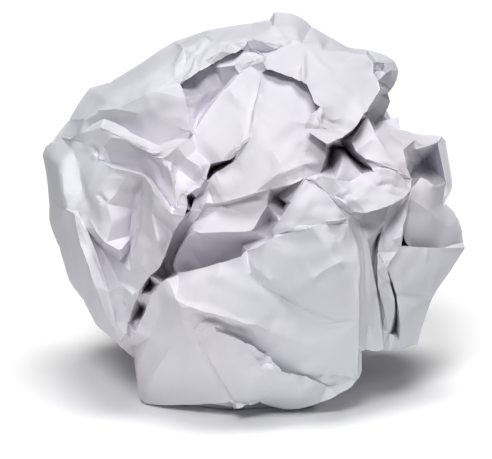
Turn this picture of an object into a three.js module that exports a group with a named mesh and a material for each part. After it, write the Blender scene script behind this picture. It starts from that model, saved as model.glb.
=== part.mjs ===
// Crumpled paper ball: one sheet of office paper, screwed up by hand into a
// rough ball and set down on its flattest side.
//
// The sheet is one continuous skin. Its outer face is given by the points where
// folds meet (POINTS) and the flat panels between the folds (PANELS, three
// points each). The inner face lies SHEET_T inside it, mitred at every fold, and
// the two faces are closed against each other along the raw edge of the sheet,
// so the ball is hollow and stays open through the one slit at that edge.
//
// Millimetres, +Z up, -Y is the front. The origin is under the middle of the
// ball on the table; the underside rests on one flat panel at Z = 0.

import * as THREE from 'three';

// ---- driving dimensions (mm) ----
const BALL_W = 87.39;        // width of the ball, side to side
const SHEET_T = 0.30;       // thickness of the skin (crushed paper, doubled in places)
const MITRE_MAX = 2.4;      // longest mitre at a fold, in skin thicknesses
const MITRE_MIN = 0.35;     // least depth of the inner face behind any panel, same unit
const PAPER = 0xdedde6;     // white office paper, very slightly blue

// ---- fold points on the outer face: x, y, z ----
const POINTS = [
  // Outline of the ball as it is seen from the front, clockwise from the top flap
  4.73,1.78,79.49, 8.02,1.74,79.29, 10.71,2.52,77.95, 12.17,2.64,76.49, 16.06,1.77,74.33, 19.70,-0.35,72.35,
  23.49,-2.48,72.23, 27.29,-0.67,70.74, 29.00,0.15,69.58, 29.89,0.91,67.60, 29.06,0.25,65.21, 28.34,1.56,63.54,
  27.91,4.48,62.24, 28.60,5.19,60.65, 28.04,5.86,58.85, 26.78,5.58,57.62, 25.44,0.00,56.69, 26.99,-5.04,58.19,
  29.58,-5.91,58.96, 29.92,-10.49,57.28, 32.46,-8.99,56.40, 35.07,-9.47,55.87, 38.41,-8.49,55.49, 39.29,-7.88,54.55,
  39.98,-7.79,50.60, 40.61,-8.51,46.58, 40.81,-8.95,45.00, 39.65,-10.91,43.54, 39.03,-11.33,42.17, 41.02,-9.93,40.21,
  42.34,-9.30,37.98, 43.05,-8.72,35.76, 43.33,-8.43,33.38, 43.51,-11.08,32.93, 40.31,-15.66,29.62, 36.29,-16.51,23.99,
  35.07,-14.89,19.80, 34.11,-10.10,12.36, 29.82,-15.63,12.61, 27.90,-20.05,13.62, 26.48,-21.67,14.28, 24.49,-23.13,14.48,
  22.85,-23.58,15.02, 21.90,-24.63,14.89, 22.09,-21.77,9.92, 21.61,-21.67,8.21, 19.84,-21.11,6.15, 17.36,-22.46,5.08,
  13.79,-20.95,3.15, 9.77,-19.61,1.69, 6.94,-18.75,1.00, 3.67,-18.61,1.59, 1.80,-23.23,3.84, -0.62,-24.87,3.60,
  -3.03,-25.50,3.06, -4.45,-24.11,4.31, -9.54,-20.95,2.83, -14.71,-17.85,1.68, -18.90,-15.06,0.73, -22.12,-12.13,0.27,
  -23.46,-9.82,0.66, -23.53,-11.82,5.13, -23.36,-14.63,9.78, -24.38,-8.31,8.86, -27.24,-13.94,13.62, -31.85,-11.54,16.80,
  -34.57,-9.76,21.65, -37.65,-6.48,24.87, -39.86,-3.20,31.33, -42.09,-0.37,36.03, -42.09,0.35,39.50, -42.59,2.50,44.39,
  -43.22,3.20,47.44, -43.70,4.30,49.36, -43.02,4.08,51.10, -41.59,2.29,52.49, -39.26,-0.57,53.85, -37.78,2.38,57.12,
  -35.78,4.23,60.38, -34.39,5.78,62.45, -33.56,5.96,63.26, -29.45,3.71,64.67, -23.10,1.94,68.70, -18.94,1.67,71.65,
  -15.84,1.63,73.52, -12.74,1.42,74.58, -9.03,1.25,75.84, -4.51,1.79,76.60, -0.19,2.75,77.09, 3.72,2.92,77.90,
  // Broad pinched panel, upper left, with its hem fold
  -13.63,-11.75,73.95, -15.12,-16.04,71.76, -15.44,-18.96,69.20, -14.27,-18.79,67.98, -13.13,-25.08,66.20, -12.32,-27.03,63.17,
  -11.89,-29.36,60.42, -33.73,-10.70,59.57, -30.93,-13.05,61.61, -26.85,-17.60,62.77, -22.12,-21.25,62.78, -18.12,-23.04,61.89,
  -14.70,-26.20,60.46, -23.53,-20.13,64.80, -19.06,-22.88,67.23, -29.58,-11.46,64.39, -24.39,-14.26,67.27, -20.39,-13.80,70.02,
  -15.30,-26.32,57.90, -18.11,-24.53,55.78, -20.77,-21.92,56.10, -23.88,-18.75,56.93, -27.04,-15.24,57.92, -29.81,-12.44,58.24,
  -32.34,-10.75,57.53, -34.60,-10.60,56.07, -36.67,-10.18,55.28, -33.87,-14.95,57.36, -31.48,-14.44,59.30, -29.56,-16.12,60.40,
  -27.20,-19.12,60.12, -24.02,-23.53,59.29, -20.98,-25.85,58.11, -18.19,-27.52,57.23, -15.22,-28.76,58.54, -30.17,-19.42,59.26,
  -27.36,-23.51,58.99, -24.45,-26.82,58.49, -21.38,-30.15,57.42, -19.22,-31.09,56.70, -17.26,-31.90,56.76, -14.55,-31.84,57.92,
  -12.67,-29.30,58.84, -31.75,-17.59,54.09, -30.83,-19.66,53.56, -29.97,-20.84,52.88, -27.82,-20.46,52.30, -24.72,-22.88,52.26,
  -21.84,-25.53,52.17, -26.01,-23.75,55.63, -20.96,-27.17,54.28, -29.32,-21.03,55.93, -17.25,-32.36,55.66, -15.88,-33.25,53.67,
  -15.01,-34.37,50.16, -19.59,-27.96,51.05, -17.55,-30.89,48.76, -15.84,-33.10,46.64, -14.52,-35.45,46.25, -17.92,-30.57,52.56,
  -16.34,-32.05,49.30, -21.79,-29.25,49.92, -22.31,-26.89,47.44, -22.68,-26.14,44.08, -23.51,-26.19,39.04, -24.74,-26.15,35.19,
  -31.78,-21.10,50.10, -30.48,-26.40,47.74, -29.63,-27.63,47.00, -28.59,-28.90,46.06, -27.37,-30.52,42.61, -26.24,-28.35,48.54,
  -25.57,-32.48,37.36, -34.21,-22.05,42.60, -33.12,-23.87,40.35, -31.68,-22.33,37.57, -29.70,-22.65,34.78, -27.87,-24.04,32.04,
  -26.62,-25.55,29.75, -28.54,-31.26,38.68, -26.11,-26.83,33.72, -19.39,-34.28,45.41, -18.20,-36.29,40.32, -20.87,-33.01,37.58,
  -23.86,-28.65,32.13, -21.69,-32.71,34.51, -12.61,-34.50,46.45, -13.19,-34.80,44.73, -14.74,-35.03,43.20, -15.62,-32.36,40.83,
  -16.57,-33.45,38.48, -17.39,-32.72,35.92, -18.44,-31.27,33.57, -20.02,-31.27,32.16, -21.28,-29.65,29.94, -22.20,-29.20,28.41,
  -22.86,-28.22,26.74, -24.16,-24.69,22.77, -24.85,-25.27,20.86, -25.33,-26.10,18.81, -34.73,-23.08,42.61, -32.68,-24.92,38.96,
  -31.09,-25.69,35.48, -29.73,-26.22,31.75, -28.47,-28.17,28.16, -27.77,-27.52,24.11, -27.05,-27.06,20.31, -33.88,-25.01,37.56,
  -30.43,-28.31,29.00, -32.10,-27.22,34.02, -29.20,-26.82,23.73, -27.35,-23.92,58.36, -24.47,-26.62,57.70, -21.57,-28.39,56.30,
  -19.46,-30.18,55.78, -27.25,-26.95,52.55, -24.14,-30.32,52.55, -21.14,-32.47,52.30, -20.00,-34.38,51.44, -18.41,-36.17,49.16,
  -16.89,-36.37,46.74, -15.66,-35.92,45.57, -32.47,-24.30,42.27, -30.67,-28.10,40.28, -38.65,-16.43,40.98, -37.75,-15.84,37.76,
  -36.27,-18.94,33.92, -34.88,-18.44,28.84, -32.23,-20.07,23.23, -38.96,-15.34,51.01, -37.97,-18.96,45.61, -34.94,-15.49,51.04,
  -34.21,-18.22,46.48, -37.21,-19.11,42.78, -36.26,-13.23,53.68, -32.81,-16.26,55.46, -25.19,-26.51,29.17, -23.71,-28.85,27.31,
  -25.84,-26.21,25.83, -24.92,-25.36,23.35, -26.11,-25.83,21.42,
  // Short pleats along the top edge of the broad panel
  -12.63,-20.69,69.47, -10.47,-20.48,70.92, -7.93,-18.82,71.77, -5.96,-18.59,72.83, -3.79,-17.46,73.76, -2.22,-13.91,74.25,
  -1.02,-13.58,75.71, -0.02,-10.67,76.22, -12.42,-11.90,74.58, -9.23,-11.24,76.09, -7.99,-14.08,75.28, -10.95,-15.68,72.91,
  -13.20,-13.26,71.75, -13.50,-17.51,69.98, -11.66,-19.90,71.13, -7.04,-10.21,75.35, -4.60,-14.57,75.75, -5.95,-19.09,74.59,
  -9.31,-18.58,72.53,
  // Flap that stands up at the top
  4.42,-7.49,78.02, 5.81,-9.20,77.23, 0.17,-13.82,75.85, 2.56,-14.34,75.42, 4.95,-13.89,75.05, 0.37,-13.04,74.03,
  1.97,-12.64,73.37, 3.27,-12.80,73.33, 4.85,-13.94,74.18, 6.34,-14.07,74.88, 7.97,-11.98,75.39, 9.76,-12.62,74.98,
  8.64,-8.19,77.30, 13.60,-10.89,75.24, 9.71,-14.93,74.20, 14.12,-13.88,73.95, 18.83,-10.85,73.22,
  // Strip behind the pleats and the shaded hollow beneath it
  -6.00,-14.18,72.89, -4.03,-10.93,74.04, -2.23,-10.29,74.75, -0.22,-12.00,73.54, 1.97,-13.64,72.91, -12.57,-15.17,69.02,
  -10.58,-14.76,70.77, -7.99,-14.43,71.92, -6.55,-18.95,71.29, -3.40,-17.70,71.40, -0.83,-18.10,72.26, 0.95,-17.72,72.80,
  -9.34,-17.80,68.22, -9.74,-18.19,65.48, -11.33,-18.71,62.16, -2.41,-18.49,69.93, -4.76,-21.15,67.55, -7.69,-23.27,64.72,
  -10.01,-25.85,61.78, -11.26,-27.22,59.45, -3.41,-16.38,69.81, -5.80,-16.15,66.96, -8.69,-16.43,63.79, -10.85,-18.36,60.89,
  -14.93,-16.58,67.03, -14.05,-20.32,65.03, -13.04,-21.73,62.07, -12.14,-23.20,59.53,
  // Small facets in the middle, turned to the light
  -0.23,-17.90,71.43, 1.92,-21.26,70.64, 0.04,-26.65,65.08, -3.57,-24.26,66.07, -1.03,-30.06,61.53, -1.99,-33.49,58.81,
  -5.89,-27.66,61.31, -2.77,-29.30,61.59, -3.92,-33.36,57.81, -8.00,-30.80,57.73, -2.96,-33.43,57.24, -4.12,-33.03,55.79,
  -5.84,-33.83,55.55, -8.20,-31.09,54.44, -8.76,-32.84,53.00, -9.33,-33.56,51.57, -10.10,-33.61,50.30, -11.83,-34.28,49.55,
  -12.89,-34.60,48.64, -10.94,-29.11,56.63, -12.82,-31.89,55.57, -10.27,-34.12,54.43, -12.06,-32.30,51.72, -14.41,-30.82,53.40,
  -13.76,-34.30,49.75, -13.95,-34.77,47.09, -4.57,-24.07,53.39, -7.16,-21.93,51.98, -8.45,-22.03,50.89,
  // Long smooth centre panel
  -2.57,-32.98,56.57, -3.44,-32.91,54.98, -5.09,-32.11,53.65, -7.02,-32.59,52.56, -8.20,-31.88,51.04, -9.27,-31.60,49.70,
  1.49,-27.74,66.63, 0.71,-29.42,62.99, -0.45,-32.52,59.61, 6.38,-25.57,66.87, 7.29,-29.71,62.64, 3.01,-33.22,58.37,
  -1.42,-34.68,52.78, -5.84,-34.92,49.88, 3.39,-34.67,54.73, 3.00,-35.89,51.65, 5.86,-36.83,53.98, 9.16,-34.61,55.01,
  9.92,-35.24,52.20, 7.21,-36.62,51.40, 3.39,-35.22,50.24, 0.50,-36.20,49.65, -2.38,-35.73,48.57, -5.27,-35.11,47.66,
  -7.61,-33.43,46.91, -8.86,-33.47,47.02, -8.40,-31.64,49.02,
  // Return of the centre panel beneath the top right flap
  3.33,-16.95,72.29, 6.31,-16.90,71.68, 8.88,-17.33,70.95, 11.24,-17.83,70.02, 13.01,-18.57,68.94, 13.55,-20.48,67.25,
  14.50,-22.02,65.50, 15.45,-23.38,63.74, 13.81,-25.95,62.20, 12.19,-28.00,60.97, 11.61,-28.15,60.41, 13.20,-27.13,59.83,
  13.90,-27.08,58.24,
  // Top right flap
  2.73,-17.83,73.22, 2.11,-21.02,72.69, 2.69,-22.79,71.57, 5.42,-23.70,70.91, 7.78,-22.80,69.99, 9.69,-25.23,69.57,
  10.77,-24.77,68.91, 11.44,-25.68,67.28, 12.34,-28.39,65.95, 13.46,-30.13,65.16, 12.09,-30.77,63.81, 10.61,-32.54,62.65,
  10.33,-32.49,61.56, 12.45,-32.59,59.82, 14.38,-32.88,58.60, 16.15,-31.70,59.27, 18.98,-28.46,60.26, 20.33,-28.56,61.66,
  21.60,-25.92,63.28, 23.13,-22.61,64.61, 24.38,-19.25,65.65, 25.54,-15.94,66.73, 25.33,-14.13,68.05, 24.36,-13.35,69.35,
  24.43,-9.81,70.84, 23.05,-9.00,72.45, 9.99,-20.09,71.96, 10.99,-19.69,71.90, 16.30,-20.32,70.01, 15.70,-26.80,65.10,
  20.23,-21.14,66.16, 13.05,-31.13,63.67, 15.41,-30.03,62.50, 18.02,-27.69,62.69, 13.45,-31.22,61.14, 16.42,-29.34,60.62,
  // Curled corner at the right of the flap
  25.41,-5.09,70.35, 26.99,-2.53,69.77, 26.64,-1.82,68.01, 25.36,-6.35,68.70, 27.19,-6.35,68.29, 27.85,-2.43,66.66,
  27.03,-2.65,65.45, 28.51,-1.37,68.15, 27.11,-5.03,64.80, 26.56,-0.76,62.87, 25.18,-0.23,60.49, 23.98,-3.66,59.82,
  25.03,0.26,57.90,
  // Cleft between the flap and the cone fold
  21.21,-18.62,60.23, 19.62,-19.13,58.00, 18.08,-18.23,56.83,
  // Cone fold
  22.60,-22.06,61.93, 21.14,-22.24,59.56, 19.49,-24.30,57.53, 20.24,-27.55,56.14, 21.83,-27.09,54.96, 24.94,-27.67,53.78,
  27.96,-26.52,52.47, 29.81,-25.56,51.18, 31.25,-24.83,50.03, 24.26,-24.84,58.63, 26.17,-26.31,55.91, 28.34,-26.53,53.17,
  27.11,-20.03,57.97, 29.67,-23.68,55.62, 30.10,-25.03,53.88, 30.40,-25.20,52.31, 32.62,-13.96,55.86, 32.75,-14.00,54.03,
  31.92,-16.14,52.29,
  // Hollow under the top right flap
  14.47,-27.74,56.77, 13.72,-30.23,54.87, 13.26,-29.99,52.25, 15.54,-17.81,51.89, 16.23,-14.87,54.60, 20.07,-14.64,52.62,
  22.33,-17.98,51.32, 18.69,-13.58,54.26, 17.82,-27.23,55.29, 13.31,-34.33,52.61, 15.92,-34.39,51.84, 19.03,-29.53,50.57,
  21.50,-26.66,51.30, 24.89,-28.79,52.41, 21.92,-25.44,54.15, 24.97,-27.31,53.22, 27.96,-26.63,51.89, 29.88,-24.73,50.22,
  // Saddle of pleats at mid right
  18.80,-35.16,48.95, 22.85,-31.28,49.73, 25.63,-30.36,48.45, 28.27,-28.94,47.47, 27.89,-28.20,49.91, 15.58,-33.94,48.50,
  18.20,-35.90,47.53, 19.41,-35.10,45.69, 21.90,-35.40,46.05, 24.78,-33.83,46.31, 27.72,-31.64,46.83, 29.60,-28.05,47.08,
  31.06,-25.25,47.81, 21.22,-29.61,45.61, 22.68,-27.85,46.04, 25.32,-26.09,46.48, 27.74,-25.14,46.68,
  // Pocket at the right edge
  35.02,-13.18,54.39, 37.76,-9.11,54.67, 38.81,-9.80,49.95, 39.55,-10.20,46.50, 36.10,2.48,48.64, 38.26,0.30,46.52,
  33.65,-2.75,48.17, 32.08,-10.66,47.42, 34.44,-9.29,45.91, 37.29,-7.10,44.21, 33.46,-19.14,49.11, 35.13,-18.31,48.43,
  36.35,-18.27,47.20, 37.69,-14.63,45.13, 38.80,-11.42,43.02,
  // Right hand panel and the free edge of the sheet lying over it
  31.19,-26.51,46.16, 31.04,-23.70,43.15, 30.40,-23.43,40.66, 30.39,-22.55,36.19, 33.67,-19.65,33.88, 38.20,-16.03,32.83,
  35.33,-22.07,42.80, 38.91,-15.92,38.60, 29.38,-26.21,36.82, 33.38,-23.13,35.87, 38.39,-18.23,34.54, 28.33,-27.41,35.88,
  26.99,-28.70,34.37, 26.49,-29.14,33.26, 27.78,-26.50,29.98, 28.67,-25.63,26.91, 29.46,-24.99,23.46, 29.70,-23.57,19.99,
  29.90,-18.51,15.51, 35.61,-21.43,29.77, 32.67,-22.01,23.10, 32.21,-15.80,15.82,
  // Upright strips and the two slits between them
  21.30,-28.89,42.26, 23.49,-28.26,41.72, 25.79,-27.35,42.52, 24.30,-28.21,40.10, 23.39,-27.54,36.93, 22.39,-31.23,39.17,
  23.02,-31.20,35.56, 23.79,-30.43,31.35, 24.75,-28.48,26.40, 25.48,-27.01,21.52, 24.93,-22.68,37.85, 24.22,-23.65,34.20,
  24.55,-24.96,29.61, 25.57,-23.24,24.04, 26.48,-20.15,18.04, 26.03,-26.74,41.99, 25.44,-25.60,38.91, 24.83,-27.70,35.95,
  24.61,-28.81,32.57, 24.98,-28.35,28.81, 25.85,-25.04,25.12, 26.61,-24.05,21.98, 27.32,-20.36,17.89, 27.62,-24.85,41.78,
  29.23,-23.92,44.21, 30.77,-25.49,46.35, 30.42,-25.52,43.34, 29.55,-26.71,40.98, 29.24,-27.41,38.91, 27.49,-27.74,38.38,
  25.89,-29.05,34.25, 30.18,-22.83,38.59, 27.22,-26.17,29.09, 28.11,-25.33,25.60, 28.43,-22.62,22.02, 27.84,-21.47,19.23,
  28.10,-19.71,27.08, 29.30,-16.71,22.78, 29.56,-14.54,18.65, 29.26,-13.99,15.97, 27.86,-19.00,17.00, 28.80,-19.65,16.65,
  // Diagonal cleft, its two walls and its floor
  -10.75,-30.89,47.47, -11.75,-31.93,45.05, -13.42,-30.35,42.68, -15.28,-27.68,39.18, -16.58,-24.78,35.48, -17.76,-23.06,32.22,
  -18.67,-23.15,30.50, -9.86,-32.52,45.33, -11.46,-30.87,42.49, -13.44,-26.79,38.57, -14.81,-24.53,35.42, -15.99,-23.40,32.50,
  -15.74,-24.30,30.67, -12.13,-22.20,45.26, -12.78,-25.98,43.64, -20.70,-18.02,27.08, -22.53,-14.48,20.95, -17.20,-22.42,29.60,
  -24.15,-21.32,20.44, -24.87,-17.76,16.14,
  // Small flap in the middle and the hollow under it
  -8.79,-32.54,46.03, -5.87,-33.05,46.63, -2.38,-33.71,47.50, 0.71,-33.69,48.55, 3.03,-33.88,46.71, 1.87,-34.26,45.01,
  -0.07,-35.70,41.97, -10.11,-35.49,41.62, -11.31,-33.36,41.45, -10.08,-31.49,43.82, -13.03,-31.28,39.38, -14.33,-30.47,36.59,
  -15.29,-29.27,33.57, -14.92,-28.11,31.90, -0.84,-33.69,44.69, -12.39,-23.20,30.00, -9.40,-23.22,30.61, -6.19,-24.27,31.89,
  -2.41,-26.74,33.90, 4.48,-25.75,46.81, 6.47,-24.82,45.21, 3.50,-26.97,42.24, -2.01,-29.72,38.03, 0.73,-31.26,38.98,
  2.68,-31.44,39.62,
  // Triangular facet right of the middle
  10.51,-34.92,52.33, 7.41,-37.21,47.80, 5.32,-36.18,43.85, 4.00,-34.99,40.92, 7.23,-37.39,42.54, 11.09,-36.79,43.39,
  13.96,-37.09,44.15, 16.09,-36.65,44.35, 11.87,-34.75,51.32, 13.87,-35.86,49.09, 16.27,-36.30,46.53, 18.47,-34.92,44.26,
  10.09,-37.47,46.88, 11.94,-35.18,52.09, 14.21,-34.23,49.25, 16.77,-33.38,46.41, 19.12,-33.30,44.61,
  // Belly: the large lower panel with its corner flap
  -9.02,-35.26,24.31, -5.89,-36.77,23.50, -2.59,-36.21,21.94, 0.53,-35.56,20.56, -21.77,-27.96,27.49, -21.34,-26.99,25.82,
  -19.87,-30.97,27.85, -18.76,-31.60,29.11, -20.24,-29.69,25.69, -21.02,-28.08,23.24, -22.38,-24.84,20.74, -23.23,-24.18,18.50,
  -24.36,-12.21,12.51, -17.92,-32.62,30.68, -16.42,-33.63,31.83, -14.40,-32.55,32.47, -12.10,-34.41,33.82, -9.17,-35.32,34.74,
  -6.24,-37.23,36.08, -2.38,-37.35,37.20, -1.03,-35.00,37.84, 0.89,-37.84,39.09, 2.44,-37.01,39.89, 4.17,-36.82,40.74,
  7.24,-36.99,41.86, 11.04,-38.61,43.20, 13.97,-36.90,43.51, 15.75,-35.56,43.32, 17.12,-34.99,43.39, 16.33,-35.91,42.01,
  17.71,-35.34,40.70, 18.49,-34.75,43.14, 19.25,-33.74,39.34, 19.90,-35.19,35.70, 20.53,-35.42,30.17, 20.77,-33.73,23.70,
  21.01,-30.06,17.43, 21.21,-23.28,10.14, 20.21,-31.39,41.61, 21.35,-32.95,36.57, 22.20,-33.25,29.63, 23.07,-29.42,22.16,
  16.27,-38.67,35.93, 13.63,-37.71,33.92, 11.51,-37.78,32.15, -0.45,-37.38,33.64, 1.87,-36.64,31.07, 5.38,-35.52,28.79,
  7.35,-34.36,27.29, 8.74,-33.64,25.30, 11.51,-33.03,23.52, 14.47,-32.62,22.19, 9.18,-37.71,37.09, 14.50,-39.03,39.96,
  15.44,-36.77,28.51, -7.19,-39.01,32.06, -2.38,-39.09,29.10, -11.48,-36.85,31.32, -14.61,-36.11,28.34, -12.64,-37.42,27.58,
  -10.10,-38.80,27.23, -7.20,-39.26,26.75, -4.31,-39.27,25.76, -1.42,-38.76,24.53, 0.91,-37.73,23.75, 3.06,-35.98,22.08,
  3.47,-34.72,19.92, -17.76,-30.13,25.20, -20.42,-24.65,17.59, -20.66,-20.89,8.19, -15.89,-28.83,17.29, -12.88,-24.36,8.36,
  -13.64,-37.00,24.36, -11.91,-36.78,21.89, -10.79,-35.60,19.15, -9.11,-32.04,14.91, -7.18,-29.10,11.20, -5.44,-25.21,6.73,
  -9.00,-36.57,23.15, -7.05,-37.32,22.54, -4.33,-37.40,21.46, -1.42,-37.08,19.86, 1.11,-36.66,18.34, 2.50,-33.96,16.77,
  4.08,-33.31,14.86, 5.67,-32.95,13.12, 7.67,-31.43,12.18, 10.32,-28.18,10.52, 12.75,-27.34,9.34, -7.43,-37.17,23.31,
  -4.16,-34.37,19.83, -1.03,-33.19,17.68, 1.14,-32.09,15.94, 1.93,-31.83,15.26, 3.72,-30.40,13.22, 5.34,-28.46,10.80,
  7.55,-27.53,9.91, 10.18,-26.15,8.89, 12.64,-24.40,7.75, 9.36,-33.64,18.61, 15.68,-32.61,17.72, 16.68,-23.79,8.82,
  20.52,-23.20,9.28, 15.14,-22.09,7.01, 17.79,-21.41,6.87, 20.19,-21.84,7.78, 16.96,-21.95,7.66, -4.74,-36.04,16.65,
  -0.43,-32.13,11.04, 1.97,-27.46,7.19, -0.05,-35.32,16.54, 2.11,-33.80,15.00, -1.03,-34.53,15.61, 1.33,-33.65,14.14,
  3.48,-34.59,14.00, 10.16,-27.27,7.55, 3.59,-25.79,5.65,
  // Back, sides and underside
  -17.49,-11.55,0.00, -3.73,-15.72,0.00, 12.95,-12.39,0.00, 17.96,3.46,0.00, 2.95,14.30,0.00, -15.82,9.30,0.00,
  20.37,20.95,56.58, 21.93,16.39,58.74, 25.36,12.60,61.76, 27.25,7.82,64.99, -4.69,23.72,69.96, -3.95,18.50,73.09,
  -1.54,12.92,74.71, 0.01,7.00,75.73, -7.97,30.78,12.88, -13.93,27.75,10.44, -17.53,23.16,6.71, -23.35,19.46,7.67,
  -26.53,13.48,7.43, -30.49,9.41,10.05, 38.78,2.45,27.11, 35.11,6.62,25.51, 31.97,11.17,25.73, 29.01,15.44,24.97,
  25.77,19.15,26.77, 22.04,22.92,27.27, 19.94,26.84,30.02, 16.12,29.94,32.62, 22.89,25.48,47.97, 17.02,26.30,48.46,
  11.75,27.54,48.94, 7.44,27.02,51.61, 2.20,27.45,51.93, -2.43,26.69,54.26, -7.99,27.65,54.18, -30.15,17.54,49.07,
  -25.46,20.74,48.80, -21.58,23.51,45.89, -17.61,25.80,43.06, -14.37,28.08,39.72, -9.67,30.92,38.24, -5.33,32.31,34.86,
  36.06,16.94,17.37, 35.76,12.90,13.21, 35.45,6.79,13.67, 34.48,0.43,13.94, -35.87,7.96,19.90, -38.22,13.80,20.49,
  -39.50,15.99,25.06, -38.83,20.63,28.22, -39.70,20.37,33.68, -38.82,20.63,38.99, -17.25,8.42,70.44, -16.57,14.84,70.34,
  -12.53,18.55,71.26, 11.68,24.90,19.01, 15.48,20.65,19.00, 20.52,18.79,19.69, 25.86,16.35,19.60, 10.63,15.48,64.78,
  13.55,16.66,61.44, 15.49,21.07,59.34, -29.15,10.20,20.32, -24.80,13.58,19.64, -20.28,15.25,17.89, -16.93,18.89,15.44,
  38.89,4.69,50.88, 34.81,1.79,53.21, 31.35,-3.39,54.48, 28.87,-4.56,56.51, 2.24,9.36,71.70, 5.75,10.98,68.52,
  9.95,12.97,68.33, 39.91,0.21,29.50, 39.73,2.51,32.69, 36.67,7.10,33.78, 37.92,9.70,36.99, -3.66,30.38,38.78,
  0.37,28.48,35.52, 5.75,30.68,33.60, -2.62,39.14,41.04, 2.05,39.27,37.05, 8.15,38.83,34.97, -6.68,38.91,37.49,
  -1.48,38.98,32.29, 6.09,37.84,30.54, -29.11,10.99,60.90, -24.36,14.69,57.88, -22.02,17.94,54.08, -21.54,22.53,51.54,
  -42.43,8.37,44.65, -41.53,12.74,47.42, -39.29,14.45,51.40, 5.08,21.89,14.38, -0.47,21.01,15.90, -5.08,19.79,12.75,
  28.18,5.29,7.81, 27.22,11.53,6.37, 25.93,17.51,7.44, 20.72,22.03,8.67, 5.09,21.80,59.14, 2.62,17.08,59.90,
  -0.47,16.31,64.43, 4.35,28.79,64.31, 1.28,25.31,67.63, -2.18,21.87,70.48, 8.78,26.85,66.24, 5.09,22.42,69.33,
  0.65,19.22,72.39, -24.64,0.70,8.20, -28.17,3.13,10.45, -31.66,4.11,13.38, -33.72,4.81,17.28, -36.01,2.10,20.88,
  -37.53,0.37,24.67, -37.43,-4.28,27.84, -26.91,-1.42,12.57, -29.33,-2.33,15.78, -33.10,-3.00,17.99, 27.07,19.05,52.70,
  25.57,21.13,48.20, 26.17,21.21,43.73, 26.50,21.83,39.31, 27.95,22.08,34.81, 25.86,23.66,30.52, 21.44,0.66,10.61,
  19.73,-4.09,11.25, 21.41,-8.98,11.92, 21.63,-15.02,11.78, 21.39,-20.40,14.06, 28.28,18.47,29.44, 29.66,13.79,31.36,
  34.31,11.47,33.55, 35.39,24.30,29.49, 38.97,19.40,30.76, 42.37,15.65,33.83, 34.90,21.70,25.31, 39.83,17.33,27.62,
  42.61,12.39,30.92, -40.31,3.24,32.92, -40.65,9.19,30.57, -38.88,11.73,26.37, 32.53,4.06,9.00, 32.07,10.60,8.84,
  31.37,16.20,11.66, 25.87,7.68,54.53, 30.21,11.31,53.66, 30.89,13.07,50.13, 30.78,17.91,47.92, -38.43,19.43,46.48,
  -37.31,24.24,42.46, -36.16,25.68,36.88, -33.75,28.33,31.69, -31.77,27.81,25.98, -27.14,29.22,21.47, -22.90,27.59,16.87,
  15.75,33.06,26.10, 25.64,28.01,34.52, -4.77,6.90,75.05, -25.70,13.36,64.23, 18.29,-8.90,7.76, -24.70,26.72,41.63,
  -9.38,33.44,19.82, -8.31,33.97,46.43, -17.04,34.68,49.01, 39.54,3.79,40.82, 18.31,12.54,4.17, -1.58,17.74,7.18,
  35.90,-4.67,21.85, 38.94,2.30,45.07, -17.24,-1.65,2.05, 34.68,7.57,52.44, 41.32,12.59,43.18, 35.80,5.92,20.35,
  15.19,-3.95,5.37, 29.34,-8.50,11.76, 36.69,-7.06,26.38, 6.29,18.79,5.23, -4.80,27.19,62.36, -6.04,36.22,26.33,
  41.22,-2.74,36.89, 0.88,27.46,17.61, -19.60,30.61,35.89, 34.34,-7.39,18.31, -12.34,9.21,71.39, 4.88,-12.55,1.20,
  21.77,9.59,65.10, 38.06,-0.57,23.34, -16.13,26.05,58.34, 15.96,33.03,41.09, 12.58,34.98,45.37, -31.38,18.56,54.65,
  26.23,17.16,55.26, 35.24,19.58,40.49, -41.46,13.81,34.34, -37.35,8.88,54.58, -34.72,13.17,58.77, 39.69,-3.91,45.74,
  -33.80,20.29,21.79, 39.20,-5.72,29.44, 24.77,31.73,43.44, -0.80,37.91,47.70, 8.85,35.16,20.19, 30.01,5.26,54.92,
  36.54,-13.00,25.46, -3.61,11.10,6.36, -9.34,16.91,6.05, -41.65,5.97,36.01, 5.49,33.66,41.85, -22.46,31.80,30.27,
  38.14,-2.49,52.33, -21.93,8.69,67.48, -38.58,13.97,40.71, -13.47,28.68,24.29, -20.78,3.49,5.93, 25.54,-3.49,10.43,
  22.61,2.65,70.49, 16.58,10.03,70.22, -19.42,13.35,63.86, 17.33,30.83,56.88, -27.10,-6.69,14.66, -11.96,31.75,28.83,
  -20.53,8.78,8.59, 39.57,-1.75,48.69, 38.96,-3.48,41.32, 38.85,14.35,47.08, 14.06,-10.63,8.17, -11.98,20.00,63.09,
  13.11,8.61,74.42, 19.16,26.73,21.91, 30.57,-2.22,12.39, 22.95,25.76,54.09, 13.62,25.57,10.91, 10.83,31.03,60.40,
  35.86,1.39,18.85, -24.64,21.58,63.04, -39.18,5.51,27.79, 14.79,18.82,5.28, 9.97,12.44,6.84, -16.96,14.32,8.09,
  21.65,17.46,67.31, 1.86,32.66,25.68, 21.85,-0.62,2.50, 40.45,4.38,36.62, 18.65,3.99,71.56, 0.31,-15.28,8.48,
  -2.21,34.72,19.32, 35.08,-11.12,22.53, 22.93,33.78,36.55, 43.70,7.67,28.29, 22.56,6.31,5.59, -18.07,27.83,53.17,
  -24.62,4.97,66.20, -34.66,-5.06,22.44, -9.56,13.72,73.13, 38.75,21.13,35.74, -20.46,-2.47,8.11, 6.27,33.84,47.56,
  -10.25,-13.43,2.10, 24.71,-15.54,13.65, 27.77,14.25,58.28, 7.35,6.73,71.08, 40.37,9.51,47.88, -26.16,21.37,17.93,
];
const POINTS_W = 87.3940;      // width across the points as listed

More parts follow.
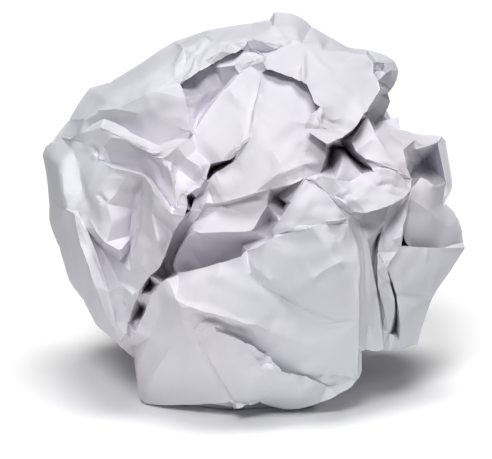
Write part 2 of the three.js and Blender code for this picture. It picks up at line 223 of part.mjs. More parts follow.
// ---- flat panels of the front, top and sides, by point number ----
const PANELS_FRONT = [
  214,70,69, 70,220,71, 220,219,71, 72,71,219, 73,72,219, 74,73,219, 219,75,74, 217,216,67, 224,116,76, 76,116,115, 67,216,68, 69,68,215,
  214,69,215, 215,190,214, 190,223,214, 70,214,223, 220,70,223, 221,224,219, 75,219,224, 224,76,75, 199,192,197, 191,197,192, 164,191,165, 213,212,164,
  163,164,212, 118,114,117, 97,115,114, 217,67,66, 216,217,199, 199,197,216, 68,216,215, 164,163,190, 223,190,163, 163,222,223, 220,223,222, 219,220,222,
  221,219,222, 222,156,221, 224,221,133, 133,225,224, 116,224,225, 225,117,116, 117,115,116, 115,97,77, 97,78,77, 135,141,134, 195,194,200, 193,198,194,
  166,193,167, 141,135,136, 188,229,230, 196,64,189, 189,188,196, 188,230,196, 155,162,170, 139,202,201, 202,127,201, 126,201,127, 64,196,65, 200,65,196,
  195,200,196, 196,230,195, 230,229,195, 229,228,195, 194,195,228, 228,226,194, 226,168,194, 193,194,168, 167,193,168, 168,170,167, 166,167,170, 170,162,166,
  169,166,162, 158,159,161, 157,158,161, 161,205,157, 136,135,205, 205,137,136, 137,139,136, 141,136,139, 139,201,141, 125,141,201, 201,126,125, 126,120,125,
  119,125,120, 120,112,119, 113,119,112, 112,99,113, 98,113,99, 105,98,99, 218,66,65, 65,200,218, 218,200,198, 66,218,198, 217,66,198, 198,193,199,
  192,199,193, 165,192,166, 213,165,169, 169,160,213, 212,213,160, 160,159,212, 159,158,212, 163,212,158, 158,157,163, 222,163,157, 156,222,157, 157,205,156,
  205,135,156, 135,134,156, 221,156,134, 133,221,134, 134,141,133, 225,133,141, 141,125,225, 117,225,125, 118,117,125, 125,119,118, 119,113,118, 113,98,114,
  97,114,98, 78,97,98, 79,78,98, 98,105,79, 80,79,105, 105,81,80, 623,622,568, 622,621,567, 186,185,227, 620,619,565, 619,616,565, 184,615,564,
  207,151,208, 59,680,60, 61,60,680, 62,61,680, 62,679,623, 622,623,679, 621,622,679, 679,620,621, 620,565,621, 567,621,565, 187,567,565, 186,187,565,
  565,616,186, 616,615,186, 185,186,615, 615,184,185, 208,151,152, 151,207,206, 207,138,206, 111,121,110, 110,100,111, 618,617,678, 624,555,183, 182,183,555,
  555,554,182, 146,149,145, 553,180,181, 560,561,581, 566,625,561, 553,181,554, 552,179,180, 147,210,211, 150,147,144, 143,150,144, 625,566,624, 555,624,566,
  554,555,566, 566,561,554, 561,560,554, 182,554,181, 181,180,172, 180,179,172, 171,172,179, 179,211,171, 211,210,171, 209,171,210, 146,209,210, 210,147,146,
  147,150,146, 149,146,150, 150,143,149, 143,142,149, 204,149,142, 142,130,204, 129,204,130, 123,129,130, 130,124,123, 109,123,124, 124,108,109, 101,109,108,
  107,104,92, 680,59,58, 62,680,681, 679,62,681, 620,679,678, 619,620,678, 678,617,619, 616,619,617, 615,616,617, 564,615,617, 617,618,564, 618,624,564,
  624,183,564, 184,564,183, 174,184,183, 175,174,183, 183,182,175, 173,175,182, 182,181,173, 181,172,173, 154,173,172, 172,171,154, 153,154,171, 152,153,171,
  171,209,152, 208,152,209, 209,146,208, 146,145,208, 207,208,145, 138,207,145, 140,138,145, 145,149,140, 149,204,140, 203,140,204, 204,129,203, 128,203,129,
  122,128,129, 129,123,122, 110,122,109, 109,101,110, 100,110,101, 101,104,100, 103,100,104, 106,103,104, 104,107,106, 82,106,107, 107,83,82, 63,623,64,
  623,568,64, 189,64,568, 188,189,568, 568,622,188, 622,567,188, 567,187,188, 229,188,187, 187,186,229, 186,227,229, 228,229,227, 226,228,227, 227,185,226,
  185,184,226, 184,174,226, 168,226,174, 170,168,174, 155,170,174, 174,175,155, 175,173,155, 173,154,155, 162,155,154, 169,162,154, 160,169,154, 154,153,160,
  159,160,153, 161,159,153, 153,152,161, 152,151,161, 151,206,161, 205,161,206, 137,205,206, 206,138,137, 138,140,137, 140,203,137, 139,137,203, 202,139,203,
  203,128,202, 127,202,128, 128,122,127, 127,122,121, 126,127,121, 120,126,121, 112,120,111, 111,100,112, 99,112,100, 100,103,99, 103,106,99, 105,99,106,
  81,105,106, 106,82,81, 551,178,552, 551,177,178, 313,176,562, 562,312,313, 292,94,95, 669,683,670, 582,626,627, 627,584,582, 559,580,579, 558,559,579,
  148,177,176, 320,148,176, 176,313,320, 319,320,313, 313,312,319, 312,317,319, 317,315,318, 131,318,315, 315,132,131, 96,102,108, 291,93,94, 94,292,291,
  292,272,291, 272,231,291, 93,291,231, 244,93,231, 91,244,243, 90,91,243, 239,85,90, 576,578,577, 550,557,556, 556,549,550, 285,290,286, 281,293,290,
  232,242,245, 323,308,309, 350,328,329, 310,329,328, 328,323,310, 556,578,569, 569,349,556, 549,556,349, 349,350,549, 350,329,549, 311,549,329, 329,310,311,
  310,309,316, 309,308,316, 314,316,308, 308,304,314, 286,314,304, 285,286,304, 281,290,289, 289,280,281, 232,273,233, 233,249,232, 242,232,249, 682,57,56,
  686,685,682, 685,689,684, 689,611,684, 683,684,611, 611,671,683, 670,683,671, 671,668,670, 669,670,668, 626,669,668, 627,626,668, 668,628,627, 584,627,628,
  628,585,584, 580,584,585, 579,580,585, 585,576,579, 576,577,579, 558,579,577, 551,558,557, 563,177,550, 176,563,550, 562,176,550, 550,549,562, 312,562,549,
  549,311,312, 317,312,311, 311,310,317, 310,316,317, 315,317,316, 316,314,315, 132,315,314, 314,286,132, 96,132,286, 286,294,96, 102,96,95, 95,294,293,
  292,95,293, 293,281,292, 281,280,292, 272,292,280, 280,279,272, 279,273,272, 273,232,272, 244,231,245, 243,244,245, 245,242,243, 90,243,242, 239,90,242,
  242,240,239, 85,239,240, 240,86,85, 700,690,701, 248,246,241, 321,326,325, 283,288,284, 288,283,287, 276,268,267, 718,691,690, 691,701,690, 612,701,613,
  672,612,673, 348,570,347, 337,348,347, 327,337,326, 322,327,326, 307,322,321, 321,306,307, 306,303,307, 284,301,298, 275,274,288, 288,287,275, 287,276,275,
  276,267,275, 267,234,233, 267,268,234, 268,235,234, 248,234,235, 235,247,248, 246,248,247, 247,87,246, 613,702,614, 587,630,631, 631,591,587, 305,324,332,
  300,299,302, 277,295,278, 270,277,278, 270,278,271, 692,723,721, 721,693,692, 702,692,703, 614,675,674, 667,674,675, 631,630,656, 656,632,631, 632,592,631,
  591,631,592, 592,575,591, 575,583,570, 571,583,572, 346,571,572, 572,345,346, 336,346,345, 299,300,332, 332,331,299, 331,297,299, 302,299,297, 295,277,282,
  277,270,269, 236,269,270, 237,236,270, 270,255,237, 255,252,237, 252,238,237, 238,88,87, 55,54,53, 53,719,55, 688,55,719, 687,688,719, 718,687,719,
  719,723,718, 723,692,718, 691,718,692, 692,702,691, 701,691,702, 613,674,673, 674,667,673, 672,673,667, 666,672,667, 667,656,666, 629,666,656, 656,630,629,
  630,587,629, 586,629,587, 587,591,586, 583,571,570, 347,570,571, 571,346,347, 337,347,346, 346,336,337, 326,337,336, 325,326,336, 336,324,325, 306,321,305,
  303,306,305, 305,300,303, 300,302,303, 301,303,302, 298,301,302, 302,297,298, 283,298,282, 287,283,282, 276,287,282, 282,277,276, 268,276,277, 277,269,268,
  235,268,269, 269,236,235, 247,235,236, 236,237,247, 55,688,56, 688,687,56, 682,56,687, 686,682,687, 687,718,686, 718,690,686, 685,686,690, 689,685,690,
  690,700,689, 611,689,700, 700,612,611, 671,611,672, 672,666,671, 668,671,666, 628,668,666, 666,629,628, 585,628,629, 629,586,585, 576,585,586, 586,591,576,
  578,576,570, 569,578,570, 570,348,569, 349,569,348, 350,349,348, 348,337,350, 328,350,337, 337,327,328, 323,328,327, 327,322,323, 308,323,322, 322,307,308,
  304,308,307, 307,303,304, 303,301,304, 285,304,301, 301,284,285, 289,285,284, 280,289,288, 279,280,288, 288,274,279, 273,279,274, 233,273,274, 234,248,233,
  249,233,248, 248,241,249, 242,249,241, 240,242,241, 241,246,240, 86,240,246, 246,87,86, 57,682,58, 680,58,682, 681,680,682, 682,685,681, 685,684,681,
  684,683,681, 679,681,683, 678,679,683, 683,669,678, 618,678,669, 624,618,669, 625,624,669, 669,626,625, 561,625,626, 626,582,561, 581,561,582, 582,584,581,
  584,580,581, 560,581,580, 580,559,560, 553,560,559, 180,553,552, 559,558,552, 179,552,178, 211,179,178, 178,177,211, 177,148,211, 147,211,148, 144,147,148,
  320,319,144, 319,317,144, 317,318,144, 143,144,318, 142,143,318, 318,131,142, 130,142,131, 124,130,131, 131,132,124, 101,108,102, 102,95,101, 95,94,101,
  104,101,94, 94,93,104, 92,104,93, 93,244,92, 244,91,92, 107,92,91, 83,107,91, 84,83,91, 91,90,84, 90,85,84, 366,364,365, 296,330,351,
  351,366,296, 366,365,296, 365,364,271, 256,271,364, 597,596,590, 250,0,89, 51,727,52, 720,52,727, 722,724,725, 725,695,722, 694,722,695, 704,694,705,
  705,677,704, 703,704,677, 593,633,634, 634,597,593, 597,590,593, 573,574,590, 590,596,573, 588,344,573, 351,330,352, 258,257,364, 256,364,257, 253,256,257,
  257,258,253, 258,254,253, 254,250,253, 706,696,697, 697,707,706, 353,368,367, 251,259,260, 260,262,251, 262,1,251, 376,375,360, 342,594,341, 376,360,361,
  355,370,354, 369,354,370, 370,391,369, 390,369,391, 264,390,391, 49,726,50, 726,698,697, 698,708,697, 707,697,708, 708,710,707, 706,707,710, 595,598,606,
  342,343,588, 340,343,342, 342,341,340, 361,360,334, 353,333,354, 368,353,354, 354,369,368, 369,390,368, 367,368,390, 259,367,390, 390,264,259, 260,259,264,
  264,261,260, 262,260,261, 1,262,2, 727,51,50, 50,726,727, 726,697,727, 697,696,727, 720,727,696, 725,720,696, 695,725,696, 696,706,695, 705,695,706,
  706,710,705, 677,705,710, 676,677,710, 710,660,676, 660,659,676, 658,676,659, 657,658,663, 633,657,663, 634,633,663, 663,635,634, 597,634,635, 635,598,597,
  596,597,598, 598,595,596, 595,589,596, 573,596,589, 588,573,589, 344,588,343, 339,344,343, 343,340,339, 338,339,340, 335,338,340, 340,341,335, 341,361,335,
  361,334,335, 334,333,330, 352,330,333, 333,353,352, 353,367,352, 351,352,367, 366,351,367, 364,366,367, 258,364,259, 254,258,259, 259,251,254, 250,254,251,
  251,1,250, 0,250,1, 374,358,359, 357,359,358, 358,372,357, 356,357,372, 371,356,372, 435,438,439, 378,435,439, 604,609,603, 438,435,436, 363,436,435,
  435,378,363, 699,48,714, 709,699,714, 662,665,661, 655,661,665, 665,654,655, 664,637,636, 599,636,637, 637,600,599, 603,608,602, 607,602,608, 437,607,444,
  444,438,437, 438,436,437, 436,363,362, 377,362,363, 363,378,377, 378,398,377, 395,374,398, 398,396,395, 396,373,395, 358,374,373, 372,358,373, 265,4,263,
  3,263,4, 638,640,639, 601,638,639, 442,415,379, 379,415,380, 466,460,610, 715,47,46, 46,716,715, 712,717,713, 645,644,653, 644,643,653, 641,643,642,
  640,641,642, 639,640,642, 642,605,639, 601,639,605, 604,601,605, 609,604,605, 605,610,609, 459,609,610, 610,460,459, 460,453,459, 453,446,445, 443,445,446,
  443,446,447, 442,443,440, 440,419,442, 419,418,442, 415,442,418, 418,414,415, 414,380,415, 397,399,380, 380,381,397, 393,397,394, 392,393,394, 714,48,47,
  47,715,714, 709,714,717, 711,709,712, 712,713,711, 713,648,711, 645,653,665, 654,665,653, 664,654,653, 653,643,664, 643,641,664, 641,640,664, 637,664,640,
  640,638,637, 600,637,638, 638,601,600, 601,604,600, 603,600,604, 609,459,458, 459,453,458, 453,445,458, 608,458,445, 444,608,445, 438,444,445, 445,443,438,
  439,438,443, 443,442,439, 442,379,439, 378,439,379, 398,378,379, 379,399,398, 396,398,399, 399,397,396, 397,393,396, 373,396,393, 372,373,393, 371,372,393,
  393,392,371, 392,266,265, 4,265,266, 266,5,4, 726,49,48, 48,699,726, 698,726,699, 699,709,698, 708,698,709, 709,711,708, 710,708,711, 711,662,710,
  662,661,710, 660,710,661, 661,655,660, 659,660,655, 658,659,655, 663,658,655, 655,654,663, 654,664,663, 664,636,663, 635,663,636, 598,635,636, 636,599,598,
  606,598,599, 599,600,606, 600,603,606, 603,602,606, 594,342,595, 602,607,594, 607,437,594, 341,594,437, 437,436,341, 436,362,341, 361,341,362, 376,361,362,
  362,377,376, 377,398,376, 375,376,398, 398,374,375, 374,359,375, 360,375,359, 334,360,359, 359,357,334, 357,356,334, 333,334,356, 354,333,356, 355,354,356,
  356,371,355, 370,355,371, 371,392,370, 391,370,392, 392,265,391, 264,391,265, 265,263,264, 261,264,263, 263,3,261, 262,261,3, 2,262,3, 647,43,42,
  413,417,416, 382,413,416, 513,514,518, 511,513,518, 383,411,410, 410,384,383, 387,403,388, 403,400,388, 647,42,652, 646,647,652, 651,646,652, 651,515,514,
  512,650,513, 510,508,512, 467,507,508, 416,417,425, 16,412,416, 412,411,416, 382,416,411, 411,383,382, 387,388,389, 388,400,389, 6,389,400, 547,542,529,
  408,12,11, 406,408,11, 405,407,404, 401,404,407, 39,547,40, 547,529,40, 520,516,521, 527,520,528, 526,527,540, 498,497,537, 524,537,497, 14,13,409,
  13,12,409, 12,408,409, 385,409,408, 408,406,385, 386,385,406, 406,405,386, 405,404,386, 402,386,404, 404,401,402, 40,521,516, 515,652,516, 498,537,525,
  518,525,524, 511,518,517, 512,511,510, 508,510,509, 509,468,508, 467,508,468, 468,462,467, 461,467,462, 454,461,462, 462,455,454, 455,448,454, 447,454,448,
  441,447,448, 450,421,449, 420,449,421, 421,426,420, 425,420,426, 426,428,425, 428,17,425, 16,425,17, 412,16,15, 411,412,15, 410,411,15, 15,14,410,
  14,409,410, 384,410,409, 409,385,384, 385,386,384, 403,387,386, 386,402,403, 400,403,402, 402,401,400, 401,7,400, 6,400,7, 540,541,544, 486,533,487,
  534,535,538, 538,487,534, 464,531,532, 532,465,464, 546,548,503, 546,503,502, 502,501,545, 541,545,544, 536,496,493, 493,535,536, 535,534,536, 530,536,534,
  530,534,533, 533,531,530, 469,530,531, 463,469,464, 456,463,464, 457,456,464, 464,465,457, 465,452,457, 451,457,452, 452,423,451, 422,451,423, 427,422,423,
  423,431,427, 431,430,427, 430,429,427, 478,480,481, 36,35,505, 477,424,480, 480,478,477, 476,477,478, 478,474,476, 434,476,474, 433,434,474, 474,470,433,
  432,433,470, 470,21,432, 20,432,21, 25,473,26, 34,33,495, 33,32,495, 490,495,32, 32,31,490, 492,490,31, 31,30,492, 30,29,492, 28,492,29,
  484,28,27, 483,484,473, 482,483,473, 472,475,473, 473,25,472, 25,24,472, 471,472,24, 24,23,471, 22,471,23, 504,35,34, 34,495,504, 494,504,495,
  490,492,489, 491,489,492, 492,28,491, 28,484,491, 484,483,491, 483,482,491, 485,491,482, 479,481,482, 482,473,479, 473,475,479, 481,479,478, 474,478,475,
  475,472,474, 472,471,474, 470,474,471, 21,470,471, 471,22,21, 503,38,37, 506,503,37, 37,36,506, 502,506,36, 36,505,502, 501,502,505, 500,544,501,
  505,35,500, 35,504,500, 499,500,504, 496,499,504, 504,494,496, 493,496,494, 538,488,489, 487,538,489, 489,491,487, 486,487,491, 491,485,486, 531,533,532,
  465,532,485, 485,482,465, 482,481,465, 481,480,465, 480,424,465, 452,465,424, 423,452,424, 424,477,431, 477,476,431, 476,434,431, 430,431,434, 429,430,434,
  434,433,429, 433,432,429, 432,20,429, 19,429,20, 38,503,39, 503,548,39, 547,39,548, 548,546,547, 542,547,546, 542,546,545, 528,542,541, 527,528,541,
  541,540,527, 540,544,543, 500,499,543, 525,519,526, 498,525,539, 497,498,499, 499,496,497, 524,497,496, 496,536,524, 517,524,523, 536,530,523, 522,523,530,
  509,522,530, 468,509,469, 462,468,469, 469,463,462, 455,462,463, 463,456,455, 456,457,455, 448,455,457, 457,451,448, 450,448,451, 421,450,422, 422,427,421,
  426,421,427, 427,429,426, 428,426,429, 429,19,428, 17,428,19, 19,18,17, 406,11,10, 405,406,10, 10,9,405, 407,405,9, 9,8,407, 401,407,8,
  7,401,8, 716,46,45, 713,716,45, 648,713,45, 45,44,648, 44,43,648, 711,648,647, 647,646,711, 662,711,646, 665,662,646, 645,665,646, 646,651,645,
  644,645,651, 643,644,650, 649,643,650, 649,512,507, 605,642,649, 610,605,507, 466,610,507, 507,467,466, 467,461,466, 460,466,461, 453,460,461, 461,454,453,
  446,453,454, 454,447,446, 447,441,440, 441,449,440, 449,420,440, 419,440,420, 420,425,419, 418,419,425, 425,417,418, 414,418,417, 380,414,381, 413,382,381,
  394,397,382, 382,383,394, 383,384,394, 384,386,394, 386,387,394, 392,394,387, 387,389,392, 266,392,389, 5,266,389, 389,6,5, 52,720,53, 719,53,720,
  720,725,719, 725,724,719, 723,719,724, 721,723,724, 724,722,721, 722,694,721, 693,721,694, 694,704,693, 704,703,693, 692,693,703, 703,677,614, 677,676,614,
  675,614,676, 676,658,675, 658,657,675, 667,675,657, 656,667,657, 632,656,657, 657,633,632, 592,632,633, 633,593,592, 575,592,593, 593,590,575, 590,574,575,
  583,575,574, 572,583,574, 574,573,572, 573,344,572, 345,572,344, 344,339,345, 336,345,339, 339,338,336, 324,336,338, 338,335,324, 332,324,335, 331,332,335,
  335,334,331, 334,330,331, 297,331,330, 298,297,282, 295,282,296, 296,365,295, 278,295,365, 365,271,278, 256,253,255, 252,255,253, 238,252,253, 253,250,238,
  88,238,250, 250,89,88, 96,294,95, 77,76,115, 115,117,114, 114,118,113, 108,124,96, 121,111,120, 122,110,121, 123,109,122, 132,96,124, 148,320,144,
  165,213,164, 166,169,165, 563,176,177, 191,164,190, 190,215,197, 192,165,191, 193,166,192, 197,191,190, 199,217,198, 200,194,198, 216,197,215, 232,245,231,
  231,272,232, 237,238,247, 87,247,238, 367,259,364, 374,395,373, 399,379,380, 397,381,382, 271,256,255, 255,270,271, 274,275,267, 233,274,267, 298,283,284,
  294,290,293, 330,296,297, 296,282,297, 300,305,332, 324,305,325, 321,325,305, 326,321,322, 323,309,310, 557,550,551, 177,551,550, 558,551,552, 553,559,552,
  560,553,554, 578,556,557, 577,557,558, 557,577,578, 417,413,414, 413,381,414, 425,16,416, 431,423,424, 440,443,447, 449,441,448, 448,450,449, 451,422,450,
  608,444,607, 458,608,609, 608,603,609, 531,464,469, 27,26,473, 484,27,473, 479,475,478, 501,505,500, 503,506,502, 512,508,507, 513,511,512, 519,514,515,
  516,520,515, 42,41,652, 41,40,516, 516,652,41, 510,517,509, 511,517,510, 530,469,509, 517,523,522, 522,509,517, 524,517,518, 519,525,518, 514,519,518,
  520,527,526, 526,519,520, 515,520,519, 521,529,528, 528,520,521, 524,536,523, 537,524,525, 526,539,525, 529,542,528, 521,40,529, 486,485,532, 533,486,532,
  487,533,534, 535,493,538, 539,543,498, 543,539,540, 539,526,540, 545,541,542, 543,499,498, 544,500,543, 545,501,544, 546,502,545, 595,606,602, 602,594,595,
  589,595,588, 595,342,588, 591,575,576, 570,576,575, 643,649,642, 43,647,648, 649,507,605, 650,512,649, 514,513,650, 651,514,650, 650,644,651, 652,515,651,
  695,705,694, 715,717,714, 612,700,701, 702,613,701, 614,702,703, 717,712,709, 717,715,716, 716,713,717, 623,63,62, 612,672,611, 673,612,613, 674,613,614,
  284,288,289, 290,285,289, 294,286,290,
];
// ---- flat panels of the back and the underside ----
const PANELS_BACK = [
  35,932,34, 33,34,927, 32,33,927, 31,32,908, 30,31,908, 29,30,908, 908,952,29, 28,29,952, 27,28,952, 26,27,952, 952,925,26, 25,26,925,
  24,25,925, 971,802,803, 975,36,911, 911,896,975, 904,975,896, 896,915,904, 990,794,897, 951,897,794, 938,951,794, 794,795,938, 796,938,795, 36,975,35,
  932,35,975, 975,904,932, 34,932,904, 927,34,904, 904,915,927, 915,748,927, 748,801,927, 32,927,801, 801,802,32, 908,32,802, 802,971,908, 952,908,971,
  971,893,952, 893,897,952, 925,952,897, 897,951,925, 24,925,951, 951,938,24, 23,24,938, 22,23,938, 938,796,22, 21,22,796, 20,21,796, 796,797,20,
  19,20,797, 797,18,19, 860,863,804, 14,15,873, 42,43,857, 41,42,857, 857,987,41, 40,41,987, 39,40,987, 38,39,987, 987,903,38, 37,38,903,
  903,958,37, 958,773,37, 773,772,962, 901,962,772, 749,901,750, 977,749,750, 750,865,977, 866,977,865, 865,859,866, 860,866,859, 859,862,860, 863,860,862,
  862,983,863, 804,863,983, 900,804,983, 983,921,900, 953,900,921, 899,953,875, 875,874,899, 931,899,874, 874,873,931, 873,15,931, 16,931,15, 12,9,11,
  10,11,9, 911,36,37, 37,773,911, 773,962,911, 896,911,962, 915,896,962, 962,901,915, 901,749,915, 748,915,749, 749,977,748, 801,748,977, 802,801,977,
  803,802,977, 977,866,803, 866,860,803, 860,804,803, 971,803,804, 893,971,804, 804,900,893, 897,893,900, 990,897,900, 900,953,990, 953,899,990, 794,990,899,
  795,794,899, 899,931,795, 796,795,931, 797,796,931, 931,16,797, 18,797,16, 17,18,16, 856,44,45, 888,970,854, 853,854,970, 970,978,853, 824,853,978,
  978,825,824, 848,849,756, 856,45,46, 46,888,856, 855,856,888, 888,854,855, 943,855,854, 854,853,943, 853,824,943, 870,943,824, 871,870,824, 824,825,871,
  771,871,872, 872,786,771, 770,771,786, 751,770,786, 786,752,751, 864,751,752, 858,864,752, 752,852,858, 861,858,852, 851,861,852, 852,885,851, 885,850,851,
  849,848,876, 847,876,848, 988,920,735, 736,988,735, 737,736,914, 944,737,914, 914,972,944, 972,5,944, 6,944,5, 894,827,826, 785,826,827, 827,784,785,
  784,957,785, 753,785,957, 754,753,957, 789,788,968, 945,968,788, 730,49,50, 758,759,947, 759,961,947, 800,989,956, 3,956,989, 2,3,989, 989,1,2,
  49,730,48, 954,48,730, 902,954,730, 894,731,966, 966,965,894, 827,894,965, 965,960,827, 784,827,960, 960,783,784, 957,784,783, 783,884,957, 754,957,884,
  884,755,754, 976,754,755, 755,917,976, 928,976,917, 757,928,917, 917,918,757, 918,758,757, 758,947,757, 959,757,947, 734,959,947, 789,734,947, 947,961,789,
  961,834,789, 788,789,834, 834,787,788, 945,788,787, 787,800,945, 800,956,945, 4,945,956, 956,3,4, 48,954,47, 46,47,954, 888,46,954, 954,902,888,
  970,888,902, 902,731,970, 978,970,731, 731,894,978, 825,978,894, 894,826,825, 871,825,826, 872,871,826, 826,785,872, 786,872,785, 752,786,785, 785,753,752,
  852,752,753, 753,754,852, 885,852,754, 754,976,885, 976,928,885, 850,885,928, 849,850,928, 756,849,928, 928,757,756, 757,959,756, 848,756,959, 847,848,959,
  920,847,959, 959,734,920, 735,920,734, 734,789,735, 789,968,735, 736,735,968, 914,736,968, 968,945,914, 972,914,945, 945,4,972, 5,972,4, 857,43,44,
  44,856,857, 987,857,856, 856,855,987, 903,987,855, 855,943,903, 958,903,943, 943,870,958, 773,958,870, 772,773,870, 870,871,772, 871,771,772, 901,772,771,
  771,770,901, 750,901,770, 770,751,750, 865,750,751, 751,864,865, 859,865,864, 864,858,859, 862,859,858, 858,861,862, 983,862,861, 861,851,983, 851,850,983,
  921,983,850, 850,849,921, 849,876,921, 953,921,876, 875,953,876, 876,847,875, 874,875,847, 847,920,874, 920,988,874, 873,874,988, 14,873,988, 988,736,14,
  736,737,14, 13,14,737, 12,13,737, 9,12,737, 8,9,737, 7,8,737, 737,944,7, 944,6,7, 810,807,809, 809,936,810, 830,832,833, 833,739,830,
  836,830,739, 739,740,836, 53,973,52, 51,52,973, 913,51,973, 933,895,732, 905,732,895, 821,905,895, 895,822,821, 822,909,821, 909,974,930, 974,969,930,
  813,930,969, 969,812,813, 812,806,813, 807,813,806, 809,807,806, 806,805,809, 805,808,809, 936,809,808, 808,929,936, 985,936,929, 760,985,929, 929,761,760,
  831,760,761, 828,831,832, 829,828,832, 832,830,829, 830,836,829, 835,829,836, 799,835,836, 798,799,836, 836,740,798, 740,741,798, 89,798,741, 741,88,89,
  743,941,890, 941,949,890, 729,54,55, 742,823,743, 743,890,742, 890,949,907, 769,907,949, 949,768,769, 811,769,768, 87,886,86, 986,56,57, 744,967,745,
  745,793,744, 910,766,767, 892,767,766, 782,955,781, 912,782,781, 729,55,56, 56,986,729, 733,967,934, 967,744,934, 823,934,744, 743,823,744, 744,793,743,
  793,883,743, 941,743,883, 949,941,937, 937,910,949, 768,949,910, 910,767,768, 891,768,767, 767,892,891, 762,891,892, 892,979,762, 979,916,762, 906,762,916,
  916,955,906, 738,906,955, 955,782,738, 782,912,982, 886,982,912, 86,886,912, 912,85,86, 973,53,54, 54,729,973, 913,973,729, 729,728,733, 733,934,933,
  895,933,934, 934,823,895, 822,895,823, 823,742,822, 909,822,742, 974,909,742, 742,890,974, 890,907,974, 969,974,907, 812,969,907, 907,769,812, 806,812,811,
  805,806,811, 811,768,805, 768,891,805, 808,805,891, 929,808,891, 761,929,891, 891,762,761, 762,906,761, 831,761,906, 832,831,906, 906,738,832, 833,832,738,
  739,833,738, 738,782,739, 782,982,739, 740,739,982, 982,886,740, 741,740,886, 88,741,886, 886,87,88, 728,58,59, 59,60,728, 84,780,83, 62,63,61,
  63,844,837, 838,837,844, 791,747,790, 878,763,764, 763,919,764, 887,815,814, 939,887,980, 980,82,939, 61,63,60, 984,60,63, 63,837,984, 942,984,837,
  950,942,837, 837,838,950, 838,747,950, 746,950,747, 747,791,746, 792,746,791, 991,792,791, 791,926,991, 882,991,926, 881,882,926, 926,777,881, 880,881,777,
  889,880,879, 879,878,889, 765,889,878, 878,764,765, 817,765,764, 816,817,764, 764,919,816, 919,815,816, 963,816,815, 815,887,963, 946,963,887, 887,939,946,
  780,946,939, 83,780,939, 939,82,83, 774,840,841, 775,774,869, 776,775,869, 779,778,922, 922,940,779, 877,779,940, 940,819,877, 819,820,877, 820,923,924,
  868,964,867, 867,935,868, 843,67,68, 846,65,66, 981,846,66, 66,67,981, 842,981,67, 67,843,842, 964,842,843, 843,68,964, 867,964,68, 68,69,867,
  935,867,69, 69,70,935, 70,71,935, 818,935,71, 71,72,818, 72,73,818, 75,76,77, 948,64,65, 845,948,65, 65,846,845, 839,845,846, 840,839,846,
  841,840,846, 846,981,841, 981,842,841, 774,841,842, 842,964,774, 869,774,964, 964,868,869, 776,869,868, 868,935,922, 940,922,935, 935,818,940, 819,940,818,
  818,73,819, 73,74,819, 820,819,74, 923,820,74, 74,75,923, 75,77,923, 77,78,923, 924,923,78, 79,924,78, 64,948,63, 844,63,948, 948,845,844,
  845,839,844, 838,844,839, 747,838,839, 790,747,839, 839,840,790, 840,774,790, 774,775,790, 791,790,775, 926,791,775, 775,776,926, 777,926,776, 776,868,777,
  868,922,777, 922,778,777, 880,777,778, 879,880,778, 778,779,879, 878,879,779, 779,877,878, 763,878,877, 877,820,763, 919,763,820, 820,924,919, 815,919,924,
  814,815,924, 924,79,814, 79,80,814, 80,81,814, 887,814,81, 980,887,81, 82,980,81, 58,728,57, 986,57,728, 728,60,898, 60,984,898, 984,942,898,
  733,898,942, 942,950,733, 967,733,950, 950,746,967, 745,967,746, 746,792,745, 793,745,792, 792,991,793, 883,793,991, 991,882,883, 941,883,882, 937,941,882,
  882,881,937, 881,880,937, 910,937,880, 880,889,910, 766,910,889, 889,765,766, 892,766,765, 979,892,765, 765,817,979, 916,979,817, 817,816,916, 816,963,916,
  955,916,963, 963,946,955, 781,955,946, 946,780,781, 912,781,780, 780,84,912, 85,912,84, 51,913,50, 730,50,913, 966,731,732, 732,905,966, 965,966,905,
  960,965,905, 905,821,960, 783,960,821, 821,909,783, 909,930,783, 884,783,930, 930,813,884, 813,807,884, 755,884,807, 807,810,755, 917,755,810, 810,936,917,
  918,917,936, 936,985,918, 758,918,985, 759,758,985, 985,760,759, 961,759,760, 760,831,961, 831,828,961, 834,961,828, 828,829,834, 829,835,834, 787,834,835,
  800,787,835, 835,799,800, 989,800,799, 799,798,989, 798,89,989, 89,0,989, 1,989,0, 729,986,728, 913,729,730, 731,902,730, 730,729,732, 732,731,730,
  933,732,733, 732,729,733, 898,733,728, 769,811,812,
];

const k = BALL_W / POINTS_W;
const pts = [];
for (let i = 0; i < POINTS.length; i += 3)
  pts.push(new THREE.Vector3(POINTS[i] * k, POINTS[i + 1] * k, POINTS[i + 2] * k));
const panels = [];
for (const list of [PANELS_FRONT, PANELS_BACK])
  for (let i = 0; i < list.length; i += 3) panels.push([list[i], list[i + 1], list[i + 2]]);

// outward unit normal of a panel
const normals = panels.map(([a, b, c]) => new THREE.Vector3()
  .subVectors(pts[b], pts[a])
  .cross(new THREE.Vector3().subVectors(pts[c], pts[a])).normalize());
const around = pts.map(() => []);
panels.forEach((p, i) => p.forEach((v) => around[v].push(normals[i])));

// Mitred offset of one fold point: the step o that puts the point SHEET_T behind
// every panel around it, in the least-squares sense, then nudged until it is
// behind all of them.
function mitre(ns) {
  const m = new THREE.Matrix3();
  const e = m.elements.fill(0);
  const r = new THREE.Vector3();
  for (const n of ns) {
    e[0] += n.x * n.x; e[4] += n.y * n.y; e[8] += n.z * n.z;
    e[1] += n.x * n.y; e[2] += n.x * n.z; e[5] += n.y * n.z;
    r.addScaledVector(n, -SHEET_T);
  }
  e[3] = e[1]; e[6] = e[2]; e[7] = e[5];
  const soft = 0.03 * ns.length;
  e[0] += soft; e[4] += soft; e[8] += soft;
  const o = r.applyMatrix3(m.invert());
  for (let pass = 0; pass < 80; pass++) {
    let worst = null, most = 1e-6;
    for (const n of ns) {
      const short = n.dot(o) + MITRE_MIN * SHEET_T;
      if (short > most) { most = short; worst = n; }
    }
    if (!worst) break;
    o.addScaledVector(worst, -most);
  }
  const limit = MITRE_MAX * SHEET_T;
  if (o.length() > limit) o.setLength(limit);
  return o;
}
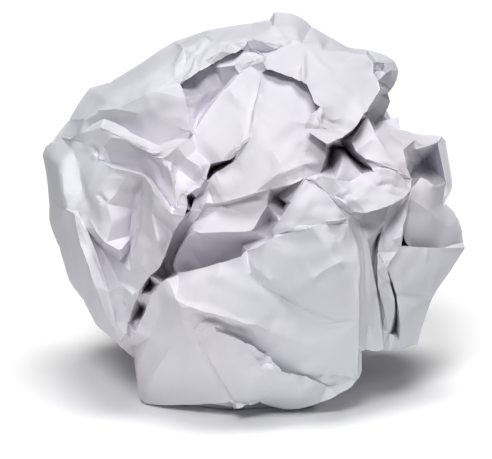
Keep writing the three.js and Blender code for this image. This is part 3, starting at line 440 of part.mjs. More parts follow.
const inner = pts.map((p, i) => p.clone().add(mitre(around[i])));

// outer face, inner face turned over, and the raw edge between them
const position = [...pts, ...inner].flatMap((p) => [p.x, p.y, p.z]);
const index = [];
const half = new Map();
const n = pts.length;
for (const [a, b, c] of panels) {
  index.push(a, b, c, n + a, n + c, n + b);
  for (const [s, t] of [[a, b], [b, c], [c, a]]) half.set(s * n + t, [s, t]);
}
for (const [s, t] of half.values())
  if (!half.has(t * n + s)) index.push(t, s, n + s, t, n + s, n + t);

const geometry = new THREE.BufferGeometry();
geometry.setAttribute('position', new THREE.Float32BufferAttribute(position, 3));
geometry.setIndex(index);
geometry.computeVertexNormals();

const ball = new THREE.Mesh(geometry, new THREE.MeshStandardMaterial({
  color: PAPER, roughness: 0.75, metalness: 0.0, flatShading: true,
}));
ball.name = 'paper_ball';

const group = new THREE.Group();
group.name = 'crumpled_paper_ball';
group.add(ball);

export default group;
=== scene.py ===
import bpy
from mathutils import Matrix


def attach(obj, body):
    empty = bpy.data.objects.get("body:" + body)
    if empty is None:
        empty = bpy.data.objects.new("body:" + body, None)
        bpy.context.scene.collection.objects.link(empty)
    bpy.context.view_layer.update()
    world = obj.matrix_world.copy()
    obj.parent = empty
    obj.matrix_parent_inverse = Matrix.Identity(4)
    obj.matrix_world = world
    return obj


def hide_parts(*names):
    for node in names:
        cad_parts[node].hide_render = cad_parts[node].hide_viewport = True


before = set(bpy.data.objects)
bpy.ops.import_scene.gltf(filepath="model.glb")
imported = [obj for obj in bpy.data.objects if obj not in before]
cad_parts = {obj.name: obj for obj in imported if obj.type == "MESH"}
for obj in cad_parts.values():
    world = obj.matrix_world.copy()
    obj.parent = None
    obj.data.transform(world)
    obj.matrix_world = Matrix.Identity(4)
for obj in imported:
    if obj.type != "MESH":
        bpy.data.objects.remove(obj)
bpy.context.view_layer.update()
import math
import bpy
import numpy as np
from mathutils import Vector

# ---------------------------------------------------------------- the sheet
# Fold points of the sheet's outer face in millimetres, the flat panels between
# them, and the folds: point, point, sharpness in tenths.
POINTS = np.array([
    4.73,1.78,79.49, 8.02,1.74,79.29, 10.71,2.52,77.95, 12.17,2.64,76.49, 16.06,1.77,74.33, 19.70,-0.35,72.35, 23.49,-2.48,72.23, 27.29,-0.67,70.74,
    29.00,0.15,69.58, 29.89,0.91,67.60, 29.06,0.25,65.21, 28.34,1.56,63.54, 27.91,4.48,62.24, 28.60,5.19,60.65, 28.04,5.86,58.85, 26.78,5.58,57.62,
    25.44,0.00,56.69, 26.99,-5.04,58.19, 29.58,-5.91,58.96, 29.92,-10.49,57.28, 32.46,-8.99,56.40, 35.07,-9.47,55.87, 38.41,-8.49,55.49, 39.29,-7.88,54.55,
    39.98,-7.79,50.60, 40.61,-8.51,46.58, 40.81,-8.95,45.00, 39.65,-10.91,43.54, 39.03,-11.33,42.17, 41.02,-9.93,40.21, 42.34,-9.30,37.98, 43.05,-8.72,35.76,
    43.33,-8.43,33.38, 43.51,-11.08,32.93, 40.31,-15.66,29.62, 36.29,-16.51,23.99, 35.07,-14.89,19.80, 34.11,-10.10,12.36, 29.82,-15.63,12.61, 27.90,-20.05,13.62,
    26.48,-21.67,14.28, 24.49,-23.13,14.48, 22.85,-23.58,15.02, 21.90,-24.63,14.89, 22.09,-21.77,9.92, 21.61,-21.67,8.21, 19.84,-21.11,6.15, 17.36,-22.46,5.08,
    13.79,-20.95,3.15, 9.77,-19.61,1.69, 6.94,-18.75,1.00, 3.67,-18.61,1.59, 1.80,-23.23,3.84, -0.62,-24.87,3.60, -3.03,-25.50,3.06, -4.45,-24.11,4.31,
    -9.54,-20.95,2.83, -14.71,-17.85,1.68, -18.90,-15.06,0.73, -22.12,-12.13,0.27, -23.46,-9.82,0.66, -23.53,-11.82,5.13, -23.36,-14.63,9.78, -24.38,-8.31,8.86,
    -27.24,-13.94,13.62, -31.85,-11.54,16.80, -34.57,-9.76,21.65, -37.65,-6.48,24.87, -39.86,-3.20,31.33, -42.09,-0.37,36.03, -42.09,0.35,39.50, -42.59,2.50,44.39,
    -43.22,3.20,47.44, -43.70,4.30,49.36, -43.02,4.08,51.10, -41.59,2.29,52.49, -39.26,-0.57,53.85, -37.78,2.38,57.12, -35.78,4.23,60.38, -34.39,5.78,62.45,
    -33.56,5.96,63.26, -29.45,3.71,64.67, -23.10,1.94,68.70, -18.94,1.67,71.65, -15.84,1.63,73.52, -12.74,1.42,74.58, -9.03,1.25,75.84, -4.51,1.79,76.60,
    -0.19,2.75,77.09, 3.72,2.92,77.90, -13.63,-11.75,73.95, -15.12,-16.04,71.76, -15.44,-18.96,69.20, -14.27,-18.79,67.98, -13.13,-25.08,66.20, -12.32,-27.03,63.17,
    -11.89,-29.36,60.42, -33.73,-10.70,59.57, -30.93,-13.05,61.61, -26.85,-17.60,62.77, -22.12,-21.25,62.78, -18.12,-23.04,61.89, -14.70,-26.20,60.46, -23.53,-20.13,64.80,
    -19.06,-22.88,67.23, -29.58,-11.46,64.39, -24.39,-14.26,67.27, -20.39,-13.80,70.02, -15.30,-26.32,57.90, -18.11,-24.53,55.78, -20.77,-21.92,56.10, -23.88,-18.75,56.93,
    -27.04,-15.24,57.92, -29.81,-12.44,58.24, -32.34,-10.75,57.53, -34.60,-10.60,56.07, -36.67,-10.18,55.28, -33.87,-14.95,57.36, -31.48,-14.44,59.30, -29.56,-16.12,60.40,
    -27.20,-19.12,60.12, -24.02,-23.53,59.29, -20.98,-25.85,58.11, -18.19,-27.52,57.23, -15.22,-28.76,58.54, -30.17,-19.42,59.26, -27.36,-23.51,58.99, -24.45,-26.82,58.49,
    -21.38,-30.15,57.42, -19.22,-31.09,56.70, -17.26,-31.90,56.76, -14.55,-31.84,57.92, -12.67,-29.30,58.84, -31.75,-17.59,54.09, -30.83,-19.66,53.56, -29.97,-20.84,52.88,
    -27.82,-20.46,52.30, -24.72,-22.88,52.26, -21.84,-25.53,52.17, -26.01,-23.75,55.63, -20.96,-27.17,54.28, -29.32,-21.03,55.93, -17.25,-32.36,55.66, -15.88,-33.25,53.67,
    -15.01,-34.37,50.16, -19.59,-27.96,51.05, -17.55,-30.89,48.76, -15.84,-33.10,46.64, -14.52,-35.45,46.25, -17.92,-30.57,52.56, -16.34,-32.05,49.30, -21.79,-29.25,49.92,
    -22.31,-26.89,47.44, -22.68,-26.14,44.08, -23.51,-26.19,39.04, -24.74,-26.15,35.19, -31.78,-21.10,50.10, -30.48,-26.40,47.74, -29.63,-27.63,47.00, -28.59,-28.90,46.06,
    -27.37,-30.52,42.61, -26.24,-28.35,48.54, -25.57,-32.48,37.36, -34.21,-22.05,42.60, -33.12,-23.87,40.35, -31.68,-22.33,37.57, -29.70,-22.65,34.78, -27.87,-24.04,32.04,
    -26.62,-25.55,29.75, -28.54,-31.26,38.68, -26.11,-26.83,33.72, -19.39,-34.28,45.41, -18.20,-36.29,40.32, -20.87,-33.01,37.58, -23.86,-28.65,32.13, -21.69,-32.71,34.51,
    -12.61,-34.50,46.45, -13.19,-34.80,44.73, -14.74,-35.03,43.20, -15.62,-32.36,40.83, -16.57,-33.45,38.48, -17.39,-32.72,35.92, -18.44,-31.27,33.57, -20.02,-31.27,32.16,
    -21.28,-29.65,29.94, -22.20,-29.20,28.41, -22.86,-28.22,26.74, -24.16,-24.69,22.77, -24.85,-25.27,20.86, -25.33,-26.10,18.81, -34.73,-23.08,42.61, -32.68,-24.92,38.96,
    -31.09,-25.69,35.48, -29.73,-26.22,31.75, -28.47,-28.17,28.16, -27.77,-27.52,24.11, -27.05,-27.06,20.31, -33.88,-25.01,37.56, -30.43,-28.31,29.00, -32.10,-27.22,34.02,
    -29.20,-26.82,23.73, -27.35,-23.92,58.36, -24.47,-26.62,57.70, -21.57,-28.39,56.30, -19.46,-30.18,55.78, -27.25,-26.95,52.55, -24.14,-30.32,52.55, -21.14,-32.47,52.30,
    -20.00,-34.38,51.44, -18.41,-36.17,49.16, -16.89,-36.37,46.74, -15.66,-35.92,45.57, -32.47,-24.30,42.27, -30.67,-28.10,40.28, -38.65,-16.43,40.98, -37.75,-15.84,37.76,
    -36.27,-18.94,33.92, -34.88,-18.44,28.84, -32.23,-20.07,23.23, -38.96,-15.34,51.01, -37.97,-18.96,45.61, -34.94,-15.49,51.04, -34.21,-18.22,46.48, -37.21,-19.11,42.78,
    -36.26,-13.23,53.68, -32.81,-16.26,55.46, -25.19,-26.51,29.17, -23.71,-28.85,27.31, -25.84,-26.21,25.83, -24.92,-25.36,23.35, -26.11,-25.83,21.42, -12.63,-20.69,69.47,
    -10.47,-20.48,70.92, -7.93,-18.82,71.77, -5.96,-18.59,72.83, -3.79,-17.46,73.76, -2.22,-13.91,74.25, -1.02,-13.58,75.71, -0.02,-10.67,76.22, -12.42,-11.90,74.58,
    -9.23,-11.24,76.09, -7.99,-14.08,75.28, -10.95,-15.68,72.91, -13.20,-13.26,71.75, -13.50,-17.51,69.98, -11.66,-19.90,71.13, -7.04,-10.21,75.35, -4.60,-14.57,75.75,
    -5.95,-19.09,74.59, -9.31,-18.58,72.53, 4.42,-7.49,78.02, 5.81,-9.20,77.23, 0.17,-13.82,75.85, 2.56,-14.34,75.42, 4.95,-13.89,75.05, 0.37,-13.04,74.03,
    1.97,-12.64,73.37, 3.27,-12.80,73.33, 4.85,-13.94,74.18, 6.34,-14.07,74.88, 7.97,-11.98,75.39, 9.76,-12.62,74.98, 8.64,-8.19,77.30, 13.60,-10.89,75.24,
    9.71,-14.93,74.20, 14.12,-13.88,73.95, 18.83,-10.85,73.22, -6.00,-14.18,72.89, -4.03,-10.93,74.04, -2.23,-10.29,74.75, -0.22,-12.00,73.54, 1.97,-13.64,72.91,
    -12.57,-15.17,69.02, -10.58,-14.76,70.77, -7.99,-14.43,71.92, -6.55,-18.95,71.29, -3.40,-17.70,71.40, -0.83,-18.10,72.26, 0.95,-17.72,72.80, -9.34,-17.80,68.22,
    -9.74,-18.19,65.48, -11.33,-18.71,62.16, -2.41,-18.49,69.93, -4.76,-21.15,67.55, -7.69,-23.27,64.72, -10.01,-25.85,61.78, -11.26,-27.22,59.45, -3.41,-16.38,69.81,
    -5.80,-16.15,66.96, -8.69,-16.43,63.79, -10.85,-18.36,60.89, -14.93,-16.58,67.03, -14.05,-20.32,65.03, -13.04,-21.73,62.07, -12.14,-23.20,59.53, -0.23,-17.90,71.43,
    1.92,-21.26,70.64, 0.04,-26.65,65.08, -3.57,-24.26,66.07, -1.03,-30.06,61.53, -1.99,-33.49,58.81, -5.89,-27.66,61.31, -2.77,-29.30,61.59, -3.92,-33.36,57.81,
    -8.00,-30.80,57.73, -2.96,-33.43,57.24, -4.12,-33.03,55.79, -5.84,-33.83,55.55, -8.20,-31.09,54.44, -8.76,-32.84,53.00, -9.33,-33.56,51.57, -10.10,-33.61,50.30,
    -11.83,-34.28,49.55, -12.89,-34.60,48.64, -10.94,-29.11,56.63, -12.82,-31.89,55.57, -10.27,-34.12,54.43, -12.06,-32.30,51.72, -14.41,-30.82,53.40, -13.76,-34.30,49.75,
    -13.95,-34.77,47.09, -4.57,-24.07,53.39, -7.16,-21.93,51.98, -8.45,-22.03,50.89, -2.57,-32.98,56.57, -3.44,-32.91,54.98, -5.09,-32.11,53.65, -7.02,-32.59,52.56,
    -8.20,-31.88,51.04, -9.27,-31.60,49.70, 1.49,-27.74,66.63, 0.71,-29.42,62.99, -0.45,-32.52,59.61, 6.38,-25.57,66.87, 7.29,-29.71,62.64, 3.01,-33.22,58.37,
    -1.42,-34.68,52.78, -5.84,-34.92,49.88, 3.39,-34.67,54.73, 3.00,-35.89,51.65, 5.86,-36.83,53.98, 9.16,-34.61,55.01, 9.92,-35.24,52.20, 7.21,-36.62,51.40,
    3.39,-35.22,50.24, 0.50,-36.20,49.65, -2.38,-35.73,48.57, -5.27,-35.11,47.66, -7.61,-33.43,46.91, -8.86,-33.47,47.02, -8.40,-31.64,49.02, 3.33,-16.95,72.29,
    6.31,-16.90,71.68, 8.88,-17.33,70.95, 11.24,-17.83,70.02, 13.01,-18.57,68.94, 13.55,-20.48,67.25, 14.50,-22.02,65.50, 15.45,-23.38,63.74, 13.81,-25.95,62.20,
    12.19,-28.00,60.97, 11.61,-28.15,60.41, 13.20,-27.13,59.83, 13.90,-27.08,58.24, 2.73,-17.83,73.22, 2.11,-21.02,72.69, 2.69,-22.79,71.57, 5.42,-23.70,70.91,
    7.78,-22.80,69.99, 9.69,-25.23,69.57, 10.77,-24.77,68.91, 11.44,-25.68,67.28, 12.34,-28.39,65.95, 13.46,-30.13,65.16, 12.09,-30.77,63.81, 10.61,-32.54,62.65,
    10.33,-32.49,61.56, 12.45,-32.59,59.82, 14.38,-32.88,58.60, 16.15,-31.70,59.27, 18.98,-28.46,60.26, 20.33,-28.56,61.66, 21.60,-25.92,63.28, 23.13,-22.61,64.61,
    24.38,-19.25,65.65, 25.54,-15.94,66.73, 25.33,-14.13,68.05, 24.36,-13.35,69.35, 24.43,-9.81,70.84, 23.05,-9.00,72.45, 9.99,-20.09,71.96, 10.99,-19.69,71.90,
    16.30,-20.32,70.01, 15.70,-26.80,65.10, 20.23,-21.14,66.16, 13.05,-31.13,63.67, 15.41,-30.03,62.50, 18.02,-27.69,62.69, 13.45,-31.22,61.14, 16.42,-29.34,60.62,
    25.41,-5.09,70.35, 26.99,-2.53,69.77, 26.64,-1.82,68.01, 25.36,-6.35,68.70, 27.19,-6.35,68.29, 27.85,-2.43,66.66, 27.03,-2.65,65.45, 28.51,-1.37,68.15,
    27.11,-5.03,64.80, 26.56,-0.76,62.87, 25.18,-0.23,60.49, 23.98,-3.66,59.82, 25.03,0.26,57.90, 21.21,-18.62,60.23, 19.62,-19.13,58.00, 18.08,-18.23,56.83,
    22.60,-22.06,61.93, 21.14,-22.24,59.56, 19.49,-24.30,57.53, 20.24,-27.55,56.14, 21.83,-27.09,54.96, 24.94,-27.67,53.78, 27.96,-26.52,52.47, 29.81,-25.56,51.18,
    31.25,-24.83,50.03, 24.26,-24.84,58.63, 26.17,-26.31,55.91, 28.34,-26.53,53.17, 27.11,-20.03,57.97, 29.67,-23.68,55.62, 30.10,-25.03,53.88, 30.40,-25.20,52.31,
    32.62,-13.96,55.86, 32.75,-14.00,54.03, 31.92,-16.14,52.29, 14.47,-27.74,56.77, 13.72,-30.23,54.87, 13.26,-29.99,52.25, 15.54,-17.81,51.89, 16.23,-14.87,54.60,
    20.07,-14.64,52.62, 22.33,-17.98,51.32, 18.69,-13.58,54.26, 17.82,-27.23,55.29, 13.31,-34.33,52.61, 15.92,-34.39,51.84, 19.03,-29.53,50.57, 21.50,-26.66,51.30,
    24.89,-28.79,52.41, 21.92,-25.44,54.15, 24.97,-27.31,53.22, 27.96,-26.63,51.89, 29.88,-24.73,50.22, 18.80,-35.16,48.95, 22.85,-31.28,49.73, 25.63,-30.36,48.45,
    28.27,-28.94,47.47, 27.89,-28.20,49.91, 15.58,-33.94,48.50, 18.20,-35.90,47.53, 19.41,-35.10,45.69, 21.90,-35.40,46.05, 24.78,-33.83,46.31, 27.72,-31.64,46.83,
    29.60,-28.05,47.08, 31.06,-25.25,47.81, 21.22,-29.61,45.61, 22.68,-27.85,46.04, 25.32,-26.09,46.48, 27.74,-25.14,46.68, 35.02,-13.18,54.39, 37.76,-9.11,54.67,
    38.81,-9.80,49.95, 39.55,-10.20,46.50, 36.10,2.48,48.64, 38.26,0.30,46.52, 33.65,-2.75,48.17, 32.08,-10.66,47.42, 34.44,-9.29,45.91, 37.29,-7.10,44.21,
    33.46,-19.14,49.11, 35.13,-18.31,48.43, 36.35,-18.27,47.20, 37.69,-14.63,45.13, 38.80,-11.42,43.02, 31.19,-26.51,46.16, 31.04,-23.70,43.15, 30.40,-23.43,40.66,
    30.39,-22.55,36.19, 33.67,-19.65,33.88, 38.20,-16.03,32.83, 35.33,-22.07,42.80, 38.91,-15.92,38.60, 29.38,-26.21,36.82, 33.38,-23.13,35.87, 38.39,-18.23,34.54,
    28.33,-27.41,35.88, 26.99,-28.70,34.37, 26.49,-29.14,33.26, 27.78,-26.50,29.98, 28.67,-25.63,26.91, 29.46,-24.99,23.46, 29.70,-23.57,19.99, 29.90,-18.51,15.51,
    35.61,-21.43,29.77, 32.67,-22.01,23.10, 32.21,-15.80,15.82, 21.30,-28.89,42.26, 23.49,-28.26,41.72, 25.79,-27.35,42.52, 24.30,-28.21,40.10, 23.39,-27.54,36.93,
    22.39,-31.23,39.17, 23.02,-31.20,35.56, 23.79,-30.43,31.35, 24.75,-28.48,26.40, 25.48,-27.01,21.52, 24.93,-22.68,37.85, 24.22,-23.65,34.20, 24.55,-24.96,29.61,
    25.57,-23.24,24.04, 26.48,-20.15,18.04, 26.03,-26.74,41.99, 25.44,-25.60,38.91, 24.83,-27.70,35.95, 24.61,-28.81,32.57, 24.98,-28.35,28.81, 25.85,-25.04,25.12,
    26.61,-24.05,21.98, 27.32,-20.36,17.89, 27.62,-24.85,41.78, 29.23,-23.92,44.21, 30.77,-25.49,46.35, 30.42,-25.52,43.34, 29.55,-26.71,40.98, 29.24,-27.41,38.91,
    27.49,-27.74,38.38, 25.89,-29.05,34.25, 30.18,-22.83,38.59, 27.22,-26.17,29.09, 28.11,-25.33,25.60, 28.43,-22.62,22.02, 27.84,-21.47,19.23, 28.10,-19.71,27.08,
    29.30,-16.71,22.78, 29.56,-14.54,18.65, 29.26,-13.99,15.97, 27.86,-19.00,17.00, 28.80,-19.65,16.65, -10.75,-30.89,47.47, -11.75,-31.93,45.05, -13.42,-30.35,42.68,
    -15.28,-27.68,39.18, -16.58,-24.78,35.48, -17.76,-23.06,32.22, -18.67,-23.15,30.50, -9.86,-32.52,45.33, -11.46,-30.87,42.49, -13.44,-26.79,38.57, -14.81,-24.53,35.42,
    -15.99,-23.40,32.50, -15.74,-24.30,30.67, -12.13,-22.20,45.26, -12.78,-25.98,43.64, -20.70,-18.02,27.08, -22.53,-14.48,20.95, -17.20,-22.42,29.60, -24.15,-21.32,20.44,
    -24.87,-17.76,16.14, -8.79,-32.54,46.03, -5.87,-33.05,46.63, -2.38,-33.71,47.50, 0.71,-33.69,48.55, 3.03,-33.88,46.71, 1.87,-34.26,45.01, -0.07,-35.70,41.97,
    -10.11,-35.49,41.62, -11.31,-33.36,41.45, -10.08,-31.49,43.82, -13.03,-31.28,39.38, -14.33,-30.47,36.59, -15.29,-29.27,33.57, -14.92,-28.11,31.90, -0.84,-33.69,44.69,
    -12.39,-23.20,30.00, -9.40,-23.22,30.61, -6.19,-24.27,31.89, -2.41,-26.74,33.90, 4.48,-25.75,46.81, 6.47,-24.82,45.21, 3.50,-26.97,42.24, -2.01,-29.72,38.03,
    0.73,-31.26,38.98, 2.68,-31.44,39.62, 10.51,-34.92,52.33, 7.41,-37.21,47.80, 5.32,-36.18,43.85, 4.00,-34.99,40.92, 7.23,-37.39,42.54, 11.09,-36.79,43.39,
    13.96,-37.09,44.15, 16.09,-36.65,44.35, 11.87,-34.75,51.32, 13.87,-35.86,49.09, 16.27,-36.30,46.53, 18.47,-34.92,44.26, 10.09,-37.47,46.88, 11.94,-35.18,52.09,
    14.21,-34.23,49.25, 16.77,-33.38,46.41, 19.12,-33.30,44.61, -9.02,-35.26,24.31, -5.89,-36.77,23.50, -2.59,-36.21,21.94, 0.53,-35.56,20.56, -21.77,-27.96,27.49,
    -21.34,-26.99,25.82, -19.87,-30.97,27.85, -18.76,-31.60,29.11, -20.24,-29.69,25.69, -21.02,-28.08,23.24, -22.38,-24.84,20.74, -23.23,-24.18,18.50, -24.36,-12.21,12.51,
    -17.92,-32.62,30.68, -16.42,-33.63,31.83, -14.40,-32.55,32.47, -12.10,-34.41,33.82, -9.17,-35.32,34.74, -6.24,-37.23,36.08, -2.38,-37.35,37.20, -1.03,-35.00,37.84,
    0.89,-37.84,39.09, 2.44,-37.01,39.89, 4.17,-36.82,40.74, 7.24,-36.99,41.86, 11.04,-38.61,43.20, 13.97,-36.90,43.51, 15.75,-35.56,43.32, 17.12,-34.99,43.39,
    16.33,-35.91,42.01, 17.71,-35.34,40.70, 18.49,-34.75,43.14, 19.25,-33.74,39.34, 19.90,-35.19,35.70, 20.53,-35.42,30.17, 20.77,-33.73,23.70, 21.01,-30.06,17.43,
    21.21,-23.28,10.14, 20.21,-31.39,41.61, 21.35,-32.95,36.57, 22.20,-33.25,29.63, 23.07,-29.42,22.16, 16.27,-38.67,35.93, 13.63,-37.71,33.92, 11.51,-37.78,32.15,
    -0.45,-37.38,33.64, 1.87,-36.64,31.07, 5.38,-35.52,28.79, 7.35,-34.36,27.29, 8.74,-33.64,25.30, 11.51,-33.03,23.52, 14.47,-32.62,22.19, 9.18,-37.71,37.09,
    14.50,-39.03,39.96, 15.44,-36.77,28.51, -7.19,-39.01,32.06, -2.38,-39.09,29.10, -11.48,-36.85,31.32, -14.61,-36.11,28.34, -12.64,-37.42,27.58, -10.10,-38.80,27.23,
    -7.20,-39.26,26.75, -4.31,-39.27,25.76, -1.42,-38.76,24.53, 0.91,-37.73,23.75, 3.06,-35.98,22.08, 3.47,-34.72,19.92, -17.76,-30.13,25.20, -20.42,-24.65,17.59,
    -20.66,-20.89,8.19, -15.89,-28.83,17.29, -12.88,-24.36,8.36, -13.64,-37.00,24.36, -11.91,-36.78,21.89, -10.79,-35.60,19.15, -9.11,-32.04,14.91, -7.18,-29.10,11.20,
    -5.44,-25.21,6.73, -9.00,-36.57,23.15, -7.05,-37.32,22.54, -4.33,-37.40,21.46, -1.42,-37.08,19.86, 1.11,-36.66,18.34, 2.50,-33.96,16.77, 4.08,-33.31,14.86,
    5.67,-32.95,13.12, 7.67,-31.43,12.18, 10.32,-28.18,10.52, 12.75,-27.34,9.34, -7.43,-37.17,23.31, -4.16,-34.37,19.83, -1.03,-33.19,17.68, 1.14,-32.09,15.94,
    1.93,-31.83,15.26, 3.72,-30.40,13.22, 5.34,-28.46,10.80, 7.55,-27.53,9.91, 10.18,-26.15,8.89, 12.64,-24.40,7.75, 9.36,-33.64,18.61, 15.68,-32.61,17.72,
    16.68,-23.79,8.82, 20.52,-23.20,9.28, 15.14,-22.09,7.01, 17.79,-21.41,6.87, 20.19,-21.84,7.78, 16.96,-21.95,7.66, -4.74,-36.04,16.65, -0.43,-32.13,11.04,
    1.97,-27.46,7.19, -0.05,-35.32,16.54, 2.11,-33.80,15.00, -1.03,-34.53,15.61, 1.33,-33.65,14.14, 3.48,-34.59,14.00, 10.16,-27.27,7.55, 3.59,-25.79,5.65,
    -17.49,-11.55,0.00, -3.73,-15.72,0.00, 12.95,-12.39,0.00, 17.96,3.46,0.00, 2.95,14.30,0.00, -15.82,9.30,0.00, 20.37,20.95,56.58, 21.93,16.39,58.74,
    25.36,12.60,61.76, 27.25,7.82,64.99, -4.69,23.72,69.96, -3.95,18.50,73.09, -1.54,12.92,74.71, 0.01,7.00,75.73, -7.97,30.78,12.88, -13.93,27.75,10.44,
    -17.53,23.16,6.71, -23.35,19.46,7.67, -26.53,13.48,7.43, -30.49,9.41,10.05, 38.78,2.45,27.11, 35.11,6.62,25.51, 31.97,11.17,25.73, 29.01,15.44,24.97,
    25.77,19.15,26.77, 22.04,22.92,27.27, 19.94,26.84,30.02, 16.12,29.94,32.62, 22.89,25.48,47.97, 17.02,26.30,48.46, 11.75,27.54,48.94, 7.44,27.02,51.61,
    2.20,27.45,51.93, -2.43,26.69,54.26, -7.99,27.65,54.18, -30.15,17.54,49.07, -25.46,20.74,48.80, -21.58,23.51,45.89, -17.61,25.80,43.06, -14.37,28.08,39.72,
    -9.67,30.92,38.24, -5.33,32.31,34.86, 36.06,16.94,17.37, 35.76,12.90,13.21, 35.45,6.79,13.67, 34.48,0.43,13.94, -35.87,7.96,19.90, -38.22,13.80,20.49,
    -39.50,15.99,25.06, -38.83,20.63,28.22, -39.70,20.37,33.68, -38.82,20.63,38.99, -17.25,8.42,70.44, -16.57,14.84,70.34, -12.53,18.55,71.26, 11.68,24.90,19.01,
    15.48,20.65,19.00, 20.52,18.79,19.69, 25.86,16.35,19.60, 10.63,15.48,64.78, 13.55,16.66,61.44, 15.49,21.07,59.34, -29.15,10.20,20.32, -24.80,13.58,19.64,
    -20.28,15.25,17.89, -16.93,18.89,15.44, 38.89,4.69,50.88, 34.81,1.79,53.21, 31.35,-3.39,54.48, 28.87,-4.56,56.51, 2.24,9.36,71.70, 5.75,10.98,68.52,
    9.95,12.97,68.33, 39.91,0.21,29.50, 39.73,2.51,32.69, 36.67,7.10,33.78, 37.92,9.70,36.99, -3.66,30.38,38.78, 0.37,28.48,35.52, 5.75,30.68,33.60,
    -2.62,39.14,41.04, 2.05,39.27,37.05, 8.15,38.83,34.97, -6.68,38.91,37.49, -1.48,38.98,32.29, 6.09,37.84,30.54, -29.11,10.99,60.90, -24.36,14.69,57.88,
    -22.02,17.94,54.08, -21.54,22.53,51.54, -42.43,8.37,44.65, -41.53,12.74,47.42, -39.29,14.45,51.40, 5.08,21.89,14.38, -0.47,21.01,15.90, -5.08,19.79,12.75,
    28.18,5.29,7.81, 27.22,11.53,6.37, 25.93,17.51,7.44, 20.72,22.03,8.67, 5.09,21.80,59.14, 2.62,17.08,59.90, -0.47,16.31,64.43, 4.35,28.79,64.31,
    1.28,25.31,67.63, -2.18,21.87,70.48, 8.78,26.85,66.24, 5.09,22.42,69.33, 0.65,19.22,72.39, -24.64,0.70,8.20, -28.17,3.13,10.45, -31.66,4.11,13.38,
    -33.72,4.81,17.28, -36.01,2.10,20.88, -37.53,0.37,24.67, -37.43,-4.28,27.84, -26.91,-1.42,12.57, -29.33,-2.33,15.78, -33.10,-3.00,17.99, 27.07,19.05,52.70,
    25.57,21.13,48.20, 26.17,21.21,43.73, 26.50,21.83,39.31, 27.95,22.08,34.81, 25.86,23.66,30.52, 21.44,0.66,10.61, 19.73,-4.09,11.25, 21.41,-8.98,11.92,
    21.63,-15.02,11.78, 21.39,-20.40,14.06, 28.28,18.47,29.44, 29.66,13.79,31.36, 34.31,11.47,33.55, 35.39,24.30,29.49, 38.97,19.40,30.76, 42.37,15.65,33.83,
    34.90,21.70,25.31, 39.83,17.33,27.62, 42.61,12.39,30.92, -40.31,3.24,32.92, -40.65,9.19,30.57, -38.88,11.73,26.37, 32.53,4.06,9.00, 32.07,10.60,8.84,
    31.37,16.20,11.66, 25.87,7.68,54.53, 30.21,11.31,53.66, 30.89,13.07,50.13, 30.78,17.91,47.92, -38.43,19.43,46.48, -37.31,24.24,42.46, -36.16,25.68,36.88,
    -33.75,28.33,31.69, -31.77,27.81,25.98, -27.14,29.22,21.47, -22.90,27.59,16.87, 15.75,33.06,26.10, 25.64,28.01,34.52, -4.77,6.90,75.05, -25.70,13.36,64.23,
    18.29,-8.90,7.76, -24.70,26.72,41.63, -9.38,33.44,19.82, -8.31,33.97,46.43, -17.04,34.68,49.01, 39.54,3.79,40.82, 18.31,12.54,4.17, -1.58,17.74,7.18,
    35.90,-4.67,21.85, 38.94,2.30,45.07, -17.24,-1.65,2.05, 34.68,7.57,52.44, 41.32,12.59,43.18, 35.80,5.92,20.35, 15.19,-3.95,5.37, 29.34,-8.50,11.76,
    36.69,-7.06,26.38, 6.29,18.79,5.23, -4.80,27.19,62.36, -6.04,36.22,26.33, 41.22,-2.74,36.89, 0.88,27.46,17.61, -19.60,30.61,35.89, 34.34,-7.39,18.31,
    -12.34,9.21,71.39, 4.88,-12.55,1.20, 21.77,9.59,65.10, 38.06,-0.57,23.34, -16.13,26.05,58.34, 15.96,33.03,41.09, 12.58,34.98,45.37, -31.38,18.56,54.65,
    26.23,17.16,55.26, 35.24,19.58,40.49, -41.46,13.81,34.34, -37.35,8.88,54.58, -34.72,13.17,58.77, 39.69,-3.91,45.74, -33.80,20.29,21.79, 39.20,-5.72,29.44,
    24.77,31.73,43.44, -0.80,37.91,47.70, 8.85,35.16,20.19, 30.01,5.26,54.92, 36.54,-13.00,25.46, -3.61,11.10,6.36, -9.34,16.91,6.05, -41.65,5.97,36.01,
    5.49,33.66,41.85, -22.46,31.80,30.27, 38.14,-2.49,52.33, -21.93,8.69,67.48, -38.58,13.97,40.71, -13.47,28.68,24.29, -20.78,3.49,5.93, 25.54,-3.49,10.43,
    22.61,2.65,70.49, 16.58,10.03,70.22, -19.42,13.35,63.86, 17.33,30.83,56.88, -27.10,-6.69,14.66, -11.96,31.75,28.83, -20.53,8.78,8.59, 39.57,-1.75,48.69,
    38.96,-3.48,41.32, 38.85,14.35,47.08, 14.06,-10.63,8.17, -11.98,20.00,63.09, 13.11,8.61,74.42, 19.16,26.73,21.91, 30.57,-2.22,12.39, 22.95,25.76,54.09,
    13.62,25.57,10.91, 10.83,31.03,60.40, 35.86,1.39,18.85, -24.64,21.58,63.04, -39.18,5.51,27.79, 14.79,18.82,5.28, 9.97,12.44,6.84, -16.96,14.32,8.09,
    21.65,17.46,67.31, 1.86,32.66,25.68, 21.85,-0.62,2.50, 40.45,4.38,36.62, 18.65,3.99,71.56, 0.31,-15.28,8.48, -2.21,34.72,19.32, 35.08,-11.12,22.53,
    22.93,33.78,36.55, 43.70,7.67,28.29, 22.56,6.31,5.59, -18.07,27.83,53.17, -24.62,4.97,66.20, -34.66,-5.06,22.44, -9.56,13.72,73.13, 38.75,21.13,35.74,
    -20.46,-2.47,8.11, 6.27,33.84,47.56, -10.25,-13.43,2.10, 24.71,-15.54,13.65, 27.77,14.25,58.28, 7.35,6.73,71.08, 40.37,9.51,47.88, -26.16,21.37,17.93,
]).reshape(-1, 3)
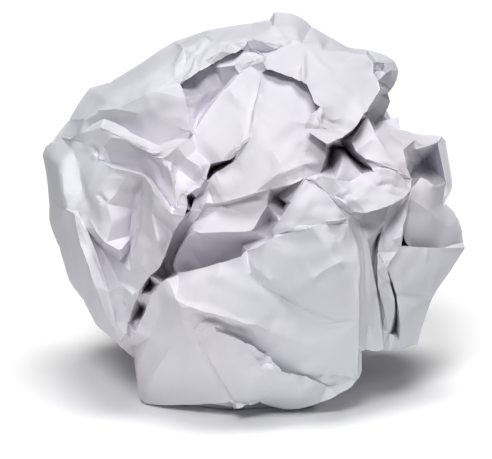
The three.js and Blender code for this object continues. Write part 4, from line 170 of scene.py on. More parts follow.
PANELS = np.array([
    214,70,69, 70,220,71, 220,219,71, 72,71,219, 73,72,219, 74,73,219, 219,75,74, 217,216,67, 224,116,76, 76,116,115, 67,216,68, 69,68,215, 214,69,215, 215,190,214,
    190,223,214, 70,214,223, 220,70,223, 221,224,219, 75,219,224, 224,76,75, 199,192,197, 191,197,192, 164,191,165, 213,212,164, 163,164,212, 118,114,117, 97,115,114, 217,67,66,
    216,217,199, 199,197,216, 68,216,215, 164,163,190, 223,190,163, 163,222,223, 220,223,222, 219,220,222, 221,219,222, 222,156,221, 224,221,133, 133,225,224, 116,224,225, 225,117,116,
    117,115,116, 115,97,77, 97,78,77, 135,141,134, 195,194,200, 193,198,194, 166,193,167, 141,135,136, 188,229,230, 196,64,189, 189,188,196, 188,230,196, 155,162,170, 139,202,201,
    202,127,201, 126,201,127, 64,196,65, 200,65,196, 195,200,196, 196,230,195, 230,229,195, 229,228,195, 194,195,228, 228,226,194, 226,168,194, 193,194,168, 167,193,168, 168,170,167,
    166,167,170, 170,162,166, 169,166,162, 158,159,161, 157,158,161, 161,205,157, 136,135,205, 205,137,136, 137,139,136, 141,136,139, 139,201,141, 125,141,201, 201,126,125, 126,120,125,
    119,125,120, 120,112,119, 113,119,112, 112,99,113, 98,113,99, 105,98,99, 218,66,65, 65,200,218, 218,200,198, 66,218,198, 217,66,198, 198,193,199, 192,199,193, 165,192,166,
    213,165,169, 169,160,213, 212,213,160, 160,159,212, 159,158,212, 163,212,158, 158,157,163, 222,163,157, 156,222,157, 157,205,156, 205,135,156, 135,134,156, 221,156,134, 133,221,134,
    134,141,133, 225,133,141, 141,125,225, 117,225,125, 118,117,125, 125,119,118, 119,113,118, 113,98,114, 97,114,98, 78,97,98, 79,78,98, 98,105,79, 80,79,105, 105,81,80,
    623,622,568, 622,621,567, 186,185,227, 620,619,565, 619,616,565, 184,615,564, 207,151,208, 59,680,60, 61,60,680, 62,61,680, 62,679,623, 622,623,679, 621,622,679, 679,620,621,
    620,565,621, 567,621,565, 187,567,565, 186,187,565, 565,616,186, 616,615,186, 185,186,615, 615,184,185, 208,151,152, 151,207,206, 207,138,206, 111,121,110, 110,100,111, 618,617,678,
    624,555,183, 182,183,555, 555,554,182, 146,149,145, 553,180,181, 560,561,581, 566,625,561, 553,181,554, 552,179,180, 147,210,211, 150,147,144, 143,150,144, 625,566,624, 555,624,566,
    554,555,566, 566,561,554, 561,560,554, 182,554,181, 181,180,172, 180,179,172, 171,172,179, 179,211,171, 211,210,171, 209,171,210, 146,209,210, 210,147,146, 147,150,146, 149,146,150,
    150,143,149, 143,142,149, 204,149,142, 142,130,204, 129,204,130, 123,129,130, 130,124,123, 109,123,124, 124,108,109, 101,109,108, 107,104,92, 680,59,58, 62,680,681, 679,62,681,
    620,679,678, 619,620,678, 678,617,619, 616,619,617, 615,616,617, 564,615,617, 617,618,564, 618,624,564, 624,183,564, 184,564,183, 174,184,183, 175,174,183, 183,182,175, 173,175,182,
    182,181,173, 181,172,173, 154,173,172, 172,171,154, 153,154,171, 152,153,171, 171,209,152, 208,152,209, 209,146,208, 146,145,208, 207,208,145, 138,207,145, 140,138,145, 145,149,140,
    149,204,140, 203,140,204, 204,129,203, 128,203,129, 122,128,129, 129,123,122, 110,122,109, 109,101,110, 100,110,101, 101,104,100, 103,100,104, 106,103,104, 104,107,106, 82,106,107,
    107,83,82, 63,623,64, 623,568,64, 189,64,568, 188,189,568, 568,622,188, 622,567,188, 567,187,188, 229,188,187, 187,186,229, 186,227,229, 228,229,227, 226,228,227, 227,185,226,
    185,184,226, 184,174,226, 168,226,174, 170,168,174, 155,170,174, 174,175,155, 175,173,155, 173,154,155, 162,155,154, 169,162,154, 160,169,154, 154,153,160, 159,160,153, 161,159,153,
    153,152,161, 152,151,161, 151,206,161, 205,161,206, 137,205,206, 206,138,137, 138,140,137, 140,203,137, 139,137,203, 202,139,203, 203,128,202, 127,202,128, 128,122,127, 127,122,121,
    126,127,121, 120,126,121, 112,120,111, 111,100,112, 99,112,100, 100,103,99, 103,106,99, 105,99,106, 81,105,106, 106,82,81, 551,178,552, 551,177,178, 313,176,562, 562,312,313,
    292,94,95, 669,683,670, 582,626,627, 627,584,582, 559,580,579, 558,559,579, 148,177,176, 320,148,176, 176,313,320, 319,320,313, 313,312,319, 312,317,319, 317,315,318, 131,318,315,
    315,132,131, 96,102,108, 291,93,94, 94,292,291, 292,272,291, 272,231,291, 93,291,231, 244,93,231, 91,244,243, 90,91,243, 239,85,90, 576,578,577, 550,557,556, 556,549,550,
    285,290,286, 281,293,290, 232,242,245, 323,308,309, 350,328,329, 310,329,328, 328,323,310, 556,578,569, 569,349,556, 549,556,349, 349,350,549, 350,329,549, 311,549,329, 329,310,311,
    310,309,316, 309,308,316, 314,316,308, 308,304,314, 286,314,304, 285,286,304, 281,290,289, 289,280,281, 232,273,233, 233,249,232, 242,232,249, 682,57,56, 686,685,682, 685,689,684,
    689,611,684, 683,684,611, 611,671,683, 670,683,671, 671,668,670, 669,670,668, 626,669,668, 627,626,668, 668,628,627, 584,627,628, 628,585,584, 580,584,585, 579,580,585, 585,576,579,
    576,577,579, 558,579,577, 551,558,557, 563,177,550, 176,563,550, 562,176,550, 550,549,562, 312,562,549, 549,311,312, 317,312,311, 311,310,317, 310,316,317, 315,317,316, 316,314,315,
    132,315,314, 314,286,132, 96,132,286, 286,294,96, 102,96,95, 95,294,293, 292,95,293, 293,281,292, 281,280,292, 272,292,280, 280,279,272, 279,273,272, 273,232,272, 244,231,245,
    243,244,245, 245,242,243, 90,243,242, 239,90,242, 242,240,239, 85,239,240, 240,86,85, 700,690,701, 248,246,241, 321,326,325, 283,288,284, 288,283,287, 276,268,267, 718,691,690,
    691,701,690, 612,701,613, 672,612,673, 348,570,347, 337,348,347, 327,337,326, 322,327,326, 307,322,321, 321,306,307, 306,303,307, 284,301,298, 275,274,288, 288,287,275, 287,276,275,
    276,267,275, 267,234,233, 267,268,234, 268,235,234, 248,234,235, 235,247,248, 246,248,247, 247,87,246, 613,702,614, 587,630,631, 631,591,587, 305,324,332, 300,299,302, 277,295,278,
    270,277,278, 270,278,271, 692,723,721, 721,693,692, 702,692,703, 614,675,674, 667,674,675, 631,630,656, 656,632,631, 632,592,631, 591,631,592, 592,575,591, 575,583,570, 571,583,572,
    346,571,572, 572,345,346, 336,346,345, 299,300,332, 332,331,299, 331,297,299, 302,299,297, 295,277,282, 277,270,269, 236,269,270, 237,236,270, 270,255,237, 255,252,237, 252,238,237,
    238,88,87, 55,54,53, 53,719,55, 688,55,719, 687,688,719, 718,687,719, 719,723,718, 723,692,718, 691,718,692, 692,702,691, 701,691,702, 613,674,673, 674,667,673, 672,673,667,
    666,672,667, 667,656,666, 629,666,656, 656,630,629, 630,587,629, 586,629,587, 587,591,586, 583,571,570, 347,570,571, 571,346,347, 337,347,346, 346,336,337, 326,337,336, 325,326,336,
    336,324,325, 306,321,305, 303,306,305, 305,300,303, 300,302,303, 301,303,302, 298,301,302, 302,297,298, 283,298,282, 287,283,282, 276,287,282, 282,277,276, 268,276,277, 277,269,268,
    235,268,269, 269,236,235, 247,235,236, 236,237,247, 55,688,56, 688,687,56, 682,56,687, 686,682,687, 687,718,686, 718,690,686, 685,686,690, 689,685,690, 690,700,689, 611,689,700,
    700,612,611, 671,611,672, 672,666,671, 668,671,666, 628,668,666, 666,629,628, 585,628,629, 629,586,585, 576,585,586, 586,591,576, 578,576,570, 569,578,570, 570,348,569, 349,569,348,
    350,349,348, 348,337,350, 328,350,337, 337,327,328, 323,328,327, 327,322,323, 308,323,322, 322,307,308, 304,308,307, 307,303,304, 303,301,304, 285,304,301, 301,284,285, 289,285,284,
    280,289,288, 279,280,288, 288,274,279, 273,279,274, 233,273,274, 234,248,233, 249,233,248, 248,241,249, 242,249,241, 240,242,241, 241,246,240, 86,240,246, 246,87,86, 57,682,58,
    680,58,682, 681,680,682, 682,685,681, 685,684,681, 684,683,681, 679,681,683, 678,679,683, 683,669,678, 618,678,669, 624,618,669, 625,624,669, 669,626,625, 561,625,626, 626,582,561,
    581,561,582, 582,584,581, 584,580,581, 560,581,580, 580,559,560, 553,560,559, 180,553,552, 559,558,552, 179,552,178, 211,179,178, 178,177,211, 177,148,211, 147,211,148, 144,147,148,
    320,319,144, 319,317,144, 317,318,144, 143,144,318, 142,143,318, 318,131,142, 130,142,131, 124,130,131, 131,132,124, 101,108,102, 102,95,101, 95,94,101, 104,101,94, 94,93,104,
    92,104,93, 93,244,92, 244,91,92, 107,92,91, 83,107,91, 84,83,91, 91,90,84, 90,85,84, 366,364,365, 296,330,351, 351,366,296, 366,365,296, 365,364,271, 256,271,364,
    597,596,590, 250,0,89, 51,727,52, 720,52,727, 722,724,725, 725,695,722, 694,722,695, 704,694,705, 705,677,704, 703,704,677, 593,633,634, 634,597,593, 597,590,593, 573,574,590,
    590,596,573, 588,344,573, 351,330,352, 258,257,364, 256,364,257, 253,256,257, 257,258,253, 258,254,253, 254,250,253, 706,696,697, 697,707,706, 353,368,367, 251,259,260, 260,262,251,
    262,1,251, 376,375,360, 342,594,341, 376,360,361, 355,370,354, 369,354,370, 370,391,369, 390,369,391, 264,390,391, 49,726,50, 726,698,697, 698,708,697, 707,697,708, 708,710,707,
    706,707,710, 595,598,606, 342,343,588, 340,343,342, 342,341,340, 361,360,334, 353,333,354, 368,353,354, 354,369,368, 369,390,368, 367,368,390, 259,367,390, 390,264,259, 260,259,264,
    264,261,260, 262,260,261, 1,262,2, 727,51,50, 50,726,727, 726,697,727, 697,696,727, 720,727,696, 725,720,696, 695,725,696, 696,706,695, 705,695,706, 706,710,705, 677,705,710,
    676,677,710, 710,660,676, 660,659,676, 658,676,659, 657,658,663, 633,657,663, 634,633,663, 663,635,634, 597,634,635, 635,598,597, 596,597,598, 598,595,596, 595,589,596, 573,596,589,
    588,573,589, 344,588,343, 339,344,343, 343,340,339, 338,339,340, 335,338,340, 340,341,335, 341,361,335, 361,334,335, 334,333,330, 352,330,333, 333,353,352, 353,367,352, 351,352,367,
    366,351,367, 364,366,367, 258,364,259, 254,258,259, 259,251,254, 250,254,251, 251,1,250, 0,250,1, 374,358,359, 357,359,358, 358,372,357, 356,357,372, 371,356,372, 435,438,439,
    378,435,439, 604,609,603, 438,435,436, 363,436,435, 435,378,363, 699,48,714, 709,699,714, 662,665,661, 655,661,665, 665,654,655, 664,637,636, 599,636,637, 637,600,599, 603,608,602,
    607,602,608, 437,607,444, 444,438,437, 438,436,437, 436,363,362, 377,362,363, 363,378,377, 378,398,377, 395,374,398, 398,396,395, 396,373,395, 358,374,373, 372,358,373, 265,4,263,
    3,263,4, 638,640,639, 601,638,639, 442,415,379, 379,415,380, 466,460,610, 715,47,46, 46,716,715, 712,717,713, 645,644,653, 644,643,653, 641,643,642, 640,641,642, 639,640,642,
    642,605,639, 601,639,605, 604,601,605, 609,604,605, 605,610,609, 459,609,610, 610,460,459, 460,453,459, 453,446,445, 443,445,446, 443,446,447, 442,443,440, 440,419,442, 419,418,442,
    415,442,418, 418,414,415, 414,380,415, 397,399,380, 380,381,397, 393,397,394, 392,393,394, 714,48,47, 47,715,714, 709,714,717, 711,709,712, 712,713,711, 713,648,711, 645,653,665,
    654,665,653, 664,654,653, 653,643,664, 643,641,664, 641,640,664, 637,664,640, 640,638,637, 600,637,638, 638,601,600, 601,604,600, 603,600,604, 609,459,458, 459,453,458, 453,445,458,
    608,458,445, 444,608,445, 438,444,445, 445,443,438, 439,438,443, 443,442,439, 442,379,439, 378,439,379, 398,378,379, 379,399,398, 396,398,399, 399,397,396, 397,393,396, 373,396,393,
    372,373,393, 371,372,393, 393,392,371, 392,266,265, 4,265,266, 266,5,4, 726,49,48, 48,699,726, 698,726,699, 699,709,698, 708,698,709, 709,711,708, 710,708,711, 711,662,710,
    662,661,710, 660,710,661, 661,655,660, 659,660,655, 658,659,655, 663,658,655, 655,654,663, 654,664,663, 664,636,663, 635,663,636, 598,635,636, 636,599,598, 606,598,599, 599,600,606,
    600,603,606, 603,602,606, 594,342,595, 602,607,594, 607,437,594, 341,594,437, 437,436,341, 436,362,341, 361,341,362, 376,361,362, 362,377,376, 377,398,376, 375,376,398, 398,374,375,
    374,359,375, 360,375,359, 334,360,359, 359,357,334, 357,356,334, 333,334,356, 354,333,356, 355,354,356, 356,371,355, 370,355,371, 371,392,370, 391,370,392, 392,265,391, 264,391,265,
    265,263,264, 261,264,263, 263,3,261, 262,261,3, 2,262,3, 647,43,42, 413,417,416, 382,413,416, 513,514,518, 511,513,518, 383,411,410, 410,384,383, 387,403,388, 403,400,388,
    647,42,652, 646,647,652, 651,646,652, 651,515,514, 512,650,513, 510,508,512, 467,507,508, 416,417,425, 16,412,416, 412,411,416, 382,416,411, 411,383,382, 387,388,389, 388,400,389,
    6,389,400, 547,542,529, 408,12,11, 406,408,11, 405,407,404, 401,404,407, 39,547,40, 547,529,40, 520,516,521, 527,520,528, 526,527,540, 498,497,537, 524,537,497, 14,13,409,
    13,12,409, 12,408,409, 385,409,408, 408,406,385, 386,385,406, 406,405,386, 405,404,386, 402,386,404, 404,401,402, 40,521,516, 515,652,516, 498,537,525, 518,525,524, 511,518,517,
    512,511,510, 508,510,509, 509,468,508, 467,508,468, 468,462,467, 461,467,462, 454,461,462, 462,455,454, 455,448,454, 447,454,448, 441,447,448, 450,421,449, 420,449,421, 421,426,420,
    425,420,426, 426,428,425, 428,17,425, 16,425,17, 412,16,15, 411,412,15, 410,411,15, 15,14,410, 14,409,410, 384,410,409, 409,385,384, 385,386,384, 403,387,386, 386,402,403,
    400,403,402, 402,401,400, 401,7,400, 6,400,7, 540,541,544, 486,533,487, 534,535,538, 538,487,534, 464,531,532, 532,465,464, 546,548,503, 546,503,502, 502,501,545, 541,545,544,
    536,496,493, 493,535,536, 535,534,536, 530,536,534, 530,534,533, 533,531,530, 469,530,531, 463,469,464, 456,463,464, 457,456,464, 464,465,457, 465,452,457, 451,457,452, 452,423,451,
    422,451,423, 427,422,423, 423,431,427, 431,430,427, 430,429,427, 478,480,481, 36,35,505, 477,424,480, 480,478,477, 476,477,478, 478,474,476, 434,476,474, 433,434,474, 474,470,433,
    432,433,470, 470,21,432, 20,432,21, 25,473,26, 34,33,495, 33,32,495, 490,495,32, 32,31,490, 492,490,31, 31,30,492, 30,29,492, 28,492,29, 484,28,27, 483,484,473,
    482,483,473, 472,475,473, 473,25,472, 25,24,472, 471,472,24, 24,23,471, 22,471,23, 504,35,34, 34,495,504, 494,504,495, 490,492,489, 491,489,492, 492,28,491, 28,484,491,
    484,483,491, 483,482,491, 485,491,482, 479,481,482, 482,473,479, 473,475,479, 481,479,478, 474,478,475, 475,472,474, 472,471,474, 470,474,471, 21,470,471, 471,22,21, 503,38,37,
    506,503,37, 37,36,506, 502,506,36, 36,505,502, 501,502,505, 500,544,501, 505,35,500, 35,504,500, 499,500,504, 496,499,504, 504,494,496, 493,496,494, 538,488,489, 487,538,489,
    489,491,487, 486,487,491, 491,485,486, 531,533,532, 465,532,485, 485,482,465, 482,481,465, 481,480,465, 480,424,465, 452,465,424, 423,452,424, 424,477,431, 477,476,431, 476,434,431,
    430,431,434, 429,430,434, 434,433,429, 433,432,429, 432,20,429, 19,429,20, 38,503,39, 503,548,39, 547,39,548, 548,546,547, 542,547,546, 542,546,545, 528,542,541, 527,528,541,
    541,540,527, 540,544,543, 500,499,543, 525,519,526, 498,525,539, 497,498,499, 499,496,497, 524,497,496, 496,536,524, 517,524,523, 536,530,523, 522,523,530, 509,522,530, 468,509,469,
    462,468,469, 469,463,462, 455,462,463, 463,456,455, 456,457,455, 448,455,457, 457,451,448, 450,448,451, 421,450,422, 422,427,421, 426,421,427, 427,429,426, 428,426,429, 429,19,428,
    17,428,19, 19,18,17, 406,11,10, 405,406,10, 10,9,405, 407,405,9, 9,8,407, 401,407,8, 7,401,8, 716,46,45, 713,716,45, 648,713,45, 45,44,648, 44,43,648,
    711,648,647, 647,646,711, 662,711,646, 665,662,646, 645,665,646, 646,651,645, 644,645,651, 643,644,650, 649,643,650, 649,512,507, 605,642,649, 610,605,507, 466,610,507, 507,467,466,
    467,461,466, 460,466,461, 453,460,461, 461,454,453, 446,453,454, 454,447,446, 447,441,440, 441,449,440, 449,420,440, 419,440,420, 420,425,419, 418,419,425, 425,417,418, 414,418,417,
    380,414,381, 413,382,381, 394,397,382, 382,383,394, 383,384,394, 384,386,394, 386,387,394, 392,394,387, 387,389,392, 266,392,389, 5,266,389, 389,6,5, 52,720,53, 719,53,720,
    720,725,719, 725,724,719, 723,719,724, 721,723,724, 724,722,721, 722,694,721, 693,721,694, 694,704,693, 704,703,693, 692,693,703, 703,677,614, 677,676,614, 675,614,676, 676,658,675,
    658,657,675, 667,675,657, 656,667,657, 632,656,657, 657,633,632, 592,632,633, 633,593,592, 575,592,593, 593,590,575, 590,574,575, 583,575,574, 572,583,574, 574,573,572, 573,344,572,
    345,572,344, 344,339,345, 336,345,339, 339,338,336, 324,336,338, 338,335,324, 332,324,335, 331,332,335, 335,334,331, 334,330,331, 297,331,330, 298,297,282, 295,282,296, 296,365,295,
    278,295,365, 365,271,278, 256,253,255, 252,255,253, 238,252,253, 253,250,238, 88,238,250, 250,89,88, 96,294,95, 77,76,115, 115,117,114, 114,118,113, 108,124,96, 121,111,120,
    122,110,121, 123,109,122, 132,96,124, 148,320,144, 165,213,164, 166,169,165, 563,176,177, 191,164,190, 190,215,197, 192,165,191, 193,166,192, 197,191,190, 199,217,198, 200,194,198,
    216,197,215, 232,245,231, 231,272,232, 237,238,247, 87,247,238, 367,259,364, 374,395,373, 399,379,380, 397,381,382, 271,256,255, 255,270,271, 274,275,267, 233,274,267, 298,283,284,
    294,290,293, 330,296,297, 296,282,297, 300,305,332, 324,305,325, 321,325,305, 326,321,322, 323,309,310, 557,550,551, 177,551,550, 558,551,552, 553,559,552, 560,553,554, 578,556,557,
    577,557,558, 557,577,578, 417,413,414, 413,381,414, 425,16,416, 431,423,424, 440,443,447, 449,441,448, 448,450,449, 451,422,450, 608,444,607, 458,608,609, 608,603,609, 531,464,469,
    27,26,473, 484,27,473, 479,475,478, 501,505,500, 503,506,502, 512,508,507, 513,511,512, 519,514,515, 516,520,515, 42,41,652, 41,40,516, 516,652,41, 510,517,509, 511,517,510,
    530,469,509, 517,523,522, 522,509,517, 524,517,518, 519,525,518, 514,519,518, 520,527,526, 526,519,520, 515,520,519, 521,529,528, 528,520,521, 524,536,523, 537,524,525, 526,539,525,
    529,542,528, 521,40,529, 486,485,532, 533,486,532, 487,533,534, 535,493,538, 539,543,498, 543,539,540, 539,526,540, 545,541,542, 543,499,498, 544,500,543, 545,501,544, 546,502,545,
    595,606,602, 602,594,595, 589,595,588, 595,342,588, 591,575,576, 570,576,575, 643,649,642, 43,647,648, 649,507,605, 650,512,649, 514,513,650, 651,514,650, 650,644,651, 652,515,651,
    695,705,694, 715,717,714, 612,700,701, 702,613,701, 614,702,703, 717,712,709, 717,715,716, 716,713,717, 623,63,62, 612,672,611, 673,612,613, 674,613,614, 284,288,289, 290,285,289,
    294,286,290, 35,932,34, 33,34,927, 32,33,927, 31,32,908, 30,31,908, 29,30,908, 908,952,29, 28,29,952, 27,28,952, 26,27,952, 952,925,26, 25,26,925, 24,25,925,
    971,802,803, 975,36,911, 911,896,975, 904,975,896, 896,915,904, 990,794,897, 951,897,794, 938,951,794, 794,795,938, 796,938,795, 36,975,35, 932,35,975, 975,904,932, 34,932,904,
    927,34,904, 904,915,927, 915,748,927, 748,801,927, 32,927,801, 801,802,32, 908,32,802, 802,971,908, 952,908,971, 971,893,952, 893,897,952, 925,952,897, 897,951,925, 24,925,951,
    951,938,24, 23,24,938, 22,23,938, 938,796,22, 21,22,796, 20,21,796, 796,797,20, 19,20,797, 797,18,19, 860,863,804, 14,15,873, 42,43,857, 41,42,857, 857,987,41,
    40,41,987, 39,40,987, 38,39,987, 987,903,38, 37,38,903, 903,958,37, 958,773,37, 773,772,962, 901,962,772, 749,901,750, 977,749,750, 750,865,977, 866,977,865, 865,859,866,
    860,866,859, 859,862,860, 863,860,862, 862,983,863, 804,863,983, 900,804,983, 983,921,900, 953,900,921, 899,953,875, 875,874,899, 931,899,874, 874,873,931, 873,15,931, 16,931,15,
    12,9,11, 10,11,9, 911,36,37, 37,773,911, 773,962,911, 896,911,962, 915,896,962, 962,901,915, 901,749,915, 748,915,749, 749,977,748, 801,748,977, 802,801,977, 803,802,977,
    977,866,803, 866,860,803, 860,804,803, 971,803,804, 893,971,804, 804,900,893, 897,893,900, 990,897,900, 900,953,990, 953,899,990, 794,990,899, 795,794,899, 899,931,795, 796,795,931,
    797,796,931, 931,16,797, 18,797,16, 17,18,16, 856,44,45, 888,970,854, 853,854,970, 970,978,853, 824,853,978, 978,825,824, 848,849,756, 856,45,46, 46,888,856, 855,856,888,
    888,854,855, 943,855,854, 854,853,943, 853,824,943, 870,943,824, 871,870,824, 824,825,871, 771,871,872, 872,786,771, 770,771,786, 751,770,786, 786,752,751, 864,751,752, 858,864,752,
    752,852,858, 861,858,852, 851,861,852, 852,885,851, 885,850,851, 849,848,876, 847,876,848, 988,920,735, 736,988,735, 737,736,914, 944,737,914, 914,972,944, 972,5,944, 6,944,5,
    894,827,826, 785,826,827, 827,784,785, 784,957,785, 753,785,957, 754,753,957, 789,788,968, 945,968,788, 730,49,50, 758,759,947, 759,961,947, 800,989,956, 3,956,989, 2,3,989,
    989,1,2, 49,730,48, 954,48,730, 902,954,730, 894,731,966, 966,965,894, 827,894,965, 965,960,827, 784,827,960, 960,783,784, 957,784,783, 783,884,957, 754,957,884, 884,755,754,
    976,754,755, 755,917,976, 928,976,917, 757,928,917, 917,918,757, 918,758,757, 758,947,757, 959,757,947, 734,959,947, 789,734,947, 947,961,789, 961,834,789, 788,789,834, 834,787,788,
    945,788,787, 787,800,945, 800,956,945, 4,945,956, 956,3,4, 48,954,47, 46,47,954, 888,46,954, 954,902,888, 970,888,902, 902,731,970, 978,970,731, 731,894,978, 825,978,894,
    894,826,825, 871,825,826, 872,871,826, 826,785,872, 786,872,785, 752,786,785, 785,753,752, 852,752,753, 753,754,852, 885,852,754, 754,976,885, 976,928,885, 850,885,928, 849,850,928,
    756,849,928, 928,757,756, 757,959,756, 848,756,959, 847,848,959, 920,847,959, 959,734,920, 735,920,734, 734,789,735, 789,968,735, 736,735,968, 914,736,968, 968,945,914, 972,914,945,
    945,4,972, 5,972,4, 857,43,44, 44,856,857, 987,857,856, 856,855,987, 903,987,855, 855,943,903, 958,903,943, 943,870,958, 773,958,870, 772,773,870, 870,871,772, 871,771,772,
    901,772,771, 771,770,901, 750,901,770, 770,751,750, 865,750,751, 751,864,865, 859,865,864, 864,858,859, 862,859,858, 858,861,862, 983,862,861, 861,851,983, 851,850,983, 921,983,850,
    850,849,921, 849,876,921, 953,921,876, 875,953,876, 876,847,875, 874,875,847, 847,920,874, 920,988,874, 873,874,988, 14,873,988, 988,736,14, 736,737,14, 13,14,737, 12,13,737,
    9,12,737, 8,9,737, 7,8,737, 737,944,7, 944,6,7, 810,807,809, 809,936,810, 830,832,833, 833,739,830, 836,830,739, 739,740,836, 53,973,52, 51,52,973, 913,51,973,
    933,895,732, 905,732,895, 821,905,895, 895,822,821, 822,909,821, 909,974,930, 974,969,930, 813,930,969, 969,812,813, 812,806,813, 807,813,806, 809,807,806, 806,805,809, 805,808,809,
    936,809,808, 808,929,936, 985,936,929, 760,985,929, 929,761,760, 831,760,761, 828,831,832, 829,828,832, 832,830,829, 830,836,829, 835,829,836, 799,835,836, 798,799,836, 836,740,798,
    740,741,798, 89,798,741, 741,88,89, 743,941,890, 941,949,890, 729,54,55, 742,823,743, 743,890,742, 890,949,907, 769,907,949, 949,768,769, 811,769,768, 87,886,86, 986,56,57,
    744,967,745, 745,793,744, 910,766,767, 892,767,766, 782,955,781, 912,782,781, 729,55,56, 56,986,729, 733,967,934, 967,744,934, 823,934,744, 743,823,744, 744,793,743, 793,883,743,
    941,743,883, 949,941,937, 937,910,949, 768,949,910, 910,767,768, 891,768,767, 767,892,891, 762,891,892, 892,979,762, 979,916,762, 906,762,916, 916,955,906, 738,906,955, 955,782,738,
    782,912,982, 886,982,912, 86,886,912, 912,85,86, 973,53,54, 54,729,973, 913,973,729, 729,728,733, 733,934,933, 895,933,934, 934,823,895, 822,895,823, 823,742,822, 909,822,742,
    974,909,742, 742,890,974, 890,907,974, 969,974,907, 812,969,907, 907,769,812, 806,812,811, 805,806,811, 811,768,805, 768,891,805, 808,805,891, 929,808,891, 761,929,891, 891,762,761,
    762,906,761, 831,761,906, 832,831,906, 906,738,832, 833,832,738, 739,833,738, 738,782,739, 782,982,739, 740,739,982, 982,886,740, 741,740,886, 88,741,886, 886,87,88, 728,58,59,
    59,60,728, 84,780,83, 62,63,61, 63,844,837, 838,837,844, 791,747,790, 878,763,764, 763,919,764, 887,815,814, 939,887,980, 980,82,939, 61,63,60, 984,60,63, 63,837,984,
    942,984,837, 950,942,837, 837,838,950, 838,747,950, 746,950,747, 747,791,746, 792,746,791, 991,792,791, 791,926,991, 882,991,926, 881,882,926, 926,777,881, 880,881,777, 889,880,879,
    879,878,889, 765,889,878, 878,764,765, 817,765,764, 816,817,764, 764,919,816, 919,815,816, 963,816,815, 815,887,963, 946,963,887, 887,939,946, 780,946,939, 83,780,939, 939,82,83,
    774,840,841, 775,774,869, 776,775,869, 779,778,922, 922,940,779, 877,779,940, 940,819,877, 819,820,877, 820,923,924, 868,964,867, 867,935,868, 843,67,68, 846,65,66, 981,846,66,
    66,67,981, 842,981,67, 67,843,842, 964,842,843, 843,68,964, 867,964,68, 68,69,867, 935,867,69, 69,70,935, 70,71,935, 818,935,71, 71,72,818, 72,73,818, 75,76,77,
    948,64,65, 845,948,65, 65,846,845, 839,845,846, 840,839,846, 841,840,846, 846,981,841, 981,842,841, 774,841,842, 842,964,774, 869,774,964, 964,868,869, 776,869,868, 868,935,922,
    940,922,935, 935,818,940, 819,940,818, 818,73,819, 73,74,819, 820,819,74, 923,820,74, 74,75,923, 75,77,923, 77,78,923, 924,923,78, 79,924,78, 64,948,63, 844,63,948,
    948,845,844, 845,839,844, 838,844,839, 747,838,839, 790,747,839, 839,840,790, 840,774,790, 774,775,790, 791,790,775, 926,791,775, 775,776,926, 777,926,776, 776,868,777, 868,922,777,
    922,778,777, 880,777,778, 879,880,778, 778,779,879, 878,879,779, 779,877,878, 763,878,877, 877,820,763, 919,763,820, 820,924,919, 815,919,924, 814,815,924, 924,79,814, 79,80,814,
    80,81,814, 887,814,81, 980,887,81, 82,980,81, 58,728,57, 986,57,728, 728,60,898, 60,984,898, 984,942,898, 733,898,942, 942,950,733, 967,733,950, 950,746,967, 745,967,746,
    746,792,745, 793,745,792, 792,991,793, 883,793,991, 991,882,883, 941,883,882, 937,941,882, 882,881,937, 881,880,937, 910,937,880, 880,889,910, 766,910,889, 889,765,766, 892,766,765,
    979,892,765, 765,817,979, 916,979,817, 817,816,916, 816,963,916, 955,916,963, 963,946,955, 781,955,946, 946,780,781, 912,781,780, 780,84,912, 85,912,84, 51,913,50, 730,50,913,
    966,731,732, 732,905,966, 965,966,905, 960,965,905, 905,821,960, 783,960,821, 821,909,783, 909,930,783, 884,783,930, 930,813,884, 813,807,884, 755,884,807, 807,810,755, 917,755,810,
    810,936,917, 918,917,936, 936,985,918, 758,918,985, 759,758,985, 985,760,759, 961,759,760, 760,831,961, 831,828,961, 834,961,828, 828,829,834, 829,835,834, 787,834,835, 800,787,835,
    835,799,800, 989,800,799, 799,798,989, 798,89,989, 89,0,989, 1,989,0, 729,986,728, 913,729,730, 731,902,730, 730,729,732, 732,731,730, 933,732,733, 732,729,733, 898,733,728,
    769,811,812,
], dtype=np.int64).reshape(-1, 3)
